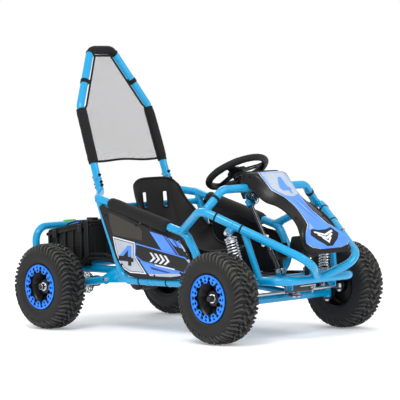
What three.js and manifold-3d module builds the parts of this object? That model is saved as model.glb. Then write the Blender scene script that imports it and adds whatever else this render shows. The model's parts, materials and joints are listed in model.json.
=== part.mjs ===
// Off road go kart: tube frame with roll bar, bucket seat, sprung front beam axle with tie rod
// steering, sprung rear swing arm with a chain driven solid axle, and four knobbly tyres.
// Millimetres, +X forward, +Y to the kart's left, +Z up.
import * as THREE from 'three';
import { mergeVertices } from 'three/addons/utils/BufferGeometryUtils.js';
import Module from 'manifold-3d';

const wasm = await Module();
wasm.setup();

// Driving sizes
const wheelbase = 980;
const track = 700;
const tyreD = 350;
const tyreWidth = 125;
const tyreStations = 33;
const rimD = 184;
const rimWidth = 104;
const rimSides = 14;
const tubeD = 32;
const tubeSides = 8;
const padSides = 10;
const pinSides = 8;
const eyeSides = 12;
const perchSides = 16;
const canSides = 20;
const arcSteps = 3;
const seatGap = 0.3;
const pinGap = 0.8;
const overrun = 5;
const weldShare = 0.0001;
const frontAxleX = wheelbase / 2;
const rearAxleX = -wheelbase / 2;
const wheelSide = track / 2;
const axleZ = (tyreD / 2) * Math.cos(Math.PI / tyreStations);

// Tube frame: side hoops
const hoopInset = 94;
const hoopSide = wheelSide - hoopInset;
const hoopSplay = 0.045;
const hoopToe = -0.022;
const railZ = 208;
const postFootX = -137;
const armRearX = -262;
const armRearZ = 533;
const armFrontX = 230;
const armFrontZ = 402;
const hoopFootX = 352;
const hoopFootZ = railZ;
const hoopBend = 55;
const hoopFrontBend = 70;
const hoopFootBend = 85;
const collarX = 6;
const collarLength = 14;
const collarWall = 1.6;

// Roll bar
const rollSide = 195;
const rollFootX = -338;
const rollFootZ = 552;
const rollSeamZ = 600;
const rollKinkX = -459;
const rollKinkSide = 188;
const rollKinkZ = 905;
const rollTopX = -532;
const rollTopSide = 61;
const rollTopZ = 1137;
const rollBend = 48;
const socketBore = 26;
const socketDepth = 50;

// Upper rails, dash hoop, front loop and its legs
const railStartX = 204;
const crownBack = 104;
const crownInset = 19;
const railCrownX = frontAxleX - crownBack;
const railCrownSide = wheelSide - crownInset;
const railCrownZ = 502;
const railCrownBend = 60;
const noseReach = 285;
const railNoseX = frontAxleX + noseReach;
const railNoseSide = 133;
const railNoseZ = 300;
const railNoseBend = 70;
const railReturn = 89;
const railEndX = railNoseX - railReturn;
const railEndSide = 20;
const railEndZ = 237;
const dashFootAhead = 2;
const dashFootInset = 15;
const dashFootX = railCrownX + dashFootAhead;
const dashFootSide = railCrownSide - dashFootInset;
const dashFootZ = 490;
const dashAhead = 18;
const dashInset = 101;
const dashX = railCrownX + dashAhead;
const dashSide = railCrownSide - dashInset;
const dashZ = 574;
const dashBend = 50;
const loopZ = 230;
const bayAhead = 15;
const loopInset = 143;
const loopBend = 49;
const loopSweep = 67;
const loopTaper = 4;
const loopTailX = 262;
const loopTailSplay = 2;
const loopFrontBack = 2;
const loopBayX = frontAxleX + bayAhead;
const loopCornerX = loopBayX + loopSweep;
const loopCornerSide = wheelSide - loopInset;
const loopBaySide = loopCornerSide - loopBend;
const loopTailSide = loopBaySide + loopTailSplay;
const loopFrontX = railEndX - loopFrontBack;
const loopFrontSide = loopCornerSide - loopTaper;
const loopSideBend = 60;
const loopFrontBend = 62;
const legD = 25.4;
const legLean = 45;
const legTopDrop = 12;
const legTopX = loopCornerX - legLean;
const legRunShare = (legTopX - railCrownX) / (railNoseX - railCrownX);
const legTopSide = railCrownSide + (railNoseSide - railCrownSide) * legRunShare - tubeD / 2;
const legTopZ = railCrownZ + (railNoseZ - railCrownZ) * legRunShare - legTopDrop;
const crossD = 25.4;
const pedalBack = 16;
const bracketBack = 44;
const pedalCrossX = loopCornerX - pedalBack;
const bracketX = loopFrontX - bracketBack;
const bracketSide = 120;
const bracketDrop = 40;
const bracketLength = 36;
const sheet = 4;

// Rear drive line, placed from the rear axle forwards
const chainRun = 98;
const armCrossAhead = 74;
const rearPivotAhead = 62;
const rearShockFootBack = 18;
const rearShockTopBack = 36;
const seatCrossX = -250;
const seatCrossZ = 495;
const motorX = rearAxleX + chainRun;
const armCrossX = motorX + armCrossAhead;
const rearPivotX = armCrossX + rearPivotAhead;
const rearShockFootX = armCrossX - rearShockFootBack;
const rearShockTopX = seatCrossX - rearShockTopBack;

// Floor frame, rear frame and seat cross tube
const rearCrossAhead = 22;
const rearCrossX = postFootX + rearCrossAhead;
const midCrossX = 120;
const pivotDrop = 36;
const frontPivotX = 230;
const frontPivotSide = 150;
const pinD = 14;
const sleeveD = 30;
const rearPivotZ = 204;
const rearArmInset = 118;
const rearArmSide = wheelSide - rearArmInset;
const rearArmSleeve = 30;
const panX = 128;
const panFrontBack = 20;
const panInset = 24;
const panFrontX = pedalCrossX - panFrontBack;
const panSide = loopBaySide - panInset;
const panThick = 2;
const rearRailInset = 66;
const rearRailSide = hoopSide - rearRailInset;
const rearRailZ = 238;
const bumperSplayX = -590;
const bumperX = -692;
const bumperSplay = 60;
const bumperSide = rearRailSide + bumperSplay;
const bumperTopZ = 406;
const bumperBend = 60;
const boxClear = 41;
const boxFrontX = Math.min(rearShockTopX, rearShockFootX) - boxClear;
const trayInset = 48;
const trayFrontX = boxFrontX - trayInset;
const trayRearX = -612;
const trayZ = 256;

// Pads, net and side panels
const padWall = 5;
const rollPadLowZ = 669;
const rollPadHighZ = 894;
const topSleeveWall = 6;
const topSleeveShare = 0.88;
const armPadRearX = -190;
const armPadFrontX = 140;
const netThick = 3;
const netInset = 21.6;
const netTopInset = 31;
const netLowZ = 676;
const netHighZ = 1106;
const netRows = 10;
const netColumns = 8;
const netCordShare = 0.36;
const panelThick = 2.5;
const panelInset = 4;

// Seat shell
const seatThick = 5;
const seatFrontX = 172;
const seatLipZ = 318;
const seatPanX = 40;
const seatPanZ = 262;
const seatHipX = -140;
const seatHipZ = 272;
const seatWaistX = -205;
const seatWaistZ = 400;
const seatTopX = -228;
const seatTopZ = 604;
const seatHalf = 168;
const seatWing = 140;
const seatCornerDrop = 20;

// How far along the seat's profile, with its shares of the wing height and of the half width
const seatShares = [
  [0, 0.1, 0.9], [0.08, 0.26, 0.96], [0.19, 0.44, 0.99], [0.3, 0.56, 1], [0.4, 0.74, 1], [0.48, 0.92, 0.99],
  [0.56, 1, 0.98], [0.64, 0.9, 0.96], [0.71, 0.74, 0.93], [0.78, 0.54, 0.88], [0.86, 0.3, 0.81], [0.94, 0.13, 0.75],
  [1, 0.06, 0.7],
];
const seatFootSide = 86;
const slotSide = 57;
const slotWidth = 26;
const slotLowZ = 482;
const slotHighZ = 549;

// Battery box
const boxRearX = -655;
const boxSide = 222;
const boxBottomZ = trayZ + crossD / 2 + seatGap;
const boxFrontZ = 440;
const boxRearZ = 392;
const boxRib = 5;
const boxRibs = 6;
const boxRim = 12;

// Nose fairing
const noseThick = 3;
const noseLength = 367;
const noseRearBack = 1;
const noseRearX = railCrownX - noseRearBack;
const noseTopZ = 633;
const noseTipZ = 324;
const noseHalf = 118;

// How far along the nose, with its shares of the drop at the top, the half width, the drop at the
// lower edge and the half width there
const noseShares = [
  [0, 0, 0.8, 0.1, 0.88], [0.16, 0.015, 0.7, 0.225, 0.85], [0.31, 0.16, 0.52, 0.35, 0.8],
  [0.47, 0.31, 0.38, 0.405, 0.76], [0.62, 0.455, 0.36, 0.495, 0.76], [0.76, 0.59, 0.53, 0.63, 0.8],
  [0.87, 0.715, 0.75, 0.835, 0.92], [0.955, 0.845, 0.95, 0.94, 1], [1, 0.97, 0.72, 1, 0.76],
];

// Steering
const wheelHubBack = 148;
const wheelHubX = dashX - wheelHubBack;
const wheelHubZ = 631;
const wheelRimD = 266;
const wheelGripD = 28;
const columnD = 18;
const columnEndAhead = 10;
const columnEndX = frontAxleX + columnEndAhead;
const columnEndZ = 200;
const pitmanAhead = 70;
const pitmanLength = 26;
const pitmanDrop = 5;
const pitmanX = frontAxleX + pitmanAhead;
const pitmanKneeX = pitmanX - pitmanLength;
const kingpinInset = 95;
const kingpinSide = wheelSide - kingpinInset;
const kingpinD = 12;
const bossD = 30;
const bossHeight = 64;
const bossDrop = 14;
const knuckleGap = 4;
const beamZ = 148;
const lugThick = 7;
const spindleD = 20;
const steerArm = 65;
const steerArmZ = 166;
const steerArmThick = 6;
const pitmanZ = steerArmZ - pitmanDrop;
const rodEndD = 20;
const rodEndHeight = 13;
const tieRodD = 12;
const tieInner = 13;

// Front swing frame and shocks
const frontArmSide = 112;
const shockTopBack = 18;
const shockTopInset = 82;
const shockTopX = frontAxleX - shockTopBack;
const shockTopSide = wheelSide - shockTopInset;
const shockTopZ = 416;
const shockFootAhead = 15;
const shockFootInset = 33;
const shockFootX = frontAxleX + shockFootAhead;
const shockFootSide = kingpinSide - shockFootInset;
const shockFootZ = 182;
const eyeD = 22;
const eyeWidth = 16;
const eyePinD = 10;
const lugWidth = 18;
const perchD = 50;
const perchThick = 5;
const damperD = 26;
const damperRodD = 12;
const springD = 46;
const springWire = 6;
const frontSpringLength = 148;
const frontSpringCurls = 8;
const rearSpringLength = 128;
const rearSpringCurls = 6;
const perchDrop = 28;

// Rear swing arm and drive
const axleD = 25;
const housingD = 58;
const housingWidth = 34;
const armCrossZ = 196;
const rearShockTopZ = 452;
const rearShockFootZ = 224;
const chainInset = 64;
const chainSide = rearArmSide - chainInset;
const chainPitch = 12.7;
const sprocketTeeth = 26;
const pinionTeeth = 9;
const toothTip = 2;
const toothRoot = 2.5;
const motorZ = 180;
const motorD = 100;
const motorLength = 114;
const motorCap = 10;
const motorShaftD = 14;
const pinionGap = 18;
const motorInner = chainSide - pinionGap - motorLength;
const discInset = 82;
const discSide = discInset - rearArmSide;
const discD = 96;
const discThick = 3;
const discHoleD = 10;
const discHoles = 6;
const carrierLength = 18;
const caliperLength = 34;
const caliperWidth = 34;
const caliperHeight = 44;
const caliperAhead = 6;
const caliperRise = 8;
const caliperGap = 1;

// Pedals
const pedalSide = 75;
const pedalPivotZ = 258;
const pedalPinD = 10;
const pedalSleeve = 24;
const pedalHeight = 92;
const pedalPadWidth = 62;
const pedalPadHeight = 66;
const pedalThick = 5;
const pedalRib = 3;

// Wheels
const hubHalf = 30;
const hubWall = 14;
const wellDrop = 7;
const webHalf = 4;
const webCone = 6;
const nutLength = 20;
const nutD = 34;
const lugShare = 0.05;
const ringInset = 3;
const ringThick = 6;
const ringInnerShare = 0.68;
const ringLobes = 11;
const ringScallop = 7;
const ringHoleD = 9;

// The tyre's section: share of the half width, share of the way from rim to tread, and which of
// three steps in turn is cut back as a gap between lugs, where it has one
const tyreShares = [
  [-0.82, 0], [-1, 0.45], [-0.93, 0.852], [-0.84, 0.947, 0], [-0.3, 1, 1], [0.3, 1, 1], [0.84, 0.947, 2],
  [0.93, 0.852], [1, 0.45], [0.82, 0], [0.68, 0.746], [-0.68, 0.746],
];

// Colours and finishes
const finish = (color, roughness, metalness) => new THREE.MeshStandardMaterial({ color, roughness, metalness });
const framePaint = () => finish(0x1ea5d7, 0.25, 0.1);
const blackPlastic = () => finish(0x232326, 0.45, 0);
const blackPaint = () => finish(0x141416, 0.35, 0.2);
const foamBlack = () => finish(0x1c1c1e, 0.9, 0);
const netGrey = () => finish(0xc8c8cc, 0.9, 0);
const tyreRubber = () => finish(0x2a2b2c, 0.85, 0);
const ringBlue = () => finish(0x2a82f5, 0.3, 0.3);
const steel = () => finish(0xb9bcc0, 0.3, 1);
const chromeSpring = () => finish(0xd9dbde, 0.2, 1);

// Small helpers for places and solids
const V = (x, y, z) => new THREE.Vector3(x, y, z);
const axisX = V(1, 0, 0);
const axisY = V(0, 1, 0);
const axisZ = V(0, 0, 1);
const sides = [['right', -1], ['left', 1]];

function closed(geometry) {
  const plain = geometry.index ? geometry.toNonIndexed() : geometry.clone();
  plain.deleteAttribute('normal');
  plain.deleteAttribute('uv');
  const merged = mergeVertices(plain, tubeD * weldShare);
  const index = merged.index.array;
  const kept = [];
  for (let i = 0; i < index.length; i += 3) {
    const [a, b, c] = [index[i], index[i + 1], index[i + 2]];
    if (a !== b && b !== c && c !== a) kept.push(a, b, c);
  }
  return { places: Float32Array.from(merged.attributes.position.array), faces: kept };
}

function signedVolume({ places, faces }) {
  let sum = 0;
  const corner = (k) => V(places[3 * k], places[3 * k + 1], places[3 * k + 2]);
  for (let i = 0; i < faces.length; i += 3) {
    sum += corner(faces[i]).dot(corner(faces[i + 1]).cross(corner(faces[i + 2])));
  }
  return sum;
}

// Turns a closed geometry into a solid that can be joined and cut
function solid(geometry) {
  const skin = closed(geometry);
  if (signedVolume(skin) < 0) {
    for (let i = 0; i < skin.faces.length; i += 3) {
      [skin.faces[i], skin.faces[i + 1]] = [skin.faces[i + 1], skin.faces[i]];
    }
  }
  const triVerts = Uint32Array.from(skin.faces);
  return new wasm.Manifold(new wasm.Mesh({ numProp: 3, vertProperties: skin.places, triVerts }));
}

const join = (...parts) => parts.reduce((whole, part) => whole.add(part));
const cut = (body, ...tools) => tools.reduce((left, tool) => left.subtract(tool), body);

// Loose triangles, three places each
function facesOf(places) {
  const geometry = new THREE.BufferGeometry();
  const numbers = Float32Array.from(places.flatMap((place) => place.toArray()));
  geometry.setAttribute('position', new THREE.BufferAttribute(numbers, 3));
  return geometry;
}

function geometryOf(body) {
  const { vertProperties, triVerts } = body.getMesh();
  const geometry = new THREE.BufferGeometry();
  geometry.setAttribute('position', new THREE.BufferAttribute(Float32Array.from(vertProperties), 3));
  geometry.setIndex(Array.from(triVerts));
  geometry.computeVertexNormals();
  return geometry;
}

function piece(name, body, material) {
  const mesh = new THREE.Mesh(geometryOf(body), material);
  mesh.name = name;
  return mesh;
}

function group(...children) {
  const holder = new THREE.Group();
  holder.add(...children);
  return holder;
}

// A round bar between two points, or a cone where the second diameter differs
function bar(from, to, diameter, count = tubeSides, endDiameter = diameter) {
  const run = to.clone().sub(from);
  const geometry = new THREE.CylinderGeometry(endDiameter / 2, diameter / 2, run.length(), count);
  geometry.applyQuaternion(new THREE.Quaternion().setFromUnitVectors(axisY, run.clone().normalize()));
  geometry.translate(...from.clone().add(to).divideScalar(2).toArray());
  return solid(geometry);
}

// A many-sided bore or sleeve whose flats clear a round of this diameter
const roundedOver = (diameter, count) => diameter / Math.cos(Math.PI / count);

const ringBar = (from, to, outer, inner, count) =>
  cut(bar(from, to, outer, count), bar(...stretched(from, to), inner, count));

function stretched(from, to) {
  const step = to.clone().sub(from).normalize().multiplyScalar(overrun);
  return [from.clone().sub(step), to.clone().add(step)];
}

function block(sizeX, sizeY, sizeZ, middle) {
  const geometry = new THREE.BoxGeometry(sizeX, sizeY, sizeZ);
  geometry.translate(middle.x, middle.y, middle.z);
  return solid(geometry);
}

// A flat strap between two points, its thickness along the given direction
function strap(from, to, width, thick, across) {
  const run = to.clone().sub(from);
  const along = run.clone().normalize();
  const flat = across.clone().addScaledVector(along, -across.dot(along)).normalize();
  const wide = flat.clone().cross(along);
  const geometry = new THREE.BoxGeometry(width, thick, run.length());
  geometry.applyMatrix4(new THREE.Matrix4().makeBasis(wide, flat, along));
  geometry.translate(...from.clone().add(to).divideScalar(2).toArray());
  return solid(geometry);
}

// An outline in X and Z, given a thickness along Y from a start
function slab(outline, fromY, toY, holes = []) {
  const shape = new THREE.Shape(outline.map(([x, z]) => new THREE.Vector2(x, z)));
  for (const hole of holes) shape.holes.push(new THREE.Path(hole.map(([x, z]) => new THREE.Vector2(x, z))));
  const geometry = new THREE.ExtrudeGeometry(shape, { depth: Math.abs(toY - fromY), bevelEnabled: false });
  geometry.rotateX(Math.PI / 2);
  geometry.translate(0, Math.max(fromY, toY), 0);
  return solid(geometry);
}

function turned(profile, count) {
  const points = profile.map(([radius, along]) => new THREE.Vector2(radius, along));
  return solid(new THREE.LatheGeometry(points, count));
}

const circle = (radius, count, x = 0, z = 0) => Array.from({ length: count }, (_, k) => [
  x + radius * Math.cos((2 * Math.PI * k) / count), z + radius * Math.sin((2 * Math.PI * k) / count)]);

// A centreline of straight runs with an arc at each corner; its stations are the tube's rings
class BentLine extends THREE.Curve {
  constructor(corners) {
    super();
    this.stations = [];
    const last = corners.length - 1;
    const heading = (k) => corners[k + 1].at.clone().sub(corners[k].at).normalize();
    this.stations.push({ place: corners[0].at, heading: heading(0) });
    for (let k = 1; k < last; k += 1) this.turn(corners[k], heading(k - 1), heading(k));
    this.stations.push({ place: corners[last].at, heading: heading(last - 1) });
  }

  turn({ at, bend }, before, after) {
    const angle = before.angleTo(after);
    const steps = Math.max(1, Math.round((arcSteps * angle) / (Math.PI / 2)));
    const inward = after.clone().addScaledVector(before, -Math.cos(angle)).normalize();
    const start = at.clone().addScaledVector(before, -bend * Math.tan(angle / 2));
    for (let i = 0; i <= steps; i += 1) {
      const a = (angle * i) / steps;
      const place = start.clone().addScaledVector(before, bend * Math.sin(a))
        .addScaledVector(inward, bend * (1 - Math.cos(a)));
      const way = before.clone().multiplyScalar(Math.cos(a)).addScaledVector(inward, Math.sin(a));
      this.stations.push({ place, heading: way });
    }
  }

  station(u) { return this.stations[Math.round(u * (this.stations.length - 1))]; }

  getPoint(u) { return this.station(u).place.clone(); }

  getPointAt(u) { return this.getPoint(u); }

  getTangent(u) { return this.station(u).heading.clone(); }

  getTangentAt(u) { return this.getTangent(u); }
}

function bentTube(corners, diameter, count = tubeSides) {
  const line = new BentLine(corners);
  const section = new THREE.Shape(circle(diameter / 2, count).map(([x, y]) => new THREE.Vector2(x, y)));
  const rings = line.stations.length - 1;
  return solid(new THREE.ExtrudeGeometry(section, { steps: rings, extrudePath: line, bevelEnabled: false }));
}

const corner = (at, bend) => ({ at, bend });
const mixed = (a, b, share) => a + (b - a) * share;

// Side hoops: socket, armrest, front bend, lower rail and rear post in one bent tube
const hoopPlane = (x, z) => hoopSide + hoopSplay * (z - railZ) + hoopToe * x;
const hoopPoint = (x, z, side, out = 0) => V(x, side * (hoopPlane(x, z) + out), z);
const rollLegX = (z) => mixed(rollFootX, rollKinkX, (z - rollFootZ) / (rollKinkZ - rollFootZ));
const rollLegSide = (z) => mixed(rollSide, rollKinkSide, (z - rollFootZ) / (rollKinkZ - rollFootZ));
const rollLeg = (z, side) => V(rollLegX(z), side * rollLegSide(z), z);

function hoopFrontTube(side, diameter) {
  return bentTube([
    corner(rollLeg(rollSeamZ, side)),
    corner(rollLeg(rollFootZ, side), hoopBend / 2),
    corner(hoopPoint(armRearX, armRearZ, side), hoopBend / 2),
    corner(hoopPoint(armFrontX, armFrontZ, side), hoopFrontBend),
    corner(hoopPoint(hoopFootX, hoopFootZ, side), hoopFootBend),
    corner(hoopPoint(collarX, railZ, side)),
  ], diameter);
}

function hoopRearTube(side, diameter) {
  return bentTube([
    corner(hoopPoint(collarX - seatGap, railZ, side)),
    corner(hoopPoint(postFootX, railZ, side), hoopBend),
    corner(hoopPoint(armRearX + tubeD / 4, armRearZ - tubeD / 4, side)),
  ], diameter);
}

const hoopTubes = (side, diameter) => join(hoopFrontTube(side, diameter), hoopRearTube(side, diameter));

function sideHoop(side) {
  const collar = bar(hoopPoint(collarX - collarLength / 2, railZ, side),
    hoopPoint(collarX + collarLength / 2, railZ, side), tubeD + 2 * collarWall, tubeSides);
  const bore = bar(rollLeg(rollSeamZ - socketDepth, side), rollLeg(rollSeamZ + overrun, side), socketBore);
  return cut(join(hoopTubes(side, tubeD), collar), bore);
}

function rollBar() {
  const arch = bentTube([
    corner(rollLeg(rollSeamZ + seatGap, -1)),
    corner(V(rollKinkX, -rollKinkSide, rollKinkZ), rollBend),
    corner(V(rollTopX, -rollTopSide, rollTopZ), rollBend),
    corner(V(rollTopX, rollTopSide, rollTopZ), rollBend),
    corner(V(rollKinkX, rollKinkSide, rollKinkZ), rollBend),
    corner(rollLeg(rollSeamZ + seatGap, 1)),
  ], tubeD);
  const plugs = sides.map(([, side]) => bar(rollLeg(rollSeamZ - socketDepth + overrun, side),
    rollLeg(rollSeamZ + overrun, side), socketBore - pinGap));
  return join(arch, ...plugs);
}

// Upper rail: rises from the armrest, crowns over the front wheel and sweeps in under the nose
function railTube(side, diameter) {
  return bentTube([
    corner(hoopPoint(railStartX, mixed(armRearZ, armFrontZ,
      (railStartX - armRearX) / (armFrontX - armRearX)), side)),
    corner(V(railCrownX, side * railCrownSide, railCrownZ), railCrownBend),
    corner(V(railNoseX, side * railNoseSide, railNoseZ), railNoseBend),
    corner(V(railEndX, side * railEndSide, railEndZ)),
  ], diameter);
}

const shockTop = (side) => V(shockTopX, side * shockTopSide, shockTopZ);
const shockFoot = (side) => V(shockFootX, side * shockFootSide, shockFootZ);
const rearShockTop = V(rearShockTopX, 0, rearShockTopZ);
const rearShockFoot = V(rearShockFootX, 0, rearShockFootZ);

function shockTurn(top, foot) {
  return new THREE.Quaternion().setFromUnitVectors(V(0, 0, -1), foot.clone().sub(top).normalize());
}

// Two ears and a pin that hold a shock's eye, with a bridge over to the tube that carries them
function eyeBracket(eye, carrier, pinWay, width) {
  const half = eyeWidth / 2 + seatGap + sheet / 2;
  const pinEnd = half + sheet / 2;
  const sideways = carrier.clone().sub(eye).dot(pinWay);
  const foot = carrier.clone().addScaledVector(pinWay, -sideways);
  const at = (point, shift) => point.clone().addScaledVector(pinWay, shift);
  const ears = [-half, half].map((shift) => join(strap(at(eye, shift), at(foot, shift), width, sheet, pinWay),
    bar(at(eye, shift - sheet / 2), at(eye, shift + sheet / 2), width)));
  const pin = bar(at(eye, -pinEnd), at(eye, pinEnd), eyePinD);
  if (Math.abs(sideways) < sheet) return join(...ears, pin);
  const rise = foot.clone().sub(eye).normalize();
  return join(...ears, pin, strap(at(foot, -Math.sign(sideways) * pinEnd), carrier, width, sheet, rise));
}

function upperRail(side) {
  const pinWay = axisY.clone().applyQuaternion(shockTurn(shockTop(side), shockFoot(side)));
  const crown = V(railCrownX, side * railCrownSide, railCrownZ);
  const nose = V(railNoseX, side * railNoseSide, railNoseZ);
  const carrier = crown.clone().lerp(nose, (shockTopX + tubeD - railCrownX) / (railNoseX - railCrownX));
  carrier.y += side * sheet;
  const whole = join(railTube(side, tubeD), eyeBracket(shockTop(side), carrier, pinWay, eyeD));
  return cut(whole, hoopTubes(side, tubeD + 2 * seatGap), loopTube(tubeD + 2 * seatGap));
}

// Dash hoop with the arm and the ring that hold the steering column
function dashTube(diameter) {
  return bentTube([
    corner(V(dashFootX, -dashFootSide, dashFootZ)),
    corner(V(dashX, -dashSide, dashZ), dashBend),
    corner(V(dashX, dashSide, dashZ), dashBend),
    corner(V(dashFootX, dashFootSide, dashFootZ)),
  ], diameter);
}

const columnTop = V(wheelHubX, 0, wheelHubZ);
const columnEnd = V(columnEndX, 0, columnEndZ);
const columnWay = columnTop.clone().sub(columnEnd).normalize();
const columnAt = (z) => columnEnd.clone().lerp(columnTop, (z - columnEndZ) / (wheelHubZ - columnEndZ));

function columnRing(z, height) {
  const middle = columnAt(z);
  const half = height / 2;
  return ringBar(middle.clone().addScaledVector(columnWay, -half), middle.clone().addScaledVector(columnWay, half),
    columnD * 2, columnD + 2 * pinGap, tubeSides);
}

const dashRingZ = dashZ - 2 * tubeD;
const ringHeight = tubeD * 0.8;

function dashHoop() {
  const clearColumn = bar(columnEnd, columnTop, columnD + 2 * pinGap);
  const arm = cut(strap(V(dashX, 0, dashZ), columnAt(dashRingZ), tubeD, sheet * 2, axisY), clearColumn);
  const arch = cut(join(dashTube(tubeD), arm), ...sides.map(([, side]) => railTube(side, tubeD + 2 * seatGap)));
  return join(arch, columnRing(dashRingZ, ringHeight));
}

// Front loop: from the front cross tube round the pedal bay, with legs up to the upper rails
function loopTube(diameter) {
  const half = (side) => [
    corner(V(loopTailX, side * loopTailSide, mixed(railZ, loopZ, 0.2))),
    corner(V(loopBayX, side * loopBaySide, loopZ), loopSideBend),
    corner(V(loopCornerX, side * loopCornerSide, loopZ), loopSideBend),
    corner(V(loopFrontX, side * loopFrontSide, loopZ), loopFrontBend),
  ];
  return bentTube([...half(-1), ...half(1).reverse()], diameter);
}

function legTube(side, diameter) {
  return bar(V(loopCornerX, side * loopCornerSide, loopZ), V(legTopX, side * legTopSide, legTopZ), diameter);
}

function pedalMount() {
  const pinHalf = pedalSide + pedalSleeve / 2 + seatGap + sheet;
  const ears = [];
  for (const [, side] of sides) {
    for (const edge of [-1, 1]) {
      const y = side * pedalSide + edge * (pedalSleeve / 2 + seatGap + sheet / 2);
      ears.push(strap(V(pedalCrossX, y, loopZ), V(pedalCrossX, y, pedalPivotZ + pedalPinD), 2 * pedalPinD, sheet,
        axisY));
    }
  }
  return join(...ears, bar(V(pedalCrossX, -pinHalf, pedalPivotZ), V(pedalCrossX, pinHalf, pedalPivotZ), pedalPinD));
}

function frontLoop() {
  const reach = loopBaySide + tubeD;
  const cross = bar(V(pedalCrossX, -reach, loopZ), V(pedalCrossX, reach, loopZ), crossD);
  const noseCross = bar(V(bracketX, -loopCornerSide, loopZ), V(bracketX, loopCornerSide, loopZ), crossD);
  const plates = sides.map(([, side]) => block(bracketLength, sheet, bracketDrop,
    V(bracketX, side * bracketSide, loopZ - bracketDrop / 2)));
  const footRing = columnRing(loopZ, ringHeight);
  const footArm = cut(strap(V(pedalCrossX, 0, loopZ), columnAt(loopZ), tubeD, sheet * 2, axisY),
    bar(columnEnd, columnTop, columnD + 2 * pinGap));
  const legs = sides.map(([, side]) => legTube(side, legD));
  const whole = join(loopTube(tubeD), cross, noseCross, ...plates, ...legs, footRing, footArm, pedalMount());
  const uppers = sides.map(([, side]) => cut(railTube(side, tubeD + 2 * seatGap), lowSide()));
  return cut(whole, ...uppers, ...frontCrossTubes(2 * seatGap));
}

// Below this height the upper rails end on the loop, so they don't cut it
function lowSide() {
  const size = 2 * railNoseX;
  return block(size, size, railNoseZ, V(railNoseX, 0, railNoseZ / 2));
}

function frontCrossTubes(grow) {
  const reach = hoopPlane(loopTailX, railZ);
  return [bar(V(loopTailX, -reach, railZ), V(loopTailX, reach, railZ), tubeD + grow)];
}

// Floor frame: cross tubes between the hoops, with the pivots of both axles
function pivotEar(x, z, y, toX, toZ) {
  const outline = [[x - pinD, z], [x - pinD * 0.7, z - pinD * 0.7], [x, z - pinD], [x + pinD * 0.7, z - pinD * 0.7],
    [x + pinD, z], [toX + pinD, toZ], [toX - pinD, toZ]];
  return slab(outline, y - sheet / 2, y + sheet / 2);
}

function floorFrame() {
  const crosses = [rearCrossX, midCrossX].map((x) => {
    const reach = hoopPlane(x, railZ);
    return bar(V(x, -reach, railZ), V(x, reach, railZ), tubeD);
  });
  const spine = sides.map(([, side]) => bar(V(rearCrossX, side * loopTailSide, railZ),
    V(loopTailX, side * loopTailSide, railZ), crossD));
  const pivotZ = railZ - pivotDrop;
  const frontEars = sides.map(([, side]) => pivotEar(frontPivotX, pivotZ,
    side * (frontPivotSide + seatGap + sheet / 2), loopTailX, railZ));
  const frontPin = bar(V(frontPivotX, -frontPivotSide - sheet, pivotZ), V(frontPivotX, frontPivotSide + sheet, pivotZ),
    pinD, pinSides);
  const rearEars = sides.flatMap(([, side]) => [-1, 1].map((edge) => {
    const y = side * rearArmSide + edge * (rearArmSleeve / 2 + seatGap + sheet / 2);
    return pivotEarBack(y);
  }));
  const rearPins = sides.map(([, side]) => {
    const half = rearArmSleeve / 2 + seatGap + sheet;
    return bar(V(rearPivotX, side * rearArmSide - half, rearPivotZ), V(rearPivotX, side * rearArmSide + half, rearPivotZ),
      pinD, pinSides);
  });
  const seatFeet = sides.flatMap(([, side]) => [rearCrossX, midCrossX].map((x) => strap(
    V(x, side * seatFootSide, railZ), V(x, side * seatFootSide, seatPanZ + tubeD), tubeD, sheet, axisX)));
  const whole = join(...crosses, ...spine, ...frontCrossTubes(0), ...frontEars, frontPin, ...rearEars, ...rearPins,
    ...seatFeet);
  return cut(whole, seatSpace(), ...sides.map(([, side]) => hoopTubes(side, tubeD + 2 * seatGap)));
}

function pivotEarBack(y) {
  const half = tubeD / 2;
  const outline = [[rearPivotX - pinD, rearPivotZ], [rearPivotX - pinD * 0.7, rearPivotZ - pinD * 0.7],
    [rearPivotX, rearPivotZ - pinD], [rearCrossX, railZ - half * 0.7], [rearCrossX, railZ + half * 0.7],
    [rearPivotX, rearPivotZ + pinD], [rearPivotX - pinD * 0.7, rearPivotZ + pinD * 0.7]];
  return slab(outline, y - sheet / 2, y + sheet / 2);
}

function floorPan() {
  const top = railZ + tubeD / 2 + seatGap;
  const bottomPlate = block(panFrontX - panX, 2 * panSide, panThick,
    V((panFrontX + panX) / 2, 0, top + panThick / 2));
  const ribs = [-1, 0, 1].map((k) => block(panFrontX - panX - 4 * overrun, panThick * 4, panThick * 3,
    V((panFrontX + panX) / 2, (k * panSide) / 2, top + panThick * 1.5)));
  return cut(join(bottomPlate, ...ribs), loopTube(tubeD + 2 * seatGap), columnShadow());
}

// The slot in the floor that the column and its ring pass through
function columnShadow() {
  const slotRearX = columnAt(loopZ).x - 1.5 * columnD;
  const slotFrontX = panFrontX + overrun;
  return block(slotFrontX - slotRearX, 3 * columnD, 2 * tubeD, V((slotFrontX + slotRearX) / 2, 0, loopZ));
}

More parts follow.
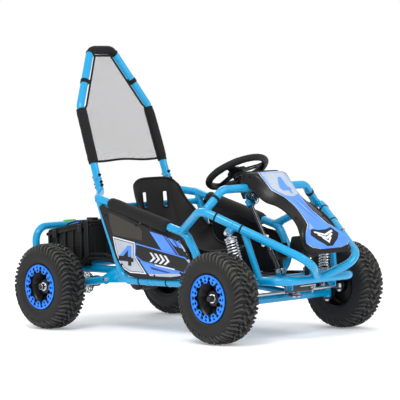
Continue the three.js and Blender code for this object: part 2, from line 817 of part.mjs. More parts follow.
// Rear frame: bumper hoop, its two rails and the cross tubes under the battery box
function rearFrame() {
  const half = (side) => [
    corner(V(rearCrossX, side * rearRailSide, rearRailZ)),
    corner(V(bumperSplayX, side * rearRailSide, rearRailZ), bumperBend),
    corner(V(bumperX, side * bumperSide, rearRailZ), bumperBend * 0.6),
    corner(V(bumperX, side * bumperSide, bumperTopZ), bumperBend),
  ];
  const hoop = bentTube([...half(-1), ...half(1).reverse()], tubeD);
  const trays = [trayFrontX, trayRearX].map((x) => bar(V(x, -rearRailSide, trayZ), V(x, rearRailSide, trayZ), crossD));
  const feet = sides.map(([, side]) => bar(V(rearCrossX, side * rearRailSide, rearRailZ),
    V(rearCrossX, side * rearRailSide, railZ), crossD));
  const reach = hoopPlane(rearCrossX, railZ);
  return cut(join(hoop, ...trays, ...feet),
    bar(V(rearCrossX, -reach, railZ), V(rearCrossX, reach, railZ), tubeD + 2 * seatGap),
    bar(V(rearCrossX, -reach, railZ), V(rearCrossX, reach, railZ), tubeD / 2));
}

function seatCrossTube() {
  const reach = hoopPlane(seatCrossX, seatCrossZ);
  const tube = bar(V(seatCrossX, -reach, seatCrossZ), V(seatCrossX, reach, seatCrossZ), crossD);
  const bracket = eyeBracket(rearShockTop, V(seatCrossX, 0, seatCrossZ), axisY, eyeD);
  const tabs = sides.map(([, side]) => strap(V(seatCrossX, side * seatFootSide, seatCrossZ),
    V(seatTopX + tubeD * 0.7, side * seatFootSide, seatCrossZ - tubeD / 2), slotWidth, sheet, axisZ));
  return cut(join(tube, bracket, ...tabs), seatSpace(),
    ...sides.map(([, side]) => hoopTubes(side, tubeD + 2 * seatGap)));
}

// Foam pads: sleeves round the tubes, and the cover of the top bar
function padSleeve(from, to) {
  return ringBar(from, to, roundedOver(tubeD + 2 * (seatGap + padWall), padSides),
    roundedOver(tubeD + 2 * seatGap, padSides), padSides);
}

const rollPad = (side) => padSleeve(rollLeg(rollPadLowZ, side), rollLeg(rollPadHighZ, side));

function topSleeve() {
  const onLeg = (side, share) => V(mixed(rollKinkX, rollTopX, share), side * mixed(rollKinkSide, rollTopSide, share),
    mixed(rollKinkZ, rollTopZ, share));
  const over = (share, diameter) => bentTube([
    corner(onLeg(-1, share)),
    corner(onLeg(-1, 1), rollBend),
    corner(onLeg(1, 1), rollBend),
    corner(onLeg(1, share)),
  ], diameter);
  return cut(over(topSleeveShare, tubeD + 2 * topSleeveWall),
    over(topSleeveShare / 2, roundedOver(tubeD + 2 * seatGap, tubeSides)));
}

function armPad(side) {
  const armZ = (x) => mixed(armRearZ, armFrontZ, (x - armRearX) / (armFrontX - armRearX));
  return padSleeve(hoopPoint(armPadRearX, armZ(armPadRearX), side), hoopPoint(armPadFrontX, armZ(armPadFrontX), side));
}

// Back net: flat mesh between the roll bar's legs, with a grid of square gaps inside a hem
function safetyNet() {
  const edge = (z) => {
    if (z < rollKinkZ) return rollLegSide(z) - netInset;
    return mixed(rollKinkSide, rollTopSide, (z - rollKinkZ) / (rollTopZ - rollKinkZ)) - netTopInset;
  };
  const outline = [[-edge(netLowZ), netLowZ], [edge(netLowZ), netLowZ], [edge(rollKinkZ), rollKinkZ],
    [edge(netHighZ), netHighZ], [-edge(netHighZ), netHighZ], [-edge(rollKinkZ), rollKinkZ]];
  const gaps = [];
  const rise = (netHighZ - netLowZ) / (netRows + 1);
  const [near, far] = [netCordShare / 2, 1 - netCordShare / 2];
  for (let row = 0; row < netRows; row += 1) {
    const low = netLowZ + rise * (row + 0.5 + near);
    const high = netLowZ + rise * (row + 0.5 + far);
    const count = Math.max(3, Math.round((netColumns * edge(high)) / edge(netLowZ)));
    for (let k = 0; k < count; k += 1) {
      const at = (share, z) => mixed(-edge(z), edge(z), (k + 0.5 + share) / (count + 1));
      gaps.push(netSheet([[at(near, low), low], [at(far, low), low], [at(far, high), high], [at(near, high), high]],
        netThick + 2 * overrun));
    }
  }
  return cut(netSheet(outline, netThick), ...gaps);
}

// A flat outline in Y and Z, leant back with the roll bar
function netSheet(outline, thick) {
  const topX = mixed(rollKinkX, rollTopX, (netHighZ - rollKinkZ) / (rollTopZ - rollKinkZ));
  const lean = (topX - rollLegX(netLowZ)) / (netHighZ - netLowZ);
  const shape = new THREE.Shape(outline.map(([y, z]) => new THREE.Vector2(y, z)));
  const geometry = new THREE.ExtrudeGeometry(shape, { depth: thick, bevelEnabled: false });
  const place = geometry.attributes.position;
  for (let i = 0; i < place.count; i += 1) {
    const [y, z, depth] = [place.getX(i), place.getY(i), place.getZ(i)];
    place.setXYZ(i, rollLegX(netLowZ) + lean * (z - netLowZ) + depth - thick / 2, y, z);
  }
  return solid(geometry);
}

// Side panel: a flat plate on the outside of the hoop, shaped by the hoop's own tubes
function sidePanel(side) {
  const armZ = (x) => mixed(armRearZ, armFrontZ, (x - armRearX) / (armFrontX - armRearX));
  const postX = (z) => mixed(postFootX, armRearX, (z - railZ) / (armRearZ - railZ));
  const frontX = (z) => mixed(hoopFootX, armFrontX, (z - hoopFootZ) / (armFrontZ - hoopFootZ));
  const padLow = tubeD / 2 + padWall + panelInset;
  const outline = [
    [postX(railZ + tubeD) + panelInset, railZ + 1.4 * tubeD],
    [postX(railZ) + 1.6 * tubeD, railZ + panelInset],
    [mixed(postFootX, hoopFootX, 0.55), railZ + panelInset],
    [frontX(railZ) - 2 * hoopFootBend * 0.8, railZ + tubeD * 0.5],
    [frontX(mixed(railZ, armFrontZ, 0.35)) - tubeD * 0.9, mixed(railZ, armFrontZ, 0.35)],
    [frontX(mixed(railZ, armFrontZ, 0.7)) - tubeD * 0.3, mixed(railZ, armFrontZ, 0.7)],
    [armFrontX - hoopFrontBend * 0.4, armFrontZ - padLow],
    [armPadRearX, armZ(armPadRearX) - padLow],
    [postX(armRearZ) + tubeD * 0.6, armRearZ - padLow],
  ];
  const shape = new THREE.Shape(outline.map(([x, z]) => new THREE.Vector2(x, z)));
  const geometry = new THREE.ExtrudeGeometry(shape, { depth: panelThick, bevelEnabled: false });
  const place = geometry.attributes.position;
  for (let i = 0; i < place.count; i += 1) {
    const [x, z, depth] = [place.getX(i), place.getY(i), place.getZ(i)];
    place.setXYZ(i, x, side * (hoopPlane(x, z) + tubeD / 2 + seatGap + depth), z);
  }
  return cut(solid(geometry), padClearance(side));
}

function padClearance(side) {
  const armZ = (x) => mixed(armRearZ, armFrontZ, (x - armRearX) / (armFrontX - armRearX));
  const [from, to] = [armPadRearX - overrun, armPadFrontX + overrun];
  return join(bar(hoopPoint(from, armZ(from), side), hoopPoint(to, armZ(to), side),
    tubeD + 2 * (2 * seatGap + padWall), padSides),
  bar(hoopPoint(collarX - collarLength, railZ, side), hoopPoint(collarX + collarLength, railZ, side),
    tubeD + 2 * (collarWall + seatGap), tubeSides));
}

// A closed skin of a grid of points and the same grid moved by its wall
function shell(outer, inner) {
  const rows = outer.length;
  const columns = outer[0].length;
  const places = [];
  const quad = (a, b, c, d) => { places.push(a, b, c, a, c, d); };
  for (let i = 0; i + 1 < rows; i += 1) {
    for (let k = 0; k + 1 < columns; k += 1) {
      quad(outer[i][k], outer[i][k + 1], outer[i + 1][k + 1], outer[i + 1][k]);
      quad(inner[i][k], inner[i + 1][k], inner[i + 1][k + 1], inner[i][k + 1]);
    }
  }
  for (let i = 0; i + 1 < rows; i += 1) {
    const end = columns - 1;
    quad(outer[i][0], outer[i + 1][0], inner[i + 1][0], inner[i][0]);
    quad(outer[i + 1][end], outer[i][end], inner[i][end], inner[i + 1][end]);
  }
  for (let k = 0; k + 1 < columns; k += 1) {
    const end = rows - 1;
    quad(outer[0][k + 1], outer[0][k], inner[0][k], inner[0][k + 1]);
    quad(outer[end][k], outer[end][k + 1], inner[end][k + 1], inner[end][k]);
  }
  return solid(facesOf(places));
}

// The same grid moved along its own normals by the wall
function offsetGrid(grid, wall) {
  const rows = grid.length - 1;
  const columns = grid[0].length - 1;
  return grid.map((row, i) => row.map((point, k) => {
    const along = grid[Math.min(i + 1, rows)][k].clone().sub(grid[Math.max(i - 1, 0)][k]);
    const across = grid[i][Math.min(k + 1, columns)].clone().sub(grid[i][Math.max(k - 1, 0)]);
    return point.clone().addScaledVector(along.cross(across).normalize(), wall);
  }));
}

// Bucket seat: a side profile swept across, its edges rising into wings
function seatGrid() {
  const spine = new THREE.CatmullRomCurve3([
    V(seatFrontX, 0, seatLipZ), V(mixed(seatFrontX, seatPanX, 0.35), 0, mixed(seatLipZ, seatPanZ, 0.5)),
    V(seatPanX, 0, seatPanZ), V(mixed(seatPanX, seatHipX, 0.6), 0, seatPanZ),
    V(seatHipX, 0, seatHipZ + seatThick * 4), V(mixed(seatHipX, seatWaistX, 0.7), 0, mixed(seatHipZ, seatWaistZ, 0.55)),
    V(seatWaistX, 0, seatWaistZ), V(seatTopX + seatThick, 0, mixed(seatWaistZ, seatTopZ, 0.5)),
    V(seatTopX, 0, seatTopZ)]);
  const acrossShares = [-1, -0.93, -0.8, -0.55, -0.2, 0.2, 0.55, 0.8, 0.93, 1];
  return seatShares.map(([run, wingShare, halfShare]) => {
    const middle = spine.getPointAt(run);
    const heading = spine.getTangentAt(run);
    const up = V(heading.z, 0, -heading.x);
    return acrossShares.map((share) => {
      const lift = seatWing * wingShare * Math.abs(share) ** 4;
      const drop = run > 0.95 ? seatCornerDrop * share ** 6 : 0;
      return middle.clone().add(V(0, share * seatHalf * halfShare, -drop)).addScaledVector(up, lift);
    });
  });
}

function seatShell() {
  const grid = seatGrid();
  const slots = [-1, 1].map((side) => block(4 * tubeD, slotWidth, slotHighZ - slotLowZ,
    V(seatTopX, side * slotSide, (slotHighZ + slotLowZ) / 2)));
  return cut(shell(grid, offsetGrid(grid, seatThick)), ...slots);
}

// The space that the seat and its rider side take, to trim what comes up under it
function seatSpace() {
  const grid = seatGrid();
  return shell(offsetGrid(grid, -tubeD / 2), offsetGrid(grid, seatThick + seatGap));
}

function batteryBox() {
  const outline = [[boxRearX, boxBottomZ], [boxFrontX, boxBottomZ], [boxFrontX, boxFrontZ], [boxRearX, boxRearZ]];
  const body = slab(outline, -boxSide + boxRib, boxSide - boxRib);
  const top = (x) => mixed(boxRearZ, boxFrontZ, (x - boxRearX) / (boxFrontX - boxRearX));
  const ribs = [];
  for (let k = 0; k < boxRibs; k += 1) {
    const x = mixed(boxRearX + boxRim, boxFrontX - boxRim, k / (boxRibs - 1));
    ribs.push(block(boxRib, 2 * boxSide, top(x) - boxBottomZ - 2 * boxRim,
      V(x, 0, (top(x) + boxBottomZ) / 2)));
  }
  const lidOutline = [[boxRearX, boxRearZ - 2 * boxRim], [boxFrontX, boxFrontZ - 2 * boxRim],
    [boxFrontX, boxFrontZ - boxRim], [boxRearX, boxRearZ - boxRim]];
  return join(body, ...ribs, slab(lidOutline, -boxSide, boxSide));
}

// Nose fairing: a lofted hood over the pedal bay, wide at the dash, waisted, then wide at the tip
function noseFairing() {
  const stations = noseStations();
  const outer = stations.map(({ x, top, half, low, skirt }) => {
    const shoulder = top - (top - low) * 0.06;
    return [V(x, -skirt, low), V(x, -mixed(half, skirt, 0.55), mixed(shoulder, low, 0.5)), V(x, -half, shoulder),
      V(x, -half / 2, top), V(x, half / 2, top), V(x, half, shoulder),
      V(x, mixed(half, skirt, 0.55), mixed(shoulder, low, 0.5)), V(x, skirt, low)];
  });
  return cut(shell(outer, offsetGrid(outer, -noseThick)), dashTube(tubeD + 2 * seatGap));
}

function noseStations() {
  return noseShares.map(([run, topDrop, half, lowDrop, skirt]) => ({
    x: noseRearX + noseLength * run,
    top: mixed(noseTopZ, noseTipZ, topDrop),
    half: noseHalf * half,
    low: mixed(noseTopZ, noseTipZ, lowDrop),
    skirt: noseHalf * skirt,
  }));
}

// Steering wheel: round grip, hub and three spokes, built about the hub with its axis along Z
function steeringWheel() {
  const radius = (wheelRimD - wheelGripD) / 2;
  const rim = solid(new THREE.TorusGeometry(radius, wheelGripD / 2, 6, 24));
  const hub = bar(V(0, 0, -wheelGripD * 0.8), V(0, 0, wheelGripD * 0.3), wheelRimD * 0.3, eyeSides);
  const spokes = [0, 1, 2].map((k) => {
    const angle = Math.PI + (2 * Math.PI * k) / 3;
    return strap(V(0, 0, 0), V(radius * Math.cos(angle), radius * Math.sin(angle), 0), wheelGripD * 1.25, sheet * 2,
      axisZ);
  });
  return join(rim, hub, ...spokes);
}

function steeringColumn() {
  const headGap = wheelGripD * 0.8 + seatGap;
  const shaft = bar(columnEnd, columnTop.clone().addScaledVector(columnWay, -headGap), columnD, tubeSides);
  const flange = bar(columnTop.clone().addScaledVector(columnWay, -headGap - sheet),
    columnTop.clone().addScaledVector(columnWay, -headGap), columnD * 2.6, eyeSides);
  const eye = V(pitmanX, 0, pitmanZ);
  const knee = V(pitmanKneeX, 0, pitmanZ);
  const slope = strap(columnEnd.clone().addScaledVector(columnWay, sheet), knee, columnD * 1.2, sheet * 1.5, axisZ);
  const arm = join(slope, bar(knee.clone().addScaledVector(axisZ, -steerArmThick / 2),
    knee.clone().addScaledVector(axisZ, steerArmThick / 2), columnD * 1.2),
  strap(knee, eye, columnD * 1.2, steerArmThick, axisZ));
  const pad = bar(eye.clone().addScaledVector(axisZ, -steerArmThick / 2), eye.clone().addScaledVector(axisZ,
    steerArmThick / 2), 2.6 * tieInner + rodEndD / 2, eyeSides);
  return join(shaft, flange, arm, pad);
}

// Front beam axle on its two leading arms, with kingpin bosses and shock lugs
const frontPivotZ = railZ - pivotDrop;

function frontSwingFrame() {
  const beam = bar(V(frontAxleX, -kingpinSide, beamZ), V(frontAxleX, kingpinSide, beamZ), tubeD);
  const arms = sides.map(([, side]) => bar(V(frontPivotX, side * frontArmSide, frontPivotZ),
    V(frontAxleX, side * frontArmSide, beamZ), crossD));
  const sleeve = bar(V(frontPivotX, -frontPivotSide, frontPivotZ), V(frontPivotX, frontPivotSide, frontPivotZ),
    sleeveD, pinSides);
  const bosses = sides.map(([, side]) => bar(V(frontAxleX, side * kingpinSide, axleZ - bossDrop - bossHeight / 2),
    V(frontAxleX, side * kingpinSide, axleZ - bossDrop + bossHeight / 2), bossD, pinSides));
  const lugs = sides.map(([, side]) => {
    const pinWay = axisY.clone().applyQuaternion(shockTurn(shockTop(side), shockFoot(side)));
    const foot = shockFoot(side);
    return eyeBracket(foot, V(frontAxleX, foot.y, beamZ), pinWay, lugWidth);
  });
  const pinBore = bar(V(frontPivotX, -frontPivotSide - overrun, frontPivotZ),
    V(frontPivotX, frontPivotSide + overrun, frontPivotZ), pinD + 2 * pinGap, pinSides);
  const kingBores = sides.map(([, side]) => bar(V(frontAxleX, side * kingpinSide, axleZ - bossHeight),
    V(frontAxleX, side * kingpinSide, axleZ + bossHeight), kingpinD + 2 * pinGap, pinSides));
  return cut(join(beam, ...arms, sleeve, ...bosses, ...lugs), pinBore, ...kingBores);
}

// Steering knuckle: fork round the boss, kingpin, spindle and steering arm
function knuckle(side) {
  const pinX = frontAxleX;
  const pinY = side * kingpinSide;
  const bossMid = axleZ - bossDrop;
  const lowTop = bossMid - bossHeight / 2 - seatGap;
  const highBottom = bossMid + bossHeight / 2 + seatGap;
  const faceY = side * (kingpinSide + bossD / 2 + knuckleGap);
  const plateMidY = faceY + (side * lugThick) / 2;
  const lugReach = Math.abs(plateMidY - pinY);
  const lug = (z) => join(bar(V(pinX, pinY, z - lugThick / 2), V(pinX, pinY, z + lugThick / 2), bossD, pinSides),
    block(bossD, lugReach, lugThick, V(pinX, (pinY + plateMidY) / 2, z)));
  const lugs = join(lug(lowTop - lugThick / 2), lug(highBottom + lugThick / 2));
  const height = highBottom - lowTop + 2 * lugThick;
  const upright = block(bossD * 1.1, lugThick, height, V(pinX, plateMidY, (highBottom + lowTop) / 2));
  const pin = bar(V(pinX, pinY, lowTop - lugThick), V(pinX, pinY, highBottom + lugThick), kingpinD,
    pinSides);
  const spindle = join(bar(V(pinX, faceY, axleZ), V(pinX, side * (wheelSide + hubHalf + nutLength), axleZ), spindleD,
    eyeSides),
    bar(V(pinX, side * (wheelSide + hubHalf + seatGap), axleZ), V(pinX, side * (wheelSide + hubHalf + nutLength), axleZ),
      nutD, 6));
  const elbow = V(pinX + steerArm * 0.45, plateMidY, steerArmZ);
  const eye = V(pinX + steerArm, pinY, steerArmZ);
  const arm = join(strap(V(pinX, plateMidY, steerArmZ), elbow, steerArmThick * 2, steerArmThick, axisZ),
    strap(elbow, eye, steerArmThick * 2, steerArmThick, axisZ),
    bar(V(elbow.x, elbow.y, steerArmZ - steerArmThick / 2), V(elbow.x, elbow.y, steerArmZ + steerArmThick / 2),
      steerArmThick * 2, pinSides),
    bar(V(eye.x, eye.y, steerArmZ - steerArmThick / 2), V(eye.x, eye.y, steerArmZ + steerArmThick / 2), rodEndD,
      eyeSides));
  return join(lugs, upright, pin, spindle, arm);
}

function tieRod(side) {
  const z = steerArmZ + steerArmThick / 2 + seatGap + rodEndHeight / 2;
  const outer = V(frontAxleX + steerArm, side * kingpinSide, z);
  const inner = V(frontAxleX + steerArm, side * tieInner, z);
  const rod = bar(outer, inner, tieRodD, pinSides);
  const ends = [outer, inner].map((at) => bar(at.clone().addScaledVector(axisZ, -rodEndHeight / 2),
    at.clone().addScaledVector(axisZ, rodEndHeight / 2), rodEndD, eyeSides));
  return join(rod, ...ends);
}

// Shock absorber, built from its top eye at the origin down along -Z
function shockBody(length) {
  const eye = bar(V(0, -eyeWidth / 2, 0), V(0, eyeWidth / 2, 0), eyeD, eyeSides);
  const neck = bar(V(0, 0, 0), V(0, 0, -perchDrop + perchThick), eyeWidth * 0.9);
  const perch = bar(V(0, 0, -perchDrop + perchThick), V(0, 0, -perchDrop), perchD, perchSides);
  const tube = bar(V(0, 0, -perchDrop), V(0, 0, -length * 0.56), damperD);
  const bore = bar(V(0, 0, -length * 0.28), V(0, 0, -length), damperRodD + 2 * pinGap);
  const pinHole = bar(V(0, -eyeWidth, 0), V(0, eyeWidth, 0), eyePinD + 2 * pinGap);
  return cut(join(eye, neck, perch, tube), bore, pinHole);
}

function shockRod(length, springLength) {
  const perchTop = -perchDrop - springLength - 2 * seatGap;
  const rod = bar(V(0, 0, -length * 0.42), V(0, 0, perchTop - perchThick), damperRodD);
  const perch = bar(V(0, 0, perchTop), V(0, 0, perchTop - perchThick), perchD, perchSides);
  const stem = bar(V(0, 0, perchTop - perchThick), V(0, 0, -length), damperD * 0.6);
  const eye = bar(V(0, -eyeWidth / 2, -length), V(0, eyeWidth / 2, -length), eyeD, eyeSides);
  const pinHole = bar(V(0, -eyeWidth, -length), V(0, eyeWidth, -length), eyePinD + 2 * pinGap);
  return cut(join(rod, perch, stem, eye), pinHole);
}

// Coil spring: one helical wire whose ends run straight into the perches
function coilPath(length, curls) {
  const radius = (springD - springWire) / 2;
  const stepsPerCurl = 8;
  const steps = stepsPerCurl * curls;
  const low = -perchDrop - length - seatGap;
  const high = -perchDrop - seatGap;
  const path = [V(radius, 0, low)];
  for (let i = 0; i <= steps; i += 1) {
    const angle = (2 * Math.PI * i) / stepsPerCurl;
    const z = mixed(low + springWire, high - springWire, i / steps);
    path.push(V(radius * Math.cos(angle), radius * Math.sin(angle), z));
  }
  path.push(V(radius, 0, high));
  return path;
}

function wireSolid(path, diameter, count) {
  const last = path.length - 1;
  const rings = [];
  let normal = axisX.clone();
  for (let i = 0; i <= last; i += 1) {
    const heading = path[Math.min(i + 1, last)].clone().sub(path[Math.max(i - 1, 0)]).normalize();
    if (i === 0 || i === last) heading.copy(axisZ);
    normal = normal.clone().addScaledVector(heading, -normal.dot(heading)).normalize();
    const across = heading.clone().cross(normal);
    rings.push(Array.from({ length: count }, (_, k) => {
      const angle = (2 * Math.PI * k) / count;
      return path[i].clone().addScaledVector(normal, (diameter / 2) * Math.cos(angle))
        .addScaledVector(across, (diameter / 2) * Math.sin(angle));
    }));
  }
  const places = [];
  for (let i = 0; i < last; i += 1) {
    for (let k = 0; k < count; k += 1) {
      const [a, b] = [rings[i][k], rings[i][(k + 1) % count]];
      const [c, d] = [rings[i + 1][(k + 1) % count], rings[i + 1][k]];
      places.push(a, b, c, a, c, d);
    }
  }
  for (let k = 1; k + 1 < count; k += 1) {
    places.push(rings[0][0], rings[0][k + 1], rings[0][k]);
    places.push(rings[last][0], rings[last][k], rings[last][k + 1]);
  }
  return solid(facesOf(places));
}

function leastCoilGap(path, diameter) {
  const fine = new THREE.CatmullRomCurve3(path).getPoints(path.length * 4);
  const apart = 16;
  let least = Infinity;
  for (let i = 0; i < fine.length; i += 1) {
    for (let k = i + apart; k < fine.length; k += 1) least = Math.min(least, fine[i].distanceTo(fine[k]));
  }
  return least - diameter;
}

function coilSpring(name, length, curls) {
  const path = coilPath(length, curls);
  console.log(`${name} least gap between its curls ${leastCoilGap(path, springWire).toFixed(2)} mm`);
  return wireSolid(path, springWire, 5);
}

function shockAssembly(prefix, top, foot, springLength, curls) {
  const length = foot.distanceTo(top);
  const names = [`${prefix}_body`, `${prefix}_rod`, `${prefix}_spring`];
  const holder = group(
    piece(names[0], shockBody(length), steel()),
    piece(names[1], shockRod(length, springLength), steel()),
    piece(names[2], coilSpring(names[2], springLength, curls), chromeSpring()));
  holder.position.copy(top);
  holder.quaternion.copy(shockTurn(top, foot));
  return holder;
}

// Wheels, built about their own centre with the outer face towards +Y
function tyre() {
  const outerR = tyreD / 2;
  const rimR = rimD / 2 + seatGap;
  const at = (j, k) => {
    const [across, run, gapStep] = tyreShares[k % tyreShares.length];
    const step = j % tyreStations;
    const angle = (2 * Math.PI * (step + 0.5)) / tyreStations - Math.PI / 2;
    const r = mixed(rimR, outerR, run) - (step % 3 === gapStep ? outerR * lugShare : 0);
    return V(r * Math.cos(angle), across * (tyreWidth / 2), r * Math.sin(angle));
  };
  const places = [];
  for (let j = 0; j < tyreStations; j += 1) {
    for (let k = 0; k < tyreShares.length; k += 1) {
      const [a, b, c, d] = [at(j, k), at(j, k + 1), at(j + 1, k + 1), at(j + 1, k)];
      places.push(a, b, c, a, c, d);
    }
  }
  return solid(facesOf(places));
}

function rim(boreD) {
  const half = rimWidth / 2;
  const barrelR = rimD / 2 - seatGap;
  const wellR = barrelR - wellDrop;
  const boreR = roundedOver(boreD / 2 + seatGap, rimSides);
  const hubR = boreR + hubWall;
  const profile = [
    [boreR, -hubHalf], [hubR, -hubHalf], [hubR, -webHalf], [wellR, webHalf], [wellR, -half], [barrelR, -half],
    [barrelR, half], [wellR, half], [wellR, webHalf + webCone], [hubR, webHalf], [hubR, hubHalf], [boreR, hubHalf],
    [boreR, -hubHalf],
  ];
  return turned(profile, rimSides);
}

// The bead ring: inward lobes, each with a hole through it
function beadRing() {
  const outerR = rimD / 2 - ringInset;
  const lobeAngle = (2 * Math.PI) / ringLobes;
  const inner = Array.from({ length: 2 * ringLobes }, (_, k) => {
    const radius = outerR * ringInnerShare + (k % 2 ? ringScallop : 0);
    const angle = (lobeAngle * k) / 2;
    return [radius * Math.cos(angle), radius * Math.sin(angle)];
  });
  const middle = outerR * mixed(ringInnerShare, 1, 0.5);
  const holes = Array.from({ length: ringLobes }, (_, k) => circle(ringHoleD / 2, 4,
    middle * Math.cos(lobeAngle * k), middle * Math.sin(lobeAngle * k)));
  const start = rimWidth / 2 + seatGap;
  return slab(circle(outerR, 2 * ringLobes), start, start + ringThick, [inner, ...holes]);
}

function wheel(name, side, boreD, x) {
  const holder = group(
    piece(`${name}_tyre`, tyre(), tyreRubber()),
    piece(`${name}_rim`, rim(boreD), blackPaint()),
    piece(`${name}_bead_ring`, beadRing(), ringBlue()));
  holder.position.set(x, side * wheelSide, axleZ);
  if (side < 0) holder.rotation.z = Math.PI;
  return holder;
}

// Rear swing arm: two arms, cross tube, axle housings, motor plate and shock lugs
function rearSwingArm() {
  const parts = [];
  const bores = [];
  for (const [, side] of sides) {
    const y = side * rearArmSide;
    parts.push(bar(V(rearPivotX, y, rearPivotZ), V(rearAxleX, y, axleZ), tubeD));
    parts.push(bar(V(rearPivotX, y - rearArmSleeve / 2, rearPivotZ), V(rearPivotX, y + rearArmSleeve / 2, rearPivotZ),
      sleeveD, pinSides));
    parts.push(bar(V(rearAxleX, y - housingWidth / 2, axleZ), V(rearAxleX, y + housingWidth / 2, axleZ), housingD,
      eyeSides));
    bores.push(bar(V(rearPivotX, y - rearArmSleeve, rearPivotZ), V(rearPivotX, y + rearArmSleeve, rearPivotZ),
      pinD + 2 * pinGap, pinSides));
    bores.push(bar(V(rearAxleX, y - housingWidth, axleZ), V(rearAxleX, y + housingWidth, axleZ), axleD + 2 * pinGap,
      eyeSides));
    const earSpace = tubeD * 1.6;
    for (const edge of [-1, 1]) {
      bores.push(block(earSpace, sheet * 3, earSpace, V(rearPivotX + tubeD * 0.3,
        y + edge * (rearArmSleeve / 2 + sheet * 1.5), rearPivotZ)));
    }
  }
  parts.push(bar(V(armCrossX, -rearArmSide, armCrossZ), V(armCrossX, rearArmSide, armCrossZ), crossD));
  parts.push(eyeBracket(rearShockFoot, V(armCrossX, 0, armCrossZ), axisY, lugWidth));
  const plateX = motorX - motorD * 0.2;
  parts.push(block(armCrossX - plateX, sheet * 1.5, motorD * 0.5,
    V((armCrossX + plateX) / 2, motorInner - sheet * 0.75 - seatGap, mixed(motorZ, armCrossZ, 0.4))));
  parts.push(caliperArm());
  return cut(join(...parts), ...bores);
}

// The brake caliper's place, and the strut that carries it from the cross tube
const caliperX = rearAxleX + discD / 2 + caliperAhead;
const caliperZ = axleZ + caliperRise;
const caliperFrontX = caliperX + caliperLength / 2;

function caliperArm() {
  return strap(V(armCrossX, discSide, armCrossZ), V(caliperFrontX - seatGap, discSide, caliperZ), tubeD * 0.7,
    sheet * 1.5, axisY);
}

function brakeCaliper() {
  const body = block(caliperLength, caliperWidth, caliperHeight, V(caliperX, discSide, caliperZ));
  const slotHalf = discThick / 2 + caliperGap;
  const slot = bar(V(rearAxleX, discSide - slotHalf, axleZ), V(rearAxleX, discSide + slotHalf, axleZ),
    discD + 4 * caliperGap, canSides);
  const strutSpace = block(caliperLength, sheet * 1.5 + 2 * seatGap, caliperHeight + overrun,
    V(caliperFrontX + caliperLength * 0.3, discSide, caliperZ));
  return cut(body, slot, strutSpace);
}

function rearAxle() {
  const end = wheelSide + hubHalf;
  const shaft = bar(V(rearAxleX, -end - nutLength, axleZ), V(rearAxleX, end + nutLength, axleZ), axleD, eyeSides);
  const nuts = sides.map(([, side]) => bar(V(rearAxleX, side * (end + seatGap), axleZ),
    V(rearAxleX, side * (end + nutLength), axleZ), nutD, 6));
  const carriers = [chainSide, discSide].map((y) => {
    const inward = Math.sign(y);
    return bar(V(rearAxleX, y - inward * (discThick + seatGap), axleZ), V(rearAxleX, y - inward * carrierLength, axleZ),
      axleD * 2, eyeSides);
  });
  return join(shaft, ...nuts, ...carriers);
}

const pitchRadius = (teeth) => (chainPitch * teeth) / (2 * Math.PI);

function sprocket(teeth, x, z, boreD, lighten) {
  const outline = [];
  for (let k = 0; k < 2 * teeth; k += 1) {
    const angle = (Math.PI * k) / teeth;
    const radius = pitchRadius(teeth) + (k % 2 ? -toothRoot : toothTip);
    outline.push([x + radius * Math.cos(angle), z + radius * Math.sin(angle)]);
  }
  const holes = [circle(boreD / 2 + seatGap, eyeSides, x, z)];
  for (let k = 0; k < lighten; k += 1) {
    const angle = (2 * Math.PI * k) / lighten;
    const middle = pitchRadius(teeth) * 0.66;
    holes.push(circle(pitchRadius(teeth) * 0.16, 6, x + middle * Math.cos(angle), z + middle * Math.sin(angle)));
  }
  return slab(outline, chainSide - discThick / 2, chainSide + discThick / 2, holes);
}

function brakeDisc() {
  const holes = [circle(axleD / 2 + seatGap, eyeSides, rearAxleX, axleZ)];
  const middle = discD * 0.36;
  for (let k = 0; k < discHoles; k += 1) {
    const angle = (2 * Math.PI * k) / discHoles;
    holes.push(circle(discHoleD / 2, 6, rearAxleX + middle * Math.cos(angle), axleZ + middle * Math.sin(angle)));
  }
  return slab(circle(discD / 2, canSides, rearAxleX, axleZ), discSide - discThick / 2, discSide + discThick / 2, holes);
}

// The drive chain's loop round both sprockets
function driveChain() {
  const big = { x: rearAxleX, z: axleZ, r: pitchRadius(sprocketTeeth) + toothTip + pinGap };
  const small = { x: motorX, z: motorZ, r: pitchRadius(pinionTeeth) + toothTip + pinGap };
  const loop = (grow) => {
    const heading = Math.atan2(small.z - big.z, small.x - big.x);
    const apart = Math.hypot(small.z - big.z, small.x - big.x);
    const spread = Math.acos((big.r - small.r) / apart);
    const points = [];
    const steps = 12;
    const bow = 1 / Math.cos((Math.PI - spread) / steps);
    for (let k = 0; k <= steps; k += 1) {
      const angle = mixed(heading + spread, heading + 2 * Math.PI - spread, k / steps);
      points.push([big.x + (big.r + grow) * bow * Math.cos(angle), big.z + (big.r + grow) * bow * Math.sin(angle)]);
    }
    for (let k = 0; k <= steps / 2; k += 1) {
      const angle = mixed(heading - spread, heading + spread, (2 * k) / steps);
      points.push([small.x + (small.r + grow) * bow * Math.cos(angle),
        small.z + (small.r + grow) * bow * Math.sin(angle)]);
    }
    return points;
  };
  return slab(loop(sheet), chainSide - sheet, chainSide + sheet, [loop(0)]);
}

function driveMotor() {
  const far = motorInner + motorLength;
  const can = bar(V(motorX, motorInner, motorZ), V(motorX, far - motorCap, motorZ), motorD, canSides);
  const cap = bar(V(motorX, far - motorCap, motorZ), V(motorX, far, motorZ), motorD * 0.8, canSides);
  return join(can, cap);
}

function motorSprocket() {
  const shaft = bar(V(motorX, motorInner + motorLength + seatGap, motorZ), V(motorX, chainSide + sheet, motorZ),
    motorShaftD, padSides);
  return join(shaft, sprocket(pinionTeeth, motorX, motorZ, 0, 0));
}

